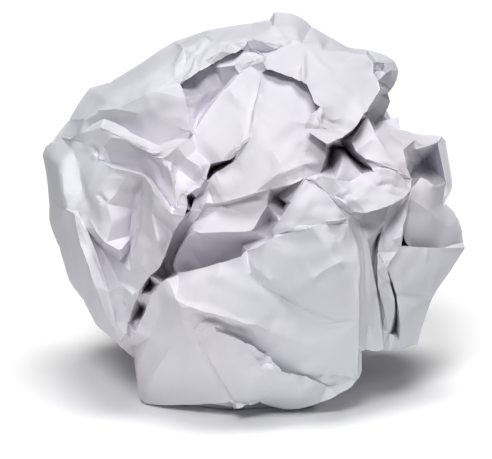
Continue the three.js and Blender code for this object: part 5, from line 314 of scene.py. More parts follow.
FOLDS = np.array([
    0,1,10, 1,2,10, 2,3,10, 3,4,10, 4,5,10, 5,6,10, 6,7,10, 7,8,10, 8,9,10, 9,10,10, 10,11,10, 11,12,10, 12,13,10, 13,14,10,
    14,15,10, 15,16,10, 16,17,10, 17,18,10, 18,19,10, 19,20,10, 20,21,10, 21,22,10, 22,23,10, 23,24,10, 24,25,10, 25,26,10, 26,27,10, 27,28,10,
    28,29,10, 29,30,10, 30,31,10, 31,32,10, 32,33,10, 33,34,10, 34,35,10, 35,36,10, 36,37,10, 37,38,10, 38,39,10, 39,40,10, 40,41,10, 41,42,10,
    42,43,10, 43,44,10, 44,45,10, 45,46,10, 46,47,10, 47,48,10, 48,49,10, 49,50,10, 50,51,10, 51,52,10, 52,53,10, 53,54,10, 54,55,10, 55,56,10,
    56,57,10, 57,58,10, 58,59,10, 59,60,10, 60,61,10, 61,62,10, 62,63,10, 63,64,10, 64,65,10, 65,66,10, 66,67,10, 67,68,10, 68,69,10, 69,70,10,
    70,71,10, 71,72,10, 72,73,10, 73,74,10, 74,75,10, 75,76,10, 76,77,10, 77,78,10, 78,79,10, 79,80,10, 80,81,10, 81,82,10, 82,83,10, 83,84,10,
    84,85,10, 85,86,10, 86,87,10, 87,88,10, 88,89,10, 0,89,10, 84,90,10, 90,91,10, 91,92,10, 92,93,10, 93,94,10, 94,95,10, 95,96,10, 93,104,5,
    103,104,5, 77,97,7, 97,98,7, 98,99,7, 99,100,7, 100,101,7, 101,102,7, 96,102,7, 76,115,10, 114,115,10, 113,114,10, 112,113,10, 111,112,10, 110,111,10,
    109,110,10, 108,109,10, 96,108,10, 76,116,10, 116,117,10, 117,118,10, 118,119,10, 119,120,10, 120,121,10, 121,122,10, 122,123,10, 123,124,10, 96,124,10, 119,125,7,
    125,126,7, 126,127,7, 127,128,7, 128,129,7, 129,130,7, 130,131,7, 131,132,7, 133,134,8, 134,135,8, 135,136,8, 136,137,8, 137,138,8, 138,145,8, 145,146,8,
    146,147,8, 147,148,8, 135,205,10, 205,206,10, 206,207,10, 207,208,10, 208,209,10, 209,210,10, 210,211,10, 177,211,10, 141,201,8, 201,202,8, 202,203,8, 203,204,8,
    142,204,8, 133,141,5, 125,141,5, 142,143,6, 143,144,6, 144,148,6, 130,142,5, 151,207,8, 151,152,8, 152,153,8, 153,154,8, 154,155,8, 155,170,8, 157,158,5,
    158,159,5, 159,160,5, 163,164,7, 164,165,7, 165,166,7, 166,167,7, 167,168,7, 163,212,10, 212,213,10, 169,213,10, 162,169,10, 176,177,10, 177,178,10, 178,179,10,
    179,180,10, 180,181,10, 181,182,10, 182,183,10, 183,184,10, 184,185,10, 185,186,10, 186,187,10, 187,188,10, 188,189,10, 64,189,10, 190,191,9, 191,192,9, 192,193,9,
    193,194,9, 194,195,9, 195,196,9, 64,196,9, 190,197,8, 197,199,8, 198,199,8, 198,200,8, 196,200,8, 214,215,4, 215,216,4, 69,214,4, 214,223,4, 190,223,4,
    226,227,5, 227,229,5, 88,238,7, 93,231,10, 231,232,10, 232,233,10, 233,234,10, 234,235,10, 235,236,10, 236,237,10, 237,238,10, 91,243,6, 243,244,6, 231,244,6,
    90,239,6, 239,240,6, 86,240,6, 240,241,6, 241,242,6, 242,245,6, 232,245,6, 241,246,5, 246,247,5, 238,247,5, 241,248,5, 235,248,5, 242,249,5, 238,252,8,
    252,253,8, 253,254,8, 254,259,8, 237,255,9, 255,256,9, 256,257,9, 257,258,9, 258,259,9, 0,250,8, 250,251,8, 259,260,6, 260,261,6, 259,264,8, 264,265,8,
    265,266,8, 266,389,8, 259,364,10, 364,365,10, 365,366,10, 366,367,10, 367,368,10, 368,369,10, 369,370,10, 370,371,10, 371,372,10, 372,373,10, 373,374,10, 374,375,10,
    375,376,10, 376,377,10, 377,378,10, 378,379,10, 379,380,10, 380,381,10, 381,382,10, 382,383,10, 383,384,10, 384,385,10, 385,386,10, 386,387,10, 387,388,10, 388,389,10,
    6,389,10, 264,390,6, 369,390,6, 370,391,4, 373,395,5, 395,396,5, 396,397,5, 395,398,4, 398,399,4, 267,268,10, 268,269,10, 269,270,10, 270,271,10, 272,273,9,
    273,274,9, 267,274,9, 275,276,8, 276,277,8, 277,278,8, 278,365,8, 267,275,6, 236,270,9, 273,279,5, 276,282,10, 282,283,10, 283,284,10, 284,285,10, 285,286,10,
    283,298,7, 297,298,7, 291,292,10, 292,293,10, 293,294,10, 96,294,10, 93,291,10, 272,291,8, 295,365,8, 282,295,8, 296,366,8, 296,297,8, 297,299,8, 299,300,8,
    300,305,8, 296,330,6, 330,331,6, 331,332,6, 305,332,6, 305,306,10, 306,307,10, 307,308,10, 308,309,10, 309,310,10, 310,311,10, 311,312,10, 312,313,10, 176,313,10,
    132,315,6, 315,318,6, 143,318,6, 314,315,5, 148,320,6, 176,320,6, 132,286,5, 96,132,5, 305,324,10, 324,325,10, 325,326,10, 326,327,10, 327,328,10, 328,329,10,
    305,321,9, 321,322,9, 322,323,9, 310,323,9, 329,549,10, 549,550,10, 550,551,10, 551,552,10, 552,553,10, 553,554,10, 554,555,10, 349,556,10, 556,557,10, 557,558,10,
    558,559,10, 559,560,10, 560,561,10, 569,578,10, 577,578,10, 577,579,10, 579,580,10, 580,581,10, 581,582,10, 329,350,7, 349,350,7, 339,340,6, 340,341,6, 342,343,10,
    343,344,10, 344,345,10, 345,346,10, 346,347,10, 347,348,10, 348,349,10, 351,366,10, 351,352,10, 352,353,10, 353,354,10, 354,355,10, 355,356,10, 356,357,10, 357,358,10,
    358,359,10, 359,360,10, 360,361,10, 361,362,10, 362,363,10, 378,435,8, 435,436,8, 436,437,8, 437,444,8, 334,361,6, 363,435,6, 385,408,8, 11,408,8, 6,400,7,
    400,403,7, 387,403,7, 400,401,7, 401,407,7, 9,407,7, 402,403,7, 402,404,7, 404,405,7, 405,406,7, 406,408,7, 384,409,8, 12,409,8, 383,410,7, 410,411,7,
    382,411,8, 411,416,8, 16,412,7, 381,413,8, 413,414,8, 414,415,8, 379,415,8, 416,417,10, 417,418,10, 418,419,10, 419,420,10, 420,421,10, 421,422,10, 422,423,10,
    423,424,10, 416,425,8, 425,426,8, 426,427,8, 423,427,8, 16,416,7, 19,429,8, 429,430,8, 430,431,8, 424,431,8, 20,432,7, 432,433,7, 433,434,7, 430,434,7,
    435,439,10, 439,442,10, 440,442,10, 440,441,10, 441,448,10, 438,439,6, 443,445,6, 443,447,6, 444,445,10, 445,446,10, 446,447,10, 447,448,10, 448,449,10, 449,450,10,
    450,451,10, 451,452,10, 424,452,10, 460,461,10, 461,462,10, 462,463,10, 463,464,10, 464,465,10, 424,465,10, 607,608,7, 608,609,7, 609,610,7, 453,459,6, 459,460,6,
    454,455,5, 455,456,5, 466,610,9, 466,467,9, 467,468,9, 468,469,9, 464,469,9, 433,470,10, 470,471,10, 22,471,10, 471,472,10, 472,473,10, 473,484,10, 434,476,8,
    476,477,8, 477,478,8, 478,479,8, 473,479,8, 474,475,6, 475,479,6, 474,476,6, 433,474,7, 424,480,10, 480,481,10, 481,482,10, 482,483,10, 483,484,10, 28,484,10,
    465,485,9, 485,486,9, 486,487,9, 487,538,9, 488,538,9, 488,489,10, 489,490,10, 32,490,10, 493,494,10, 494,495,10, 33,495,10, 493,496,10, 496,497,10, 497,498,10,
    498,499,10, 499,500,10, 500,501,10, 501,502,10, 502,503,10, 38,503,10, 507,610,8, 507,512,8, 512,513,8, 513,514,8, 514,515,8, 515,516,8, 40,516,8, 509,510,8,
    510,511,8, 511,513,8, 469,509,9, 509,517,9, 517,518,9, 518,519,9, 519,520,9, 520,521,9, 40,521,9, 509,522,10, 522,523,10, 523,524,10, 524,525,10, 525,526,10,
    526,527,10, 527,528,10, 528,529,10, 40,529,10, 522,530,7, 530,531,7, 531,532,7, 465,532,9, 532,533,9, 533,534,9, 534,535,9, 493,535,9, 534,538,8, 493,538,8,
    498,539,8, 539,540,8, 540,541,8, 541,542,8, 542,547,8, 498,543,9, 543,544,9, 544,545,9, 545,546,9, 546,548,9, 547,548,8, 39,548,8, 529,547,6, 342,594,10,
    594,595,10, 595,596,10, 596,597,10, 597,598,8, 598,599,8, 599,600,8, 600,601,8, 601,605,8, 594,602,9, 602,603,9, 603,604,9, 604,605,9, 605,610,9, 594,607,9,
    444,607,9, 342,588,6, 588,589,6, 344,572,8, 572,573,8, 573,574,8, 574,575,8, 571,572,8, 570,571,8, 569,570,8, 575,576,9, 576,577,9, 575,583,5, 582,584,9,
    584,585,9, 585,586,9, 586,587,9, 587,591,9, 575,591,5, 591,592,5, 592,593,5, 624,625,9, 625,626,9, 626,627,9, 627,628,9, 628,629,9, 629,630,9, 630,631,9,
    631,632,9, 632,633,9, 633,634,9, 634,635,9, 635,636,9, 636,637,9, 637,638,9, 601,638,9, 185,615,10, 615,616,10, 616,619,10, 615,617,9, 617,618,9, 618,624,9,
    619,620,10, 620,621,10, 621,622,10, 622,623,10, 63,623,10, 186,565,8, 183,564,8, 601,639,8, 639,642,8, 642,643,8, 643,644,8, 644,645,8, 645,646,8, 646,647,8,
    647,648,8, 45,648,8, 639,640,6, 640,641,6, 605,649,6, 649,650,6, 650,651,6, 651,652,6, 42,652,6, 644,653,6, 653,654,6, 654,655,6, 656,657,10, 657,658,10,
    658,659,10, 659,660,10, 660,661,10, 661,662,10, 646,662,10, 669,670,8, 670,671,8, 671,672,8, 672,673,8, 673,674,8, 674,675,8, 675,676,8, 676,677,8, 618,669,5,
    669,683,5, 683,684,5, 684,685,5, 685,686,5, 686,687,5, 687,688,5, 55,688,5, 689,690,10, 690,691,10, 691,692,10, 692,693,10, 693,694,10, 694,695,10, 695,696,10,
    696,697,10, 697,698,10, 698,699,10, 699,714,10, 714,715,10, 715,716,10, 45,716,10, 689,700,10, 700,701,10, 701,702,10, 702,703,10, 703,704,10, 704,705,10, 705,706,10,
    706,707,10, 707,708,10, 708,709,10, 709,712,10, 712,713,10, 45,713,10, 709,717,8, 713,717,8, 677,704,6, 721,722,5, 722,725,5, 723,724,6, 724,725,6, 696,725,6,
    52,727,7, 62,623,10, 43,647,8, 591,631,9, 611,612,6, 612,613,6, 613,614,6, 276,287,10, 287,288,10, 288,289,10, 289,290,10, 286,290,10, 728,729,10, 729,730,10,
    730,731,10, 731,732,10, 732,733,10, 728,733,10, 734,735,8, 735,736,8, 736,737,8, 738,739,8, 739,740,8, 740,741,8, 742,743,8, 743,744,8, 744,745,8, 745,746,8,
    746,747,8, 748,749,8, 749,750,8, 750,751,8, 751,752,8, 752,753,8, 753,754,8, 754,755,8, 756,757,8, 757,758,8, 758,759,8, 759,760,8, 760,761,8, 761,762,8,
    763,764,8, 764,765,8, 765,766,8, 766,767,8, 767,768,8, 768,769,8, 770,771,8, 771,772,8, 772,773,8, 774,775,8, 775,776,8, 776,777,8, 777,778,8, 778,779,8,
    780,781,8, 781,782,8, 783,784,8, 784,785,8, 785,786,8, 787,788,8, 788,789,8, 790,791,8, 791,792,8, 792,793,8, 794,795,8, 795,796,8, 796,797,8, 798,799,8,
    799,800,8, 801,802,8, 802,803,8, 803,804,8, 805,806,10, 806,807,10, 808,809,9, 809,810,9, 811,812,9, 812,813,9, 814,815,8, 815,816,8, 816,817,8, 818,819,8,
    819,820,8, 821,822,8, 822,823,8, 824,825,8, 825,826,8, 826,827,8, 828,829,10, 829,830,10, 831,832,9, 832,833,9, 834,835,9, 835,836,9, 837,838,8, 838,839,8,
    839,840,8, 840,841,8, 841,842,8, 842,843,8, 844,845,8, 845,846,8, 847,848,8, 848,849,8, 849,850,8, 850,851,8, 851,852,8, 853,854,8, 854,855,8, 855,856,8,
    856,857,8, 858,859,10, 859,860,10, 861,862,9, 862,863,9, 864,865,9, 865,866,9, 867,868,8, 868,869,8, 870,871,8, 871,872,8, 873,874,8, 874,875,8, 875,876,8,
    877,878,8, 878,879,8, 879,880,8, 880,881,8, 881,882,8, 882,883,8, 2,989,7, 3,956,9, 8,737,7, 9,12,7, 9,737,9, 12,737,9, 13,737,9, 14,736,9,
    14,873,9, 14,988,9, 15,873,9, 15,931,9, 16,18,9, 16,797,9, 16,931,9, 18,797,9, 19,797,9, 20,797,7, 22,938,7, 23,938,9, 24,951,7, 26,952,7,
    28,952,9, 29,952,7, 37,773,9, 41,857,7, 42,857,7, 43,857,9, 44,856,7, 45,856,7, 46,888,9, 46,954,7, 48,954,9, 50,730,7, 51,913,9, 52,973,9,
    54,729,9, 54,973,9, 55,729,9, 56,986,7, 59,728,7, 60,63,9, 63,837,9, 63,984,9, 65,846,7, 66,981,7, 67,842,9, 67,843,9, 68,843,9, 68,964,7,
    73,819,7, 74,820,7, 75,77,9, 79,924,9, 80,814,9, 81,814,9, 81,887,9, 81,980,7, 89,741,9, 89,989,7, 728,986,9, 729,973,9, 729,986,9, 730,913,9,
    731,894,9, 731,902,9, 731,966,9, 732,895,9, 732,905,9, 732,933,9, 732,966,9, 733,898,7, 733,934,9, 733,942,7, 733,967,7, 734,789,7, 735,789,9, 736,914,9,
    736,968,9, 738,782,9, 738,832,9, 738,906,9, 739,830,9, 739,833,9, 739,836,9, 740,836,9, 741,798,7, 742,909,7, 743,793,9, 743,883,9, 743,890,9, 743,941,9,
    744,793,9, 744,823,7, 744,934,9, 745,792,7, 746,791,7, 746,950,7, 747,790,9, 747,838,9, 747,839,9, 747,950,7, 748,801,7, 748,915,9, 748,927,7, 748,977,7,
    749,977,7, 750,901,9, 751,770,9, 751,786,9, 751,864,9, 752,785,7, 752,786,7, 752,858,9, 753,785,7, 753,957,7, 754,884,7, 754,976,7, 755,807,9, 755,884,9,
    755,976,9, 756,928,9, 756,959,9, 757,918,9, 757,928,7, 757,959,9, 759,985,7, 760,961,9, 761,891,9, 761,906,7, 761,929,9, 762,892,7, 762,906,7, 762,979,9,
    763,820,9, 764,816,9, 764,878,7, 764,919,9, 765,817,7, 765,892,9, 767,891,9, 767,892,9, 768,805,9, 768,811,9, 768,891,9, 768,910,9, 769,812,9, 769,949,7,
    770,786,9, 771,871,9, 773,870,7, 773,958,9, 774,840,9, 775,791,7, 775,926,9, 776,868,9, 776,869,7, 779,877,7, 780,912,7, 780,939,7, 782,912,7, 782,982,7,
    783,821,9, 783,884,9, 783,930,9, 783,957,7, 783,960,9, 785,826,9, 785,827,7, 785,872,7, 785,957,9, 787,800,9, 787,835,7, 788,945,9, 789,968,9, 790,839,9,
    790,840,9, 793,883,7, 794,951,7, 794,990,9, 799,835,7, 799,989,9, 800,956,9, 800,989,7, 801,927,7, 802,908,7, 802,971,9, 802,977,9, 803,860,9, 803,866,9,
    803,977,7, 804,860,9, 804,863,9, 804,893,9, 804,971,9, 804,983,9, 805,811,9, 805,891,9, 806,812,7, 807,813,7, 807,884,9, 808,891,9, 808,929,9, 808,936,9,
    810,917,9, 812,907,9, 813,930,9, 813,969,9, 814,887,9, 815,887,9, 816,916,9, 816,963,7, 818,935,7, 819,877,9, 820,919,9, 820,923,7, 820,924,9, 821,909,9,
    821,960,7, 824,853,9, 824,870,7, 824,943,7, 824,978,9, 825,871,7, 826,872,9, 828,831,7, 828,961,9, 830,836,7, 834,961,9, 837,844,7, 837,942,9, 837,950,7,
    837,984,7, 838,950,7, 839,845,7, 839,846,9, 843,964,7, 845,948,7, 846,981,7, 847,876,9, 847,959,9, 849,876,7, 850,885,7, 850,983,7, 851,885,9, 851,983,7,
    852,858,9, 853,978,9, 854,888,9, 856,987,7, 857,987,7, 860,866,9, 863,983,9, 870,943,7, 873,988,9, 874,899,9, 874,931,7, 874,988,9, 875,899,9, 877,940,7,
    878,889,7, 880,937,7, 882,926,7, 882,937,7, 883,991,7, 884,930,9, 884,957,9, 885,928,7, 885,976,9, 886,912,7, 887,939,9, 887,946,7, 887,963,9, 888,954,9,
    888,970,9, 889,910,7, 890,907,7, 891,929,9, 892,979,9, 893,971,7, 894,966,7, 894,978,9, 895,933,9, 895,934,9, 897,952,7, 900,921,7, 900,953,7, 900,983,9,
    901,915,7, 902,954,9, 903,943,7, 904,927,7, 905,960,9, 905,965,9, 905,966,9, 907,949,7, 907,969,9, 907,974,9, 908,971,9, 909,974,9, 914,945,9, 914,972,7,
    915,927,7, 916,979,9, 917,918,9, 917,928,7, 918,936,7, 919,924,9, 920,959,9, 920,988,9, 921,953,7, 921,983,7, 922,935,9, 926,991,9, 928,976,9, 929,985,9,
    930,969,9, 930,974,9, 935,940,9, 937,949,9, 941,949,9, 942,984,9, 944,972,7, 945,968,9, 947,959,9, 947,961,9, 953,990,7, 955,963,9,
], dtype=np.int64).reshape(-1, 3)

# Fine creases on the front: half width mm, height mm (below zero is a groove), and the line.
FINE = [
    (0.95, -0.69, [(-30.5, -26.4, 47.5), (-29.8, -27.3, 47.0), (-29.2, -28.1, 46.4), (-28.6, -28.9, 45.9)]),
    (2.10, -0.50, [(-34.7, -16.8, 48.8), (-34.4, -17.4, 47.9), (-34.1, -18.2, 47.1), (-33.8, -19.5, 46.3), (-33.4, -21.0, 45.6), (-32.9, -22.7, 45.2), (-32.4, -24.2, 44.7), (-32.0, -24.8, 44.0), (-31.6, -25.3, 43.3)]),
    (1.37, -0.69, [(-21.7, -30.0, 50.5), (-21.8, -28.9, 49.2), (-21.9, -28.1, 48.0), (-22.0, -27.6, 46.9), (-22.2, -27.4, 45.8), (-22.3, -27.2, 44.7), (-22.4, -27.2, 43.7), (-22.4, -27.4, 42.7), (-22.6, -27.3, 41.8), (-22.9, -27.1, 40.8), (-23.1, -27.0, 39.9), (-23.3, -26.8, 38.9), (-23.5, -26.9, 38.0), (-23.7, -27.1, 37.1), (-23.9, -27.3, 36.3)]),
    (1.37, 0.38, [(-20.8, -31.8, 50.0), (-20.9, -30.7, 48.8), (-21.0, -30.0, 47.7), (-21.1, -29.9, 46.7), (-21.2, -29.8, 45.6), (-21.3, -29.6, 44.6), (-21.3, -29.9, 43.7), (-21.5, -29.9, 42.7), (-21.7, -29.8, 41.6), (-21.9, -29.3, 40.6), (-22.1, -28.9, 39.5), (-22.2, -29.3, 38.5), (-22.4, -29.7, 37.6)]),
    (1.58, 0.50, [(-35.3, -20.9, 42.8), (-34.8, -23.0, 42.2), (-34.4, -23.6, 41.4), (-34.0, -24.0, 40.5), (-33.6, -24.4, 39.6), (-33.2, -24.8, 38.7), (-32.9, -25.1, 37.8), (-32.5, -25.3, 36.8), (-32.1, -25.7, 35.9), (-31.7, -26.3, 35.0), (-31.3, -26.5, 34.0), (-30.9, -26.6, 33.1), (-30.5, -26.7, 32.1), (-30.2, -27.0, 31.1), (-29.8, -27.3, 30.2), (-29.5, -27.8, 29.3), (-29.1, -28.2, 28.4), (-28.8, -27.9, 27.3), (-28.5, -27.7, 26.2), (-28.2, -27.6, 25.1), (-27.9, -27.4, 24.0), (-27.6, -27.3, 22.9), (-27.3, -27.2, 21.8), (-27.0, -27.0, 20.7)]),
    (1.68, 0.38, [(-38.4, -14.8, 38.8), (-38.3, -14.1, 37.7), (-38.1, -13.8, 36.6), (-37.8, -14.1, 35.7), (-37.6, -14.4, 34.8), (-37.4, -14.7, 33.9), (-37.1, -14.9, 33.0), (-36.9, -15.0, 32.1), (-36.7, -15.1, 31.2), (-36.1, -16.3, 30.5), (-35.5, -17.5, 29.8), (-34.9, -18.6, 29.1), (-34.4, -18.7, 28.2), (-33.9, -18.4, 27.2), (-33.3, -18.6, 26.4), (-32.8, -18.8, 25.6), (-32.1, -20.7, 25.3), (-31.4, -23.2, 25.1)]),
    (1.05, 0.56, [(-26.4, -26.7, 29.0), (-25.4, -26.5, 28.4), (-24.3, -27.7, 28.3), (-23.5, -28.7, 27.8), (-22.7, -28.3, 27.0)]),
    (0.95, 0.50, [(-31.7, -18.2, 53.6), (-30.6, -19.9, 53.5), (-29.5, -21.5, 52.8)]),
    (0.84, -0.50, [(-32.2, -17.1, 55.2), (-31.5, -18.0, 54.8), (-30.8, -19.1, 54.4), (-30.6, -19.9, 53.7), (-30.4, -20.4, 53.0)]),
    (1.26, 0.32, [(-14.3, -18.4, 68.9), (-13.8, -17.8, 69.7), (-13.3, -16.7, 70.5), (-12.8, -15.9, 71.2), (-12.4, -14.9, 72.0), (-11.8, -14.7, 72.7), (-11.3, -14.7, 73.4), (-10.7, -14.0, 74.0), (-10.2, -13.3, 74.6), (-9.5, -12.7, 75.2), (-8.8, -12.2, 75.8)]),
    (1.05, -0.28, [(-13.5, -18.3, 69.5), (-12.9, -18.1, 70.4), (-12.4, -17.5, 71.2), (-11.9, -16.5, 71.9), (-11.4, -15.4, 72.7), (-10.6, -15.1, 73.4), (-9.9, -14.6, 74.0), (-9.2, -14.0, 74.7)]),
    (1.37, 0.24, [(-12.3, -15.4, 68.9), (-11.5, -15.5, 69.4), (-10.6, -15.6, 69.8), (-9.8, -15.5, 70.3), (-9.0, -15.4, 70.7), (-8.2, -15.2, 71.0), (-7.4, -16.3, 71.6), (-6.6, -16.4, 72.0), (-5.8, -15.6, 72.4), (-4.9, -14.5, 72.7), (-4.1, -13.5, 73.0), (-3.3, -13.0, 73.4), (-2.4, -12.6, 73.9)]),
    (1.26, 0.28, [(-4.8, -11.1, 75.9), (-5.7, -12.8, 75.6), (-6.5, -13.6, 75.1), (-7.3, -16.1, 74.9), (-8.2, -16.0, 74.4), (-8.7, -16.8, 73.7), (-9.3, -17.6, 73.0), (-9.9, -18.3, 72.3), (-10.4, -19.4, 71.5)]),
    (1.05, -0.24, [(-4.0, -14.4, 75.5), (-4.8, -16.1, 75.2), (-5.7, -17.7, 74.9), (-6.5, -18.5, 74.5), (-7.3, -18.5, 73.9), (-7.9, -18.8, 73.2), (-8.5, -18.7, 72.3), (-9.1, -19.3, 71.6)]),
    (1.05, 0.38, [(0.4, 1.8, 77.2), (1.4, -1.0, 77.4), (2.3, -3.7, 77.5), (3.2, -6.4, 77.7), (4.0, -8.8, 77.5), (4.8, -9.4, 77.2), (5.6, -10.1, 76.8), (6.4, -10.7, 76.4)]),
    (1.05, 0.38, [(6.4, -11.0, 76.3), (5.9, -12.6, 75.6), (5.4, -14.0, 74.9), (4.9, -15.1, 74.2)]),
    (0.84, 0.44, [(5.9, -13.8, 75.0), (6.8, -12.9, 75.3), (7.6, -11.8, 75.6), (8.6, -11.8, 75.5), (9.6, -11.8, 75.4)]),
    (0.95, 0.44, [(10.3, -15.1, 74.0), (10.2, -17.0, 73.2), (10.1, -18.9, 72.4), (10.1, -20.8, 71.6), (10.0, -22.5, 70.8), (9.9, -24.2, 70.0)]),
    (1.26, 0.31, [(11.1, -13.8, 74.4), (11.8, -15.3, 73.7), (12.4, -16.7, 73.0), (13.0, -17.9, 72.2), (13.8, -18.5, 71.7), (14.6, -19.2, 71.1), (15.3, -19.9, 70.5)]),
    (1.68, 0.31, [(15.4, -16.0, 72.4), (16.3, -15.9, 72.0), (17.3, -15.7, 71.7), (18.2, -15.6, 71.4), (19.1, -15.5, 71.1), (20.1, -14.5, 71.1), (21.1, -13.5, 71.1), (22.1, -12.5, 71.1), (23.1, -11.4, 71.1), (24.1, -9.9, 71.1)]),
    (1.68, 0.25, [(16.2, -22.2, 68.5), (17.1, -22.2, 67.8), (17.9, -22.2, 67.1), (18.8, -22.2, 66.4), (19.6, -22.3, 65.7), (20.2, -23.2, 65.0), (20.8, -24.4, 64.2), (21.4, -25.5, 63.5)]),
    (1.26, 0.44, [(-5.0, -21.2, 67.4), (-4.3, -22.5, 66.9), (-3.6, -23.7, 66.4), (-2.9, -24.7, 65.8), (-2.2, -25.6, 65.3), (-1.2, -26.1, 65.2)]),
    (1.16, 0.44, [(1.9, -22.8, 69.6), (1.7, -24.2, 68.8), (1.5, -25.3, 67.9), (1.3, -26.3, 67.1), (1.1, -27.4, 66.2), (0.9, -27.9, 65.3), (0.7, -28.3, 64.4), (0.5, -28.8, 63.4), (0.4, -29.7, 62.6), (0.2, -30.5, 61.7), (0.0, -31.4, 60.9), (-0.1, -32.1, 60.0), (-0.3, -32.7, 59.1), (-0.5, -32.9, 58.1)]),
    (1.05, -0.38, [(1.1, -22.7, 69.0), (0.9, -23.5, 68.2), (0.7, -24.3, 67.4), (0.5, -25.1, 66.6), (0.3, -26.0, 65.8), (0.1, -26.8, 65.0), (-0.1, -27.5, 64.2), (-0.2, -28.4, 63.4), (-0.4, -29.3, 62.6), (-0.5, -30.1, 61.7), (-0.7, -30.9, 60.9), (-0.9, -31.9, 60.1), (-1.0, -32.9, 59.3)]),
    (1.26, 0.28, [(2.3, -29.4, 63.2), (2.9, -29.8, 62.6), (3.6, -30.3, 62.0), (4.3, -30.8, 61.4), (5.0, -31.3, 60.8), (5.6, -31.4, 60.0), (6.3, -31.3, 59.2), (7.0, -31.7, 58.5), (7.7, -32.2, 57.8)]),
    (1.58, 0.31, [(9.6, -28.9, 61.5), (9.3, -29.2, 60.7), (9.1, -29.6, 60.0), (8.7, -30.3, 59.3), (8.4, -31.1, 58.6), (7.8, -32.2, 57.8), (7.3, -33.2, 57.0), (6.7, -34.2, 56.2), (6.0, -35.1, 55.6), (5.3, -35.9, 55.0), (4.6, -35.8, 54.2), (3.9, -35.7, 53.5), (3.2, -35.5, 52.7), (2.5, -35.7, 52.0), (1.8, -35.8, 51.2)]),
    (1.16, 0.44, [(2.6, -35.8, 51.8), (3.5, -36.0, 52.3), (4.4, -36.4, 52.8), (5.3, -36.6, 53.3), (6.2, -36.7, 53.8), (7.3, -36.0, 54.0), (8.3, -35.4, 54.3), (9.3, -34.7, 54.5), (10.3, -33.4, 54.7), (11.5, -32.2, 54.5), (12.7, -31.0, 54.2)]),
    (1.68, 0.25, [(-3.9, -34.9, 50.7), (-3.3, -34.8, 51.3), (-2.8, -34.7, 52.0), (-2.2, -34.4, 52.6), (-1.6, -34.4, 53.3), (-1.2, -34.2, 54.1), (-0.8, -33.9, 54.9), (-0.5, -33.6, 55.8), (-0.1, -33.4, 56.6), (0.3, -33.2, 57.4)]),
    (1.89, -0.62, [(9.2, -30.7, 58.7), (9.9, -31.2, 58.1), (10.6, -31.4, 57.5), (11.3, -31.4, 56.6), (11.9, -31.4, 55.7)]),
    (0.95, 0.44, [(13.6, -30.3, 64.5), (13.2, -31.1, 63.6), (12.7, -31.0, 62.5), (12.3, -31.7, 61.6)]),
    (0.84, -0.44, [(13.2, -31.1, 63.5), (14.1, -30.6, 63.0), (15.0, -30.2, 62.5), (15.8, -29.7, 62.1), (16.6, -29.1, 61.6)]),
    (0.84, 0.38, [(12.7, -31.5, 61.8), (13.4, -31.2, 61.5), (14.2, -30.7, 61.1), (15.0, -30.3, 60.8), (16.1, -29.9, 60.4), (17.2, -29.8, 60.1)]),
    (0.95, 0.44, [(21.5, -25.8, 54.8), (22.4, -27.2, 54.8), (23.3, -27.3, 54.5), (24.2, -27.4, 54.3), (25.2, -27.5, 54.0), (26.1, -27.2, 53.7), (27.1, -26.9, 53.1), (28.0, -26.5, 52.4), (28.9, -26.0, 51.8), (29.9, -25.5, 51.1), (30.8, -25.0, 50.5)]),
    (1.05, 0.50, [(24.2, -26.9, 52.4), (25.0, -28.3, 52.6), (26.0, -27.8, 52.3), (26.9, -27.3, 52.1), (27.9, -27.0, 51.4), (29.0, -26.0, 50.5), (29.6, -25.7, 49.7), (30.1, -25.5, 49.0), (30.6, -25.4, 48.3)]),
    (1.05, -0.56, [(22.2, -29.5, 50.4), (23.3, -30.7, 50.3), (24.5, -30.3, 49.9), (25.4, -29.8, 49.9), (26.3, -29.2, 49.8), (27.3, -28.6, 49.8), (28.2, -28.2, 49.3), (29.1, -27.4, 48.8), (30.0, -26.6, 48.2)]),
    (1.05, 0.44, [(21.0, -33.6, 48.8), (21.7, -32.7, 49.2), (22.5, -31.8, 49.5), (23.2, -31.0, 49.9), (24.1, -30.4, 50.1), (24.9, -29.8, 50.4), (25.7, -29.2, 50.7)]),
    (1.05, 0.38, [(16.5, -34.5, 48.4), (17.3, -34.6, 49.0), (18.0, -34.9, 49.6), (18.9, -32.8, 49.6), (19.8, -31.7, 49.9), (20.7, -30.6, 50.1), (21.6, -29.6, 50.4)]),
    (1.26, 0.38, [(16.9, -34.2, 47.2), (17.9, -35.7, 47.7), (18.9, -35.2, 47.8), (20.0, -35.2, 48.0), (21.0, -34.5, 47.8), (22.1, -33.8, 47.7), (23.2, -33.3, 47.6), (24.2, -33.1, 47.3), (25.3, -32.6, 47.0), (26.3, -32.4, 46.8)]),
    (0.84, -0.44, [(16.1, -34.3, 48.4), (17.0, -34.9, 47.9), (17.8, -35.4, 47.4), (18.5, -35.1, 46.6), (19.2, -34.9, 45.7)]),
    (1.58, -0.31, [(10.1, -37.4, 46.3), (11.1, -37.3, 46.6), (12.2, -36.9, 46.8), (13.2, -36.6, 47.1), (14.3, -36.4, 46.9), (15.4, -36.3, 46.8), (16.5, -35.3, 46.4)]),
    (1.58, 0.25, [(11.5, -35.5, 50.0), (11.2, -36.0, 49.3), (10.9, -36.5, 48.5), (10.6, -36.9, 47.8), (10.3, -37.4, 47.1), (9.8, -37.4, 46.2), (9.3, -37.4, 45.4), (8.9, -37.4, 44.6), (8.4, -37.3, 43.7)]),
    (1.05, -0.44, [(14.6, -36.8, 43.0), (15.1, -36.7, 42.4), (15.7, -36.6, 41.8), (16.4, -36.5, 41.0), (17.1, -36.1, 40.1)]),
    (1.37, 0.56, [(10.9, -37.6, 32.3), (11.7, -37.8, 33.1), (12.5, -37.7, 33.8), (13.2, -37.8, 34.5), (14.1, -38.0, 35.1), (15.0, -38.3, 35.7), (15.9, -38.7, 36.3), (17.1, -37.7, 36.2), (18.3, -36.6, 36.0)]),
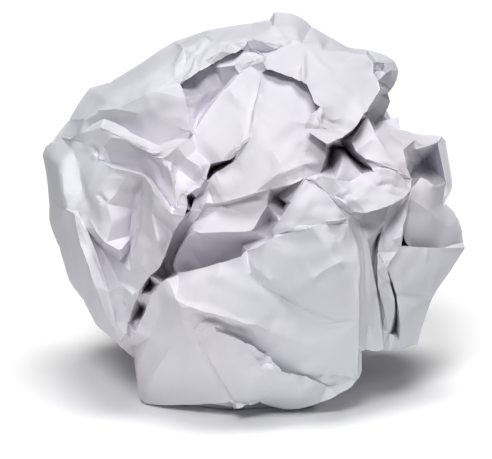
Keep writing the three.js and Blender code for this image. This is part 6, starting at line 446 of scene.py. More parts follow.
    (1.47, -0.31, [(11.5, -37.2, 31.0), (12.2, -37.6, 31.7), (12.9, -37.6, 32.3), (13.5, -37.6, 32.9), (14.2, -37.7, 33.5), (15.1, -38.0, 33.9), (15.9, -38.2, 34.2), (16.8, -38.1, 34.5), (17.7, -37.5, 34.7)]),
    (1.26, -0.56, [(-1.6, -37.1, 36.1), (-0.9, -36.8, 35.3), (-0.3, -37.4, 34.6), (0.4, -37.2, 33.8), (1.1, -37.0, 33.0), (1.8, -36.8, 32.2), (2.5, -36.7, 31.6), (3.3, -36.4, 30.9), (4.0, -36.1, 30.1), (4.7, -35.8, 29.5), (5.5, -35.6, 28.9), (6.2, -35.1, 28.2), (7.0, -34.6, 27.6), (7.9, -34.3, 26.9), (8.8, -34.1, 26.2), (9.7, -33.9, 25.6), (10.8, -33.8, 25.1), (11.8, -33.7, 24.6), (12.9, -33.6, 24.1), (13.8, -33.5, 23.8), (14.7, -33.5, 23.5), (15.6, -33.3, 23.2), (16.5, -33.1, 22.9), (17.4, -33.1, 22.6), (18.4, -33.3, 22.4)]),
    (1.26, 0.31, [(-0.6, -36.2, 36.3), (0.0, -37.5, 35.8), (0.7, -37.4, 35.0), (1.4, -37.1, 34.2), (2.1, -36.7, 33.3), (2.8, -36.8, 32.7), (3.5, -36.8, 32.1), (4.2, -36.5, 31.4), (5.0, -36.2, 30.8), (5.7, -35.9, 30.1), (6.3, -35.9, 29.6), (7.0, -35.6, 29.0), (7.7, -35.1, 28.3)]),
    (1.05, 0.38, [(18.5, -34.8, 43.6), (18.8, -34.1, 42.5), (19.2, -33.6, 41.5), (19.5, -33.0, 40.4), (19.8, -33.0, 39.5), (20.2, -33.1, 38.6), (20.3, -33.5, 37.7), (20.4, -33.8, 36.9), (20.6, -34.2, 36.0), (20.7, -34.2, 35.1), (20.7, -34.4, 34.1), (20.7, -34.6, 33.1), (20.6, -34.9, 32.1), (20.6, -35.1, 31.2), (20.6, -35.3, 30.2), (20.6, -35.1, 29.1), (20.6, -34.9, 28.0), (20.5, -34.6, 26.9), (20.5, -34.3, 25.8), (20.5, -34.1, 24.7), (20.5, -33.7, 23.6), (20.4, -33.1, 22.4), (20.4, -32.4, 21.2), (20.4, -31.7, 19.9)]),
    (1.05, -0.31, [(21.6, -30.5, 40.6), (21.7, -31.3, 39.8), (21.8, -31.7, 38.9), (21.9, -32.1, 38.0), (22.0, -32.1, 37.0), (22.1, -32.2, 36.0), (22.2, -32.1, 35.0), (22.3, -32.2, 34.0), (22.3, -32.3, 33.1), (22.4, -32.4, 32.2), (22.4, -32.6, 31.3), (22.5, -32.7, 30.3), (22.5, -32.6, 29.4), (22.6, -32.2, 28.3), (22.7, -31.7, 27.2)]),
    (1.16, 0.38, [(24.7, -27.4, 43.3), (25.1, -27.6, 42.4), (25.6, -25.8, 41.0), (26.0, -25.5, 39.9), (26.4, -26.2, 39.1), (26.4, -27.1, 38.2), (26.5, -27.7, 37.2), (26.6, -27.6, 36.1), (26.6, -28.2, 35.1), (26.7, -28.8, 34.2)]),
    (0.84, 0.44, [(34.5, -22.1, 35.3), (34.7, -22.0, 34.1), (34.9, -21.8, 33.0)]),
    (1.68, 0.25, [(29.2, -26.4, 33.6), (29.2, -26.2, 32.6), (29.1, -26.0, 31.7), (29.1, -25.8, 30.7), (29.0, -25.7, 29.7), (28.9, -25.6, 28.7), (29.0, -25.5, 27.7), (29.1, -25.3, 26.6), (29.1, -25.3, 25.6), (29.2, -23.8, 24.2), (29.4, -21.5, 22.6), (29.5, -21.1, 21.4), (29.6, -20.5, 20.2)]),
    (1.89, 0.25, [(37.8, -18.9, 31.8), (37.4, -19.2, 30.9), (37.1, -19.6, 30.0), (36.8, -19.4, 28.9), (36.5, -18.9, 27.7), (36.2, -18.4, 26.5), (36.0, -17.8, 25.4), (35.7, -17.2, 24.2), (35.4, -17.4, 23.3), (35.2, -16.7, 22.1), (35.0, -16.1, 21.0), (34.7, -15.4, 19.8), (34.5, -14.8, 18.6), (34.2, -14.1, 17.4), (34.0, -13.5, 16.3)]),
    (1.26, 0.69, [(-15.0, -35.7, 28.6), (-14.3, -36.3, 28.0), (-13.6, -36.8, 27.3), (-12.8, -37.4, 27.3), (-11.9, -37.8, 27.3), (-11.1, -38.3, 27.3), (-10.2, -38.7, 27.3), (-9.4, -38.9, 27.2), (-8.6, -39.0, 27.1), (-7.7, -39.0, 26.7), (-6.8, -39.0, 26.3), (-5.9, -38.9, 25.9), (-4.9, -38.8, 25.4), (-3.9, -38.7, 25.0), (-3.0, -38.5, 24.5), (-1.9, -38.5, 24.4), (-0.9, -38.4, 24.1), (0.1, -37.9, 23.8)]),
    (1.26, -0.44, [(-12.8, -37.4, 26.3), (-11.9, -37.9, 26.2), (-11.0, -37.8, 26.0), (-10.1, -37.0, 25.6), (-9.1, -36.0, 24.9), (-8.1, -36.2, 24.6), (-7.0, -36.7, 24.3), (-6.2, -37.1, 24.0), (-5.3, -37.0, 23.6), (-4.4, -36.8, 23.1), (-3.6, -36.6, 22.7), (-2.6, -36.7, 22.5), (-1.7, -36.7, 22.3), (-0.8, -36.7, 22.1)]),
    (1.05, 0.38, [(-13.1, -36.7, 23.3), (-12.2, -36.6, 23.7), (-11.4, -36.2, 24.1), (-10.6, -36.0, 24.5), (-9.7, -35.9, 24.7), (-8.9, -36.2, 25.0), (-8.0, -37.2, 25.4), (-7.2, -37.9, 25.5), (-6.3, -38.4, 25.5), (-5.5, -38.6, 25.4)]),
    (1.16, 0.28, [(-7.6, -37.1, 22.4), (-6.7, -37.2, 22.0), (-5.7, -37.3, 21.6), (-4.7, -37.3, 21.2), (-3.7, -37.2, 20.7), (-2.8, -37.1, 20.2), (-1.8, -37.0, 19.7), (-0.9, -36.8, 19.3), (0.0, -36.8, 18.9), (1.0, -33.2, 17.5), (1.9, -32.8, 17.0)]),
    (1.16, 0.45, [(-1.4, -34.7, 15.6), (-0.3, -34.3, 15.3), (0.7, -34.2, 14.9), (1.7, -33.7, 14.6), (2.7, -34.2, 14.5), (3.7, -34.2, 14.2), (4.8, -33.5, 13.6)]),
    (1.26, -0.45, [(-1.0, -35.4, 17.1), (-0.1, -35.4, 16.7), (0.7, -34.8, 16.1), (1.8, -34.1, 15.5), (2.9, -33.6, 14.9)]),
    (1.16, 0.25, [(0.3, -36.2, 17.9), (1.3, -35.4, 17.4), (2.2, -34.1, 16.6), (3.1, -32.1, 15.7), (3.9, -31.4, 14.8), (4.7, -30.8, 13.9)]),
    (1.16, -0.56, [(-13.3, -36.9, 24.3), (-12.8, -36.8, 23.4), (-12.3, -36.8, 22.5), (-11.9, -36.6, 21.6), (-11.4, -36.2, 20.6), (-11.0, -35.8, 19.6), (-10.5, -35.1, 18.6), (-10.1, -34.3, 17.6), (-9.6, -33.4, 16.5), (-9.2, -32.5, 15.4), (-8.7, -31.7, 14.4), (-8.2, -30.7, 13.2), (-7.7, -29.7, 12.0), (-7.2, -28.8, 10.9), (-6.7, -27.7, 9.6), (-6.2, -26.7, 8.4), (-5.6, -25.5, 7.1), (-5.0, -24.9, 5.9), (-4.4, -24.5, 4.8), (-3.8, -24.6, 3.8)]),
    (1.16, 0.44, [(-12.5, -37.0, 24.8), (-12.0, -36.5, 23.7), (-11.6, -36.5, 22.9), (-11.1, -36.6, 22.0), (-10.6, -36.2, 21.0), (-10.2, -35.9, 20.0), (-9.7, -35.3, 19.1), (-9.3, -34.4, 18.0), (-8.8, -33.5, 17.0), (-8.4, -33.1, 16.0), (-7.9, -32.9, 15.1), (-7.4, -31.9, 14.0), (-6.9, -30.9, 12.8), (-6.4, -29.9, 11.6), (-5.9, -28.8, 10.4), (-5.4, -27.8, 9.2), (-4.8, -26.7, 7.8), (-4.2, -26.0, 6.7), (-3.6, -25.6, 5.5), (-3.0, -24.6, 4.2)]),
    (0.95, -0.50, [(-4.3, -21.1, 2.8), (-3.2, -24.6, 3.8), (-2.2, -24.6, 3.8), (-1.2, -25.0, 3.9), (-0.3, -25.4, 4.3), (0.7, -24.8, 4.3), (1.6, -24.0, 4.3), (2.7, -24.7, 4.9), (3.7, -25.7, 5.6), (4.8, -26.2, 6.2)]),
    (2.10, 0.28, [(-9.9, -35.5, 34.0), (-9.0, -36.2, 33.8), (-8.1, -37.1, 33.7), (-7.1, -38.0, 33.6), (-6.2, -38.3, 33.4), (-5.3, -38.3, 33.1), (-4.3, -38.3, 32.6), (-3.3, -38.3, 32.2), (-2.4, -38.3, 31.8), (-1.4, -38.2, 31.3), (-0.5, -37.9, 30.8), (0.5, -37.5, 30.3), (1.4, -37.0, 29.8), (2.3, -36.6, 29.3), (3.2, -36.3, 28.8)]),
    (1.05, -0.62, [(12.0, -26.2, 9.5), (12.9, -26.0, 9.6), (13.7, -25.8, 9.7), (14.6, -25.5, 9.7), (15.5, -24.9, 9.5), (16.4, -24.3, 9.3), (17.3, -23.8, 9.0), (18.3, -23.0, 8.7), (19.4, -22.4, 8.4), (20.4, -22.1, 8.1)]),
    (2.31, 0.25, [(-20.2, -28.8, 24.0), (-20.0, -28.1, 22.9), (-19.8, -27.5, 21.8), (-19.6, -26.8, 20.7), (-19.4, -26.7, 19.7), (-19.1, -27.0, 18.8), (-19.1, -25.9, 17.4), (-19.0, -24.6, 16.0), (-18.9, -23.3, 14.6), (-18.8, -23.4, 13.5), (-18.7, -24.0, 12.5), (-18.6, -23.9, 11.4), (-18.5, -23.0, 10.1)]),
    (2.10, 0.31, [(-31.6, -11.8, 59.4), (-30.7, -12.5, 59.6), (-29.7, -13.4, 60.0), (-28.7, -14.6, 60.3), (-27.7, -15.8, 60.7), (-26.7, -16.9, 61.0), (-25.7, -17.9, 61.4), (-24.7, -18.8, 61.8), (-23.7, -19.7, 62.1), (-22.7, -20.7, 62.5), (-21.7, -21.4, 62.8), (-20.8, -21.9, 63.3), (-19.8, -22.3, 63.7), (-18.9, -22.8, 64.1), (-18.0, -23.2, 64.6), (-17.0, -23.6, 65.0), (-16.1, -23.9, 65.4)]),
    (2.52, 0.25, [(-30.9, -7.3, 63.7), (-29.8, -9.1, 64.4), (-28.8, -10.1, 64.9), (-27.8, -11.5, 65.4), (-26.7, -12.8, 66.0), (-25.8, -13.6, 66.4), (-24.8, -14.3, 66.9), (-23.8, -14.9, 67.4), (-22.9, -15.2, 67.8), (-22.0, -15.6, 68.3), (-21.0, -15.9, 68.7), (-20.1, -16.3, 69.2), (-19.2, -15.9, 69.5), (-18.3, -15.7, 69.9)]),
    (1.26, 0.31, [(-24.3, -26.9, 57.8), (-23.4, -27.9, 57.7), (-22.4, -28.9, 57.5), (-21.5, -29.9, 57.4), (-20.7, -30.4, 57.2), (-19.8, -30.7, 56.9), (-19.0, -30.5, 56.8), (-18.1, -31.1, 56.8), (-17.2, -31.8, 56.8), (-16.3, -32.0, 56.8)]),
    (1.47, -0.44, [(-20.9, -29.1, 56.2), (-20.2, -29.0, 55.4), (-19.6, -29.4, 54.7), (-19.0, -29.9, 54.0), (-18.3, -30.5, 53.3), (-18.0, -30.5, 52.5), (-17.6, -30.8, 51.7), (-17.3, -31.2, 50.9), (-16.9, -31.5, 50.2)]),
    (1.05, 0.44, [(-15.5, -31.7, 55.5), (-15.7, -31.5, 54.6), (-15.8, -32.6, 53.9), (-15.9, -33.2, 53.1), (-15.5, -33.6, 52.2), (-15.1, -33.7, 51.3), (-14.7, -34.0, 50.5)]),
    (1.26, 0.31, [(-12.8, -33.6, 50.4), (-12.2, -33.0, 50.9), (-11.5, -32.6, 51.5), (-10.9, -33.1, 52.3), (-10.3, -33.7, 53.4), (-9.7, -33.4, 54.3)]),
    (1.68, 0.25, [(-8.2, -32.8, 46.3), (-7.3, -32.9, 46.4), (-6.4, -33.0, 46.5), (-5.5, -33.1, 46.6), (-4.6, -33.3, 46.8), (-3.7, -33.4, 46.9), (-2.8, -33.6, 47.0), (-1.8, -33.7, 46.9), (-0.9, -33.7, 46.8), (0.0, -33.7, 46.7), (0.9, -33.9, 46.6), (1.9, -34.0, 46.5)]),
    (2.10, -0.31, [(-12.2, -30.0, 37.9), (-11.2, -30.9, 38.2), (-10.2, -31.8, 38.5), (-9.2, -32.0, 38.6), (-8.2, -31.9, 38.6), (-7.3, -31.7, 38.7), (-6.3, -31.5, 38.7), (-5.3, -31.3, 38.8), (-4.3, -31.1, 38.8), (-3.4, -31.1, 38.9), (-2.4, -31.2, 39.0), (-1.4, -31.4, 39.1), (-0.4, -31.6, 39.3)]),
    (1.68, -0.25, [(31.4, -25.6, 46.8), (32.4, -24.7, 46.1), (33.4, -23.7, 45.4), (34.4, -22.6, 44.6), (35.4, -21.5, 43.9), (36.0, -20.1, 42.8), (36.6, -19.4, 41.8), (37.1, -18.8, 40.9), (37.7, -17.9, 39.9)]),
    (2.52, 0.25, [(-16.3, -27.8, 16.0), (-16.3, -26.9, 14.6), (-16.2, -26.1, 13.2), (-16.1, -25.2, 11.8), (-16.1, -24.3, 10.4), (-16.3, -23.4, 9.1), (-16.6, -22.2, 7.7), (-16.8, -20.8, 6.3), (-17.1, -19.4, 4.8)]),
    (1.47, 0.25, [(1.9, -32.0, 41.0), (2.8, -30.1, 40.7), (3.7, -32.0, 41.2), (4.6, -35.5, 42.1), (5.5, -36.1, 42.4), (6.3, -36.8, 42.7), (7.2, -37.4, 42.9), (8.2, -37.3, 42.9), (9.1, -37.5, 42.9), (10.1, -38.2, 43.0), (11.0, -38.6, 43.1), (12.0, -38.3, 43.0), (13.0, -37.8, 42.9), (14.0, -37.4, 42.8), (14.9, -36.7, 42.6)]),
    (2.52, -0.31, [(4.4, -36.9, 40.5), (5.3, -37.0, 40.4), (6.3, -37.1, 40.3), (7.2, -37.2, 40.2), (8.2, -37.4, 40.1), (9.2, -37.8, 40.1), (10.1, -38.2, 40.3), (11.1, -38.4, 40.4), (12.0, -38.6, 40.6), (13.0, -38.8, 40.8), (13.9, -38.7, 40.9)]),
    (2.52, 0.22, [(6.6, -34.5, 23.5), (7.1, -34.4, 22.5), (7.7, -34.2, 21.6), (8.2, -34.0, 20.6), (8.8, -33.8, 19.6), (9.4, -33.6, 18.6), (10.2, -33.0, 17.8), (11.0, -32.3, 17.0), (11.8, -31.7, 16.2), (12.6, -31.0, 15.4), (13.4, -30.4, 14.6)]),
    (2.10, -0.22, [(15.3, -32.6, 19.4), (14.7, -32.7, 18.6), (14.1, -32.7, 17.8), (13.5, -32.0, 16.7), (13.0, -31.2, 15.7), (12.1, -30.9, 15.2), (11.3, -30.5, 14.7), (10.4, -30.2, 14.2), (9.6, -29.9, 13.7), (8.7, -29.8, 13.2)]),
]

SEED = 7
LEVELS = 3              # rounds of smoothing between the folds
PAPER_T = 0.12          # mm, real thickness that the raw edges show
PINCH = 0.16            # mm, how far a sharp fold stands proud of its panels
rng = np.random.default_rng(SEED)


def unit(a):
    return a / np.maximum(np.linalg.norm(a, axis=-1, keepdims=True), 1e-12)


def face_normals(v, f):
    return unit(np.cross(v[f[:, 1]] - v[f[:, 0]], v[f[:, 2]] - v[f[:, 0]]))


def edge_table(f):
    """Every edge once (low, high), the edge of each panel side, and the panels on each edge."""
    e = np.stack([f[:, [0, 1]], f[:, [1, 2]], f[:, [2, 0]]], 1).reshape(-1, 2)
    lo, hi = e.min(1), e.max(1)
    key = lo * 4000000 + hi
    uniq, inv = np.unique(key, return_inverse=True)
    inv = inv.reshape(-1)
    edges = np.stack([uniq // 4000000, uniq % 4000000], 1)
    count = np.bincount(inv, minlength=len(edges))
    first = np.full(len(edges), -1)
    second = np.full(len(edges), -1)
    side = np.arange(len(inv))
    first[inv[::-1]] = side[::-1]
    second[inv] = side
    return edges, inv.reshape(-1, 3), count, first, second


def fold_sharpness(v, f, edges, count, first, second):
    """How crisp each edge is: the folds as listed, and the rest by how far the panels turn there."""
    n = face_normals(v, f)
    turn = np.degrees(np.arccos(np.clip((n[first // 3] * n[second // 3]).sum(1), -1, 1)))
    s = np.clip((turn - 14) / 18, 0, 1.6)
    table = {(min(a, b), max(a, b)): w / 10 for a, b, w in FOLDS.tolist()}
    for i, (a, b) in enumerate(edges.tolist()):
        w = table.get((a, b))
        if w is not None:
            s[i] = max(s[i], {1.0: 3.0, 0.9: 2.8, 0.8: 2.5, 0.7: 2.2, 0.6: 1.8, 0.5: 1.4, 0.4: 1.0}.get(w, 1.0) * min(1.0, 0.5 + turn[i] / 24))
    s[count == 1] = 4.0
    return s


def refine(v, f, s, kept, edges, inv, count, first, second):
    """One round of Loop's scheme, in which a sharp edge stays an edge; kept is a value that edges hand on."""
    nv = len(v)
    opp = f[:, [2, 0, 1]].reshape(-1)          # the corner across from each side
    a, b = v[edges[:, 0]], v[edges[:, 1]]
    mid = (a + b) / 2
    smooth = 0.375 * (a + b) + 0.125 * (v[opp[first]] + v[opp[second]])
    t = np.clip(s, 0, 1)[:, None]
    t = np.where((count == 1)[:, None], 1.0, t)
    epts = smooth * (1 - t) + mid * t
    # old points
    deg = np.bincount(edges.reshape(-1), minlength=nv)
    ring = np.zeros_like(v)
    np.add.at(ring, edges[:, 0], b)
    np.add.at(ring, edges[:, 1], a)
    beta = np.where(deg == 3, 3 / 16, 3 / (8 * np.maximum(deg, 1)))[:, None]
    vs = v * (1 - deg[:, None] * beta) + ring * beta
    sharp = s > 0.05
    ns = np.bincount(edges[sharp].reshape(-1), minlength=nv)
    cr = np.zeros_like(v)
    np.add.at(cr, edges[sharp, 0], b[sharp])
    np.add.at(cr, edges[sharp, 1], a[sharp])
    ssum = np.zeros(nv)
    np.add.at(ssum, edges[sharp, 0], s[sharp])
    np.add.at(ssum, edges[sharp, 1], s[sharp])
    mean = np.clip(ssum / np.maximum(ns, 1), 0, 1)[:, None]
    crease = v * 0.75 + cr * 0.125
    out = vs.copy()
    two = ns == 2
    out[two] = (vs * (1 - mean) + crease * mean)[two]
    corner = ns > 2
    out[corner] = (vs * (1 - mean) + v * mean)[corner]
    # new panels
    e = inv + nv
    nf = np.concatenate([
        np.stack([f[:, 0], e[:, 0], e[:, 2]], 1),
        np.stack([f[:, 1], e[:, 1], e[:, 0]], 1),
        np.stack([f[:, 2], e[:, 2], e[:, 1]], 1),
        e,
    ])
    nvv = np.concatenate([out, epts])
    # sharpness handed on to the two halves of each edge
    key = {}
    ns2 = np.maximum(s - 1, 0)
    half_lo = np.minimum(edges, (np.arange(len(edges)) + nv)[:, None])
    half_hi = np.maximum(edges, (np.arange(len(edges)) + nv)[:, None])
    keys = (half_lo * 4000000 + half_hi).reshape(-1)
    vals = np.repeat(ns2, 2)
    table = edge_table(nf)
    k2 = table[0][:, 0] * 4000000 + table[0][:, 1]
    order = np.argsort(keys)
    pos = np.searchsorted(keys[order], k2)
    pos = np.clip(pos, 0, len(keys) - 1)
    hit = keys[order][pos] == k2
    s2 = np.where(hit, vals[order][pos], 0.0)
    s2[table[2] == 1] = 4.0
    kept2 = np.where(hit, np.repeat(kept, 2)[order][pos], 0.0)
    return nvv, nf, s2, kept2, table


def vertex_normals(v, f):
    n = np.cross(v[f[:, 1]] - v[f[:, 0]], v[f[:, 2]] - v[f[:, 0]])
    out = np.zeros_like(v)
    for k in range(3):
        np.add.at(out, f[:, k], n)
    return unit(out)


verts, faces = POINTS.copy(), PANELS.copy()
tab = edge_table(faces)
sharp = fold_sharpness(verts, faces, *[tab[i] for i in (0, 2, 3, 4)])
fold = sharp.copy()
for level in range(LEVELS):
    verts, faces, sharp, fold, tab = refine(verts, faces, sharp, fold, *tab)

# ---------------------------------------------------------------- small folds
# Short creases and shallow dents that the sheet picked up between its folds.
nrm = vertex_normals(verts, faces)
push = np.zeros(len(verts))


def small_fold(centre, normal, along, length, width, height):
    """A straight ridge or groove with a crisp crest: height in mm, below zero is a groove."""
    d = verts - centre
    near = (np.abs(d).max(1) < length) & ((nrm @ normal) > 0.35)
    d = d[near]
    across = np.cross(normal, along)
    u = d @ along / (length / 2)
    w = np.abs(d @ across) / width
    deep = np.abs(d @ normal) < 5
    taper = np.clip(1 - u * u, 0, 1) ** 0.8
    crest = np.clip(1 - w, 0, 1)
    push[near] += height * taper * crest ** 1.4 * deep


def fine_crease(width, height, line):
    """A narrow crease that follows a line on the sheet and fades out at both ends."""
    line = np.array(line)
    near = np.where(((verts > line.min(0) - 4) & (verts < line.max(0) + 4)).all(1))[0]
    if len(near) == 0:
        return
    p = verts[near]
    best = np.full(len(near), 1e9)
    along = np.zeros(len(near))
    steps = np.linalg.norm(np.diff(line, axis=0), axis=1)
    start = np.concatenate([[0], np.cumsum(steps)])
    for k in range(len(line) - 1):
        d = line[k + 1] - line[k]
        t = np.clip(((p - line[k]) @ d) / (d @ d), 0, 1)
        gap = p - (line[k] + t[:, None] * d)
        deep = np.abs((gap * nrm[near]).sum(1))
        side = np.sqrt(np.maximum((gap * gap).sum(1) - deep ** 2, 0))
        side = np.where(deep < 2.2, side, 1e9)
        better = side < best
        best = np.where(better, side, best)
        along = np.where(better, start[k] + t * steps[k], along)
    total = start[-1]
    fade = np.clip(np.minimum(along, total - along) / (0.25 * total) + 0.25, 0, 1)
    facing = nrm[near][:, 1] < 0.35
    push[near] += height * fade * np.clip(1 - best / width, 0, 1) ** 1.2 * facing


for width, height, line in FINE:
    fine_crease(width, height, line)

area_w = rng.permutation(len(verts))
for i in range(420):
    c = area_w[i]
    n0 = nrm[c]
    t0 = unit(np.cross(n0, unit(rng.normal(size=3))))
    length = rng.uniform(5, 17)
    width = rng.uniform(0.9, 2.6)
    height = rng.choice([-1, 1]) * rng.uniform(0.06, 0.26) * min(1.0, width / 1.6)
    small_fold(verts[c], n0, t0, length, width, height)
for i in range(260):
    c = area_w[1000 + i]
    d2 = ((verts - verts[c]) ** 2).sum(1)
    r = rng.uniform(1.6, 4.2)
    same = (nrm @ nrm[c]) > 0.3
    push += np.exp(-d2 / (2 * r * r)) * same * rng.choice([-1, 1]) * rng.uniform(0.04, 0.20)

# the pinch along each fold: a crest stands up a little and a groove is pressed in
edges, _, count, first, second = tab
fn = face_normals(verts, faces)
n1, n2 = fn[first // 3], fn[second // 3]
turn = np.degrees(np.arccos(np.clip((n1 * n2).sum(1), -1, 1)))
apex = verts[faces[:, [2, 0, 1]].reshape(-1)[second]]
crest = np.where(((apex - verts[edges[:, 0]]) * n1).sum(1) < 0, 1.0, -1.0)
strong = (count == 2) & (fold > 0.9)
amount = np.where(strong, crest * PINCH * np.clip(fold / 3, 0, 1) * np.clip((turn - 2) / 14, 0, 1), 0.0)
total = np.zeros(len(verts))
hits = np.zeros(len(verts))
for k in range(2):
    np.add.at(total, edges[strong, k], amount[strong])
    np.add.at(hits, edges[strong, k], 1)
push += total / np.maximum(hits, 1)
crisp = edges[(count == 2) & (fold >= 1.9) & (turn > 6)]

rim_edges = tab[0][tab[2] == 1]
on_rim = np.zeros(len(verts), bool)
on_rim[rim_edges.reshape(-1)] = True
push[on_rim] *= 0.3
verts = verts + nrm * push[:, None]
verts[:, 2] = np.maximum(verts[:, 2], 0.0)

# ---------------------------------------------------------------- raw edges
# The cut edge of the sheet shows its thickness, and the back of the sheet shows
# for a little way inside it.
nrm = vertex_normals(verts, faces)
extra_v, extra_f = [], []
if len(rim_edges):
    half = {}
    for p in faces.tolist():
        for a, b in ((p[0], p[1]), (p[1], p[2]), (p[2], p[0])):
            half[(a, b)] = p
    inner = {}

    def back_of(i, layer):
        if (i, layer) not in inner:
            depth = PAPER_T if layer == 0 else PAPER_T + 0.02
            inner[(i, layer)] = len(verts) + len(extra_v)
            extra_v.append(verts[i] - nrm[i] * depth)
        return inner[(i, layer)]

    band = set(int(i) for i in rim_edges.reshape(-1))
    near_faces = [p for p in faces.tolist() if any(i in band for i in p)]
    wide = set(i for p in near_faces for i in p)
    near_faces = [p for p in faces.tolist() if any(i in wide for i in p)]
    for p in near_faces:
        extra_f.append([back_of(p[0], 0), back_of(p[2], 0), back_of(p[1], 0)])
    for a, b in rim_edges.tolist():
        if (a, b) not in half:
            a, b = b, a
        extra_f.append([b, a, back_of(a, 0)])
        extra_f.append([b, back_of(a, 0), back_of(b, 0)])
if extra_v:
    verts = np.concatenate([verts, np.array(extra_v)])
    faces = np.concatenate([faces, np.array(extra_f, dtype=np.int64)])

# ---------------------------------------------------------------- the piece
mesh = bpy.data.meshes.new("paper_sheet")
mesh.from_pydata((verts / 1000.0).tolist(), [], faces.tolist())
mesh.update()
for p in mesh.polygons:
    p.use_smooth = True
mesh.set_sharp_from_angle(angle=math.radians(30))
crisp_set = set((int(a), int(b)) for a, b in crisp)
for e in mesh.edges:
    a, b = e.vertices
    if (a, b) in crisp_set or (b, a) in crisp_set:
        e.use_edge_sharp = True
ball = bpy.data.objects.new("paper_sheet", mesh)
bpy.context.scene.collection.objects.link(ball)
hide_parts("paper_ball")
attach(ball, "root")


# ---------------------------------------------------------------- materials
def new_material(name):
    m = bpy.data.materials.new(name)
    m.use_nodes = True
    nt = m.node_tree
    return m, nt, nt.nodes["Principled BSDF"]


paper, nt, bsdf = new_material("paper")
bsdf.inputs["Base Color"].default_value = (0.66, 0.657, 0.695, 1.0)
bsdf.inputs["Roughness"].default_value = 0.62
bsdf.inputs["Specular IOR Level"].default_value = 0.28
geo = nt.nodes.new("ShaderNodeTexCoord")
# very faint drift of tint over the sheet
tint = nt.nodes.new("ShaderNodeTexNoise")
tint.inputs["Scale"].default_value = 26.0
tint.inputs["Detail"].default_value = 2.0
ramp = nt.nodes.new("ShaderNodeValToRGB")
ramp.color_ramp.elements[0].position = 0.35
ramp.color_ramp.elements[0].color = (0.680, 0.652, 0.716, 1.0)
ramp.color_ramp.elements[1].position = 0.65
ramp.color_ramp.elements[1].color = (0.656, 0.663, 0.712, 1.0)
nt.links.new(geo.outputs["Object"], tint.inputs["Vector"])
nt.links.new(tint.outputs["Fac"], ramp.inputs["Fac"])
nt.links.new(ramp.outputs["Color"], bsdf.inputs["Base Color"])
# fibres, and the fine crackle of crushed paper
fibre = nt.nodes.new("ShaderNodeTexNoise")
fibre.inputs["Scale"].default_value = 1500.0
fibre.inputs["Detail"].default_value = 3.0
crackle = nt.nodes.new("ShaderNodeTexVoronoi")
crackle.feature = "F1"
crackle.inputs["Scale"].default_value = 190.0
b1 = nt.nodes.new("ShaderNodeBump")
b1.inputs["Strength"].default_value = 0.18
b1.inputs["Distance"].default_value = 0.0004
b2 = nt.nodes.new("ShaderNodeBump")
b2.inputs["Strength"].default_value = 0.12
b2.inputs["Distance"].default_value = 0.00005
nt.links.new(geo.outputs["Object"], fibre.inputs["Vector"])
nt.links.new(geo.outputs["Object"], crackle.inputs["Vector"])
nt.links.new(crackle.outputs["Distance"], b1.inputs["Height"])
nt.links.new(fibre.outputs["Fac"], b2.inputs["Height"])
nt.links.new(b1.outputs["Normal"], b2.inputs["Normal"])
nt.links.new(b2.outputs["Normal"], bsdf.inputs["Normal"])
mesh.materials.append(paper)

# ---------------------------------------------------------------- floor
floor_mat, fnt, fb = new_material("floor")
fb.inputs["Base Color"].default_value = (0.96, 0.96, 0.96, 1.0)
fb.inputs["Roughness"].default_value = 0.9
fb.inputs["Specular IOR Level"].default_value = 0.1
# the table is white behind the ball and a little greyer in front of it and to the
# sides, so that less light is thrown up under it
ftc = fnt.nodes.new("ShaderNodeTexCoord")
fsep = fnt.nodes.new("ShaderNodeSeparateXYZ")
framp = fnt.nodes.new("ShaderNodeMapRange")
framp.interpolation_type = "SMOOTHSTEP"
framp.inputs["From Min"].default_value = -0.11
framp.inputs["From Max"].default_value = -0.045
fside = fnt.nodes.new("ShaderNodeMath")
fside.operation = "ABSOLUTE"
fback = fnt.nodes.new("ShaderNodeMath")
fback.operation = "MULTIPLY_ADD"
fback.inputs[1].default_value = -0.108
fwide = fnt.nodes.new("ShaderNodeMapRange")
fwide.interpolation_type = "SMOOTHSTEP"
fwide.inputs["From Min"].default_value = 0.13
fwide.inputs["From Max"].default_value = 0.062
fboth = fnt.nodes.new("ShaderNodeMath")
fboth.operation = "MULTIPLY"
fcol = fnt.nodes.new("ShaderNodeValToRGB")
fcol.color_ramp.elements[0].color = (0.44, 0.44, 0.44, 1.0)
fcol.color_ramp.elements[1].color = (0.96, 0.96, 0.96, 1.0)
fnt.links.new(ftc.outputs["Object"], fsep.inputs["Vector"])
fnt.links.new(fsep.outputs["Y"], framp.inputs["Value"])
fnt.links.new(fsep.outputs["X"], fside.inputs[0])
fnt.links.new(fsep.outputs["Y"], fback.inputs[0])
fnt.links.new(fside.outputs["Value"], fback.inputs[2])
fnt.links.new(fback.outputs["Value"], fwide.inputs["Value"])
fnt.links.new(framp.outputs["Result"], fboth.inputs[0])
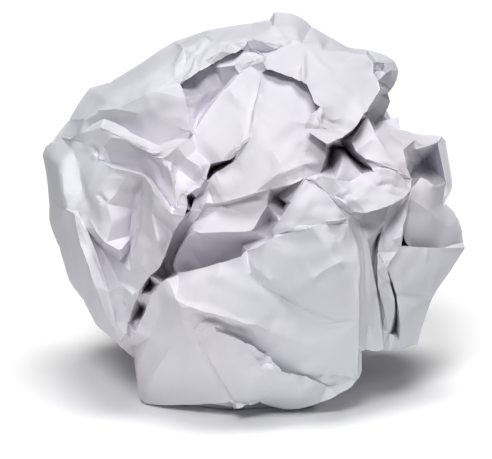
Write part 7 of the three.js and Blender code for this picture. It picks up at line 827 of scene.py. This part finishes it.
fnt.links.new(fwide.outputs["Result"], fboth.inputs[1])
fnt.links.new(fboth.outputs["Value"], fcol.inputs["Fac"])
fnt.links.new(fcol.outputs["Color"], fb.inputs["Base Color"])
fm = bpy.data.meshes.new("floor")
fm.from_pydata([(-3, -3, -0.0002), (3, -3, -0.0002), (3, 3, -0.0002), (-3, 3, -0.0002)], [], [(0, 1, 2, 3)])
fm.materials.append(floor_mat)
floor = bpy.data.objects.new("floor", fm)
bpy.context.scene.collection.objects.link(floor)

# ---------------------------------------------------------------- light
world = bpy.data.worlds.new("studio")
bpy.context.scene.world = world
world.use_nodes = True
bg = world.node_tree.nodes["Background"]
bg.inputs["Color"].default_value = (1.0, 1.0, 1.0, 1.0)
bg.inputs["Strength"].default_value = 0.08


def soft_sun(name, azimuth, elevation, angle, power):
    """A very large soft light far away; azimuth 0 is in front of the ball, to the right is positive."""
    l = bpy.data.lights.new(name, "SUN")
    l.angle = math.radians(angle)
    l.energy = power
    o = bpy.data.objects.new(name, l)
    bpy.context.scene.collection.objects.link(o)
    az, el = math.radians(azimuth), math.radians(elevation)
    d = Vector((math.sin(az) * math.cos(el), -math.cos(az) * math.cos(el), math.sin(el)))
    o.location = d
    o.rotation_euler = d.to_track_quat("Z", "Y").to_euler()
    return o


soft_sun("overhead", 14, 74, 28, 2.2)
soft_sun("front", -9, 40, 14, 1.7)

# ---------------------------------------------------------------- camera
elev = math.radians(12.5)
toward = Vector((0.0, -math.cos(elev), math.sin(elev)))
aim = Vector((-0.00122, -0.00071, 0.03451))
cam = bpy.data.cameras.new("camera")
cam.sensor_width = 36.0
cam.lens = 36.0 * 480.0 / (492 * 0.2085)
cam.clip_start = 0.01
co = bpy.data.objects.new("camera", cam)
bpy.context.scene.collection.objects.link(co)
co.location = aim + toward * 0.480
co.rotation_euler = toward.to_track_quat("Z", "Y").to_euler()
bpy.context.scene.camera = co
bpy.context.scene.view_settings.view_transform = "Standard"
bpy.context.scene.view_settings.exposure = 0.0
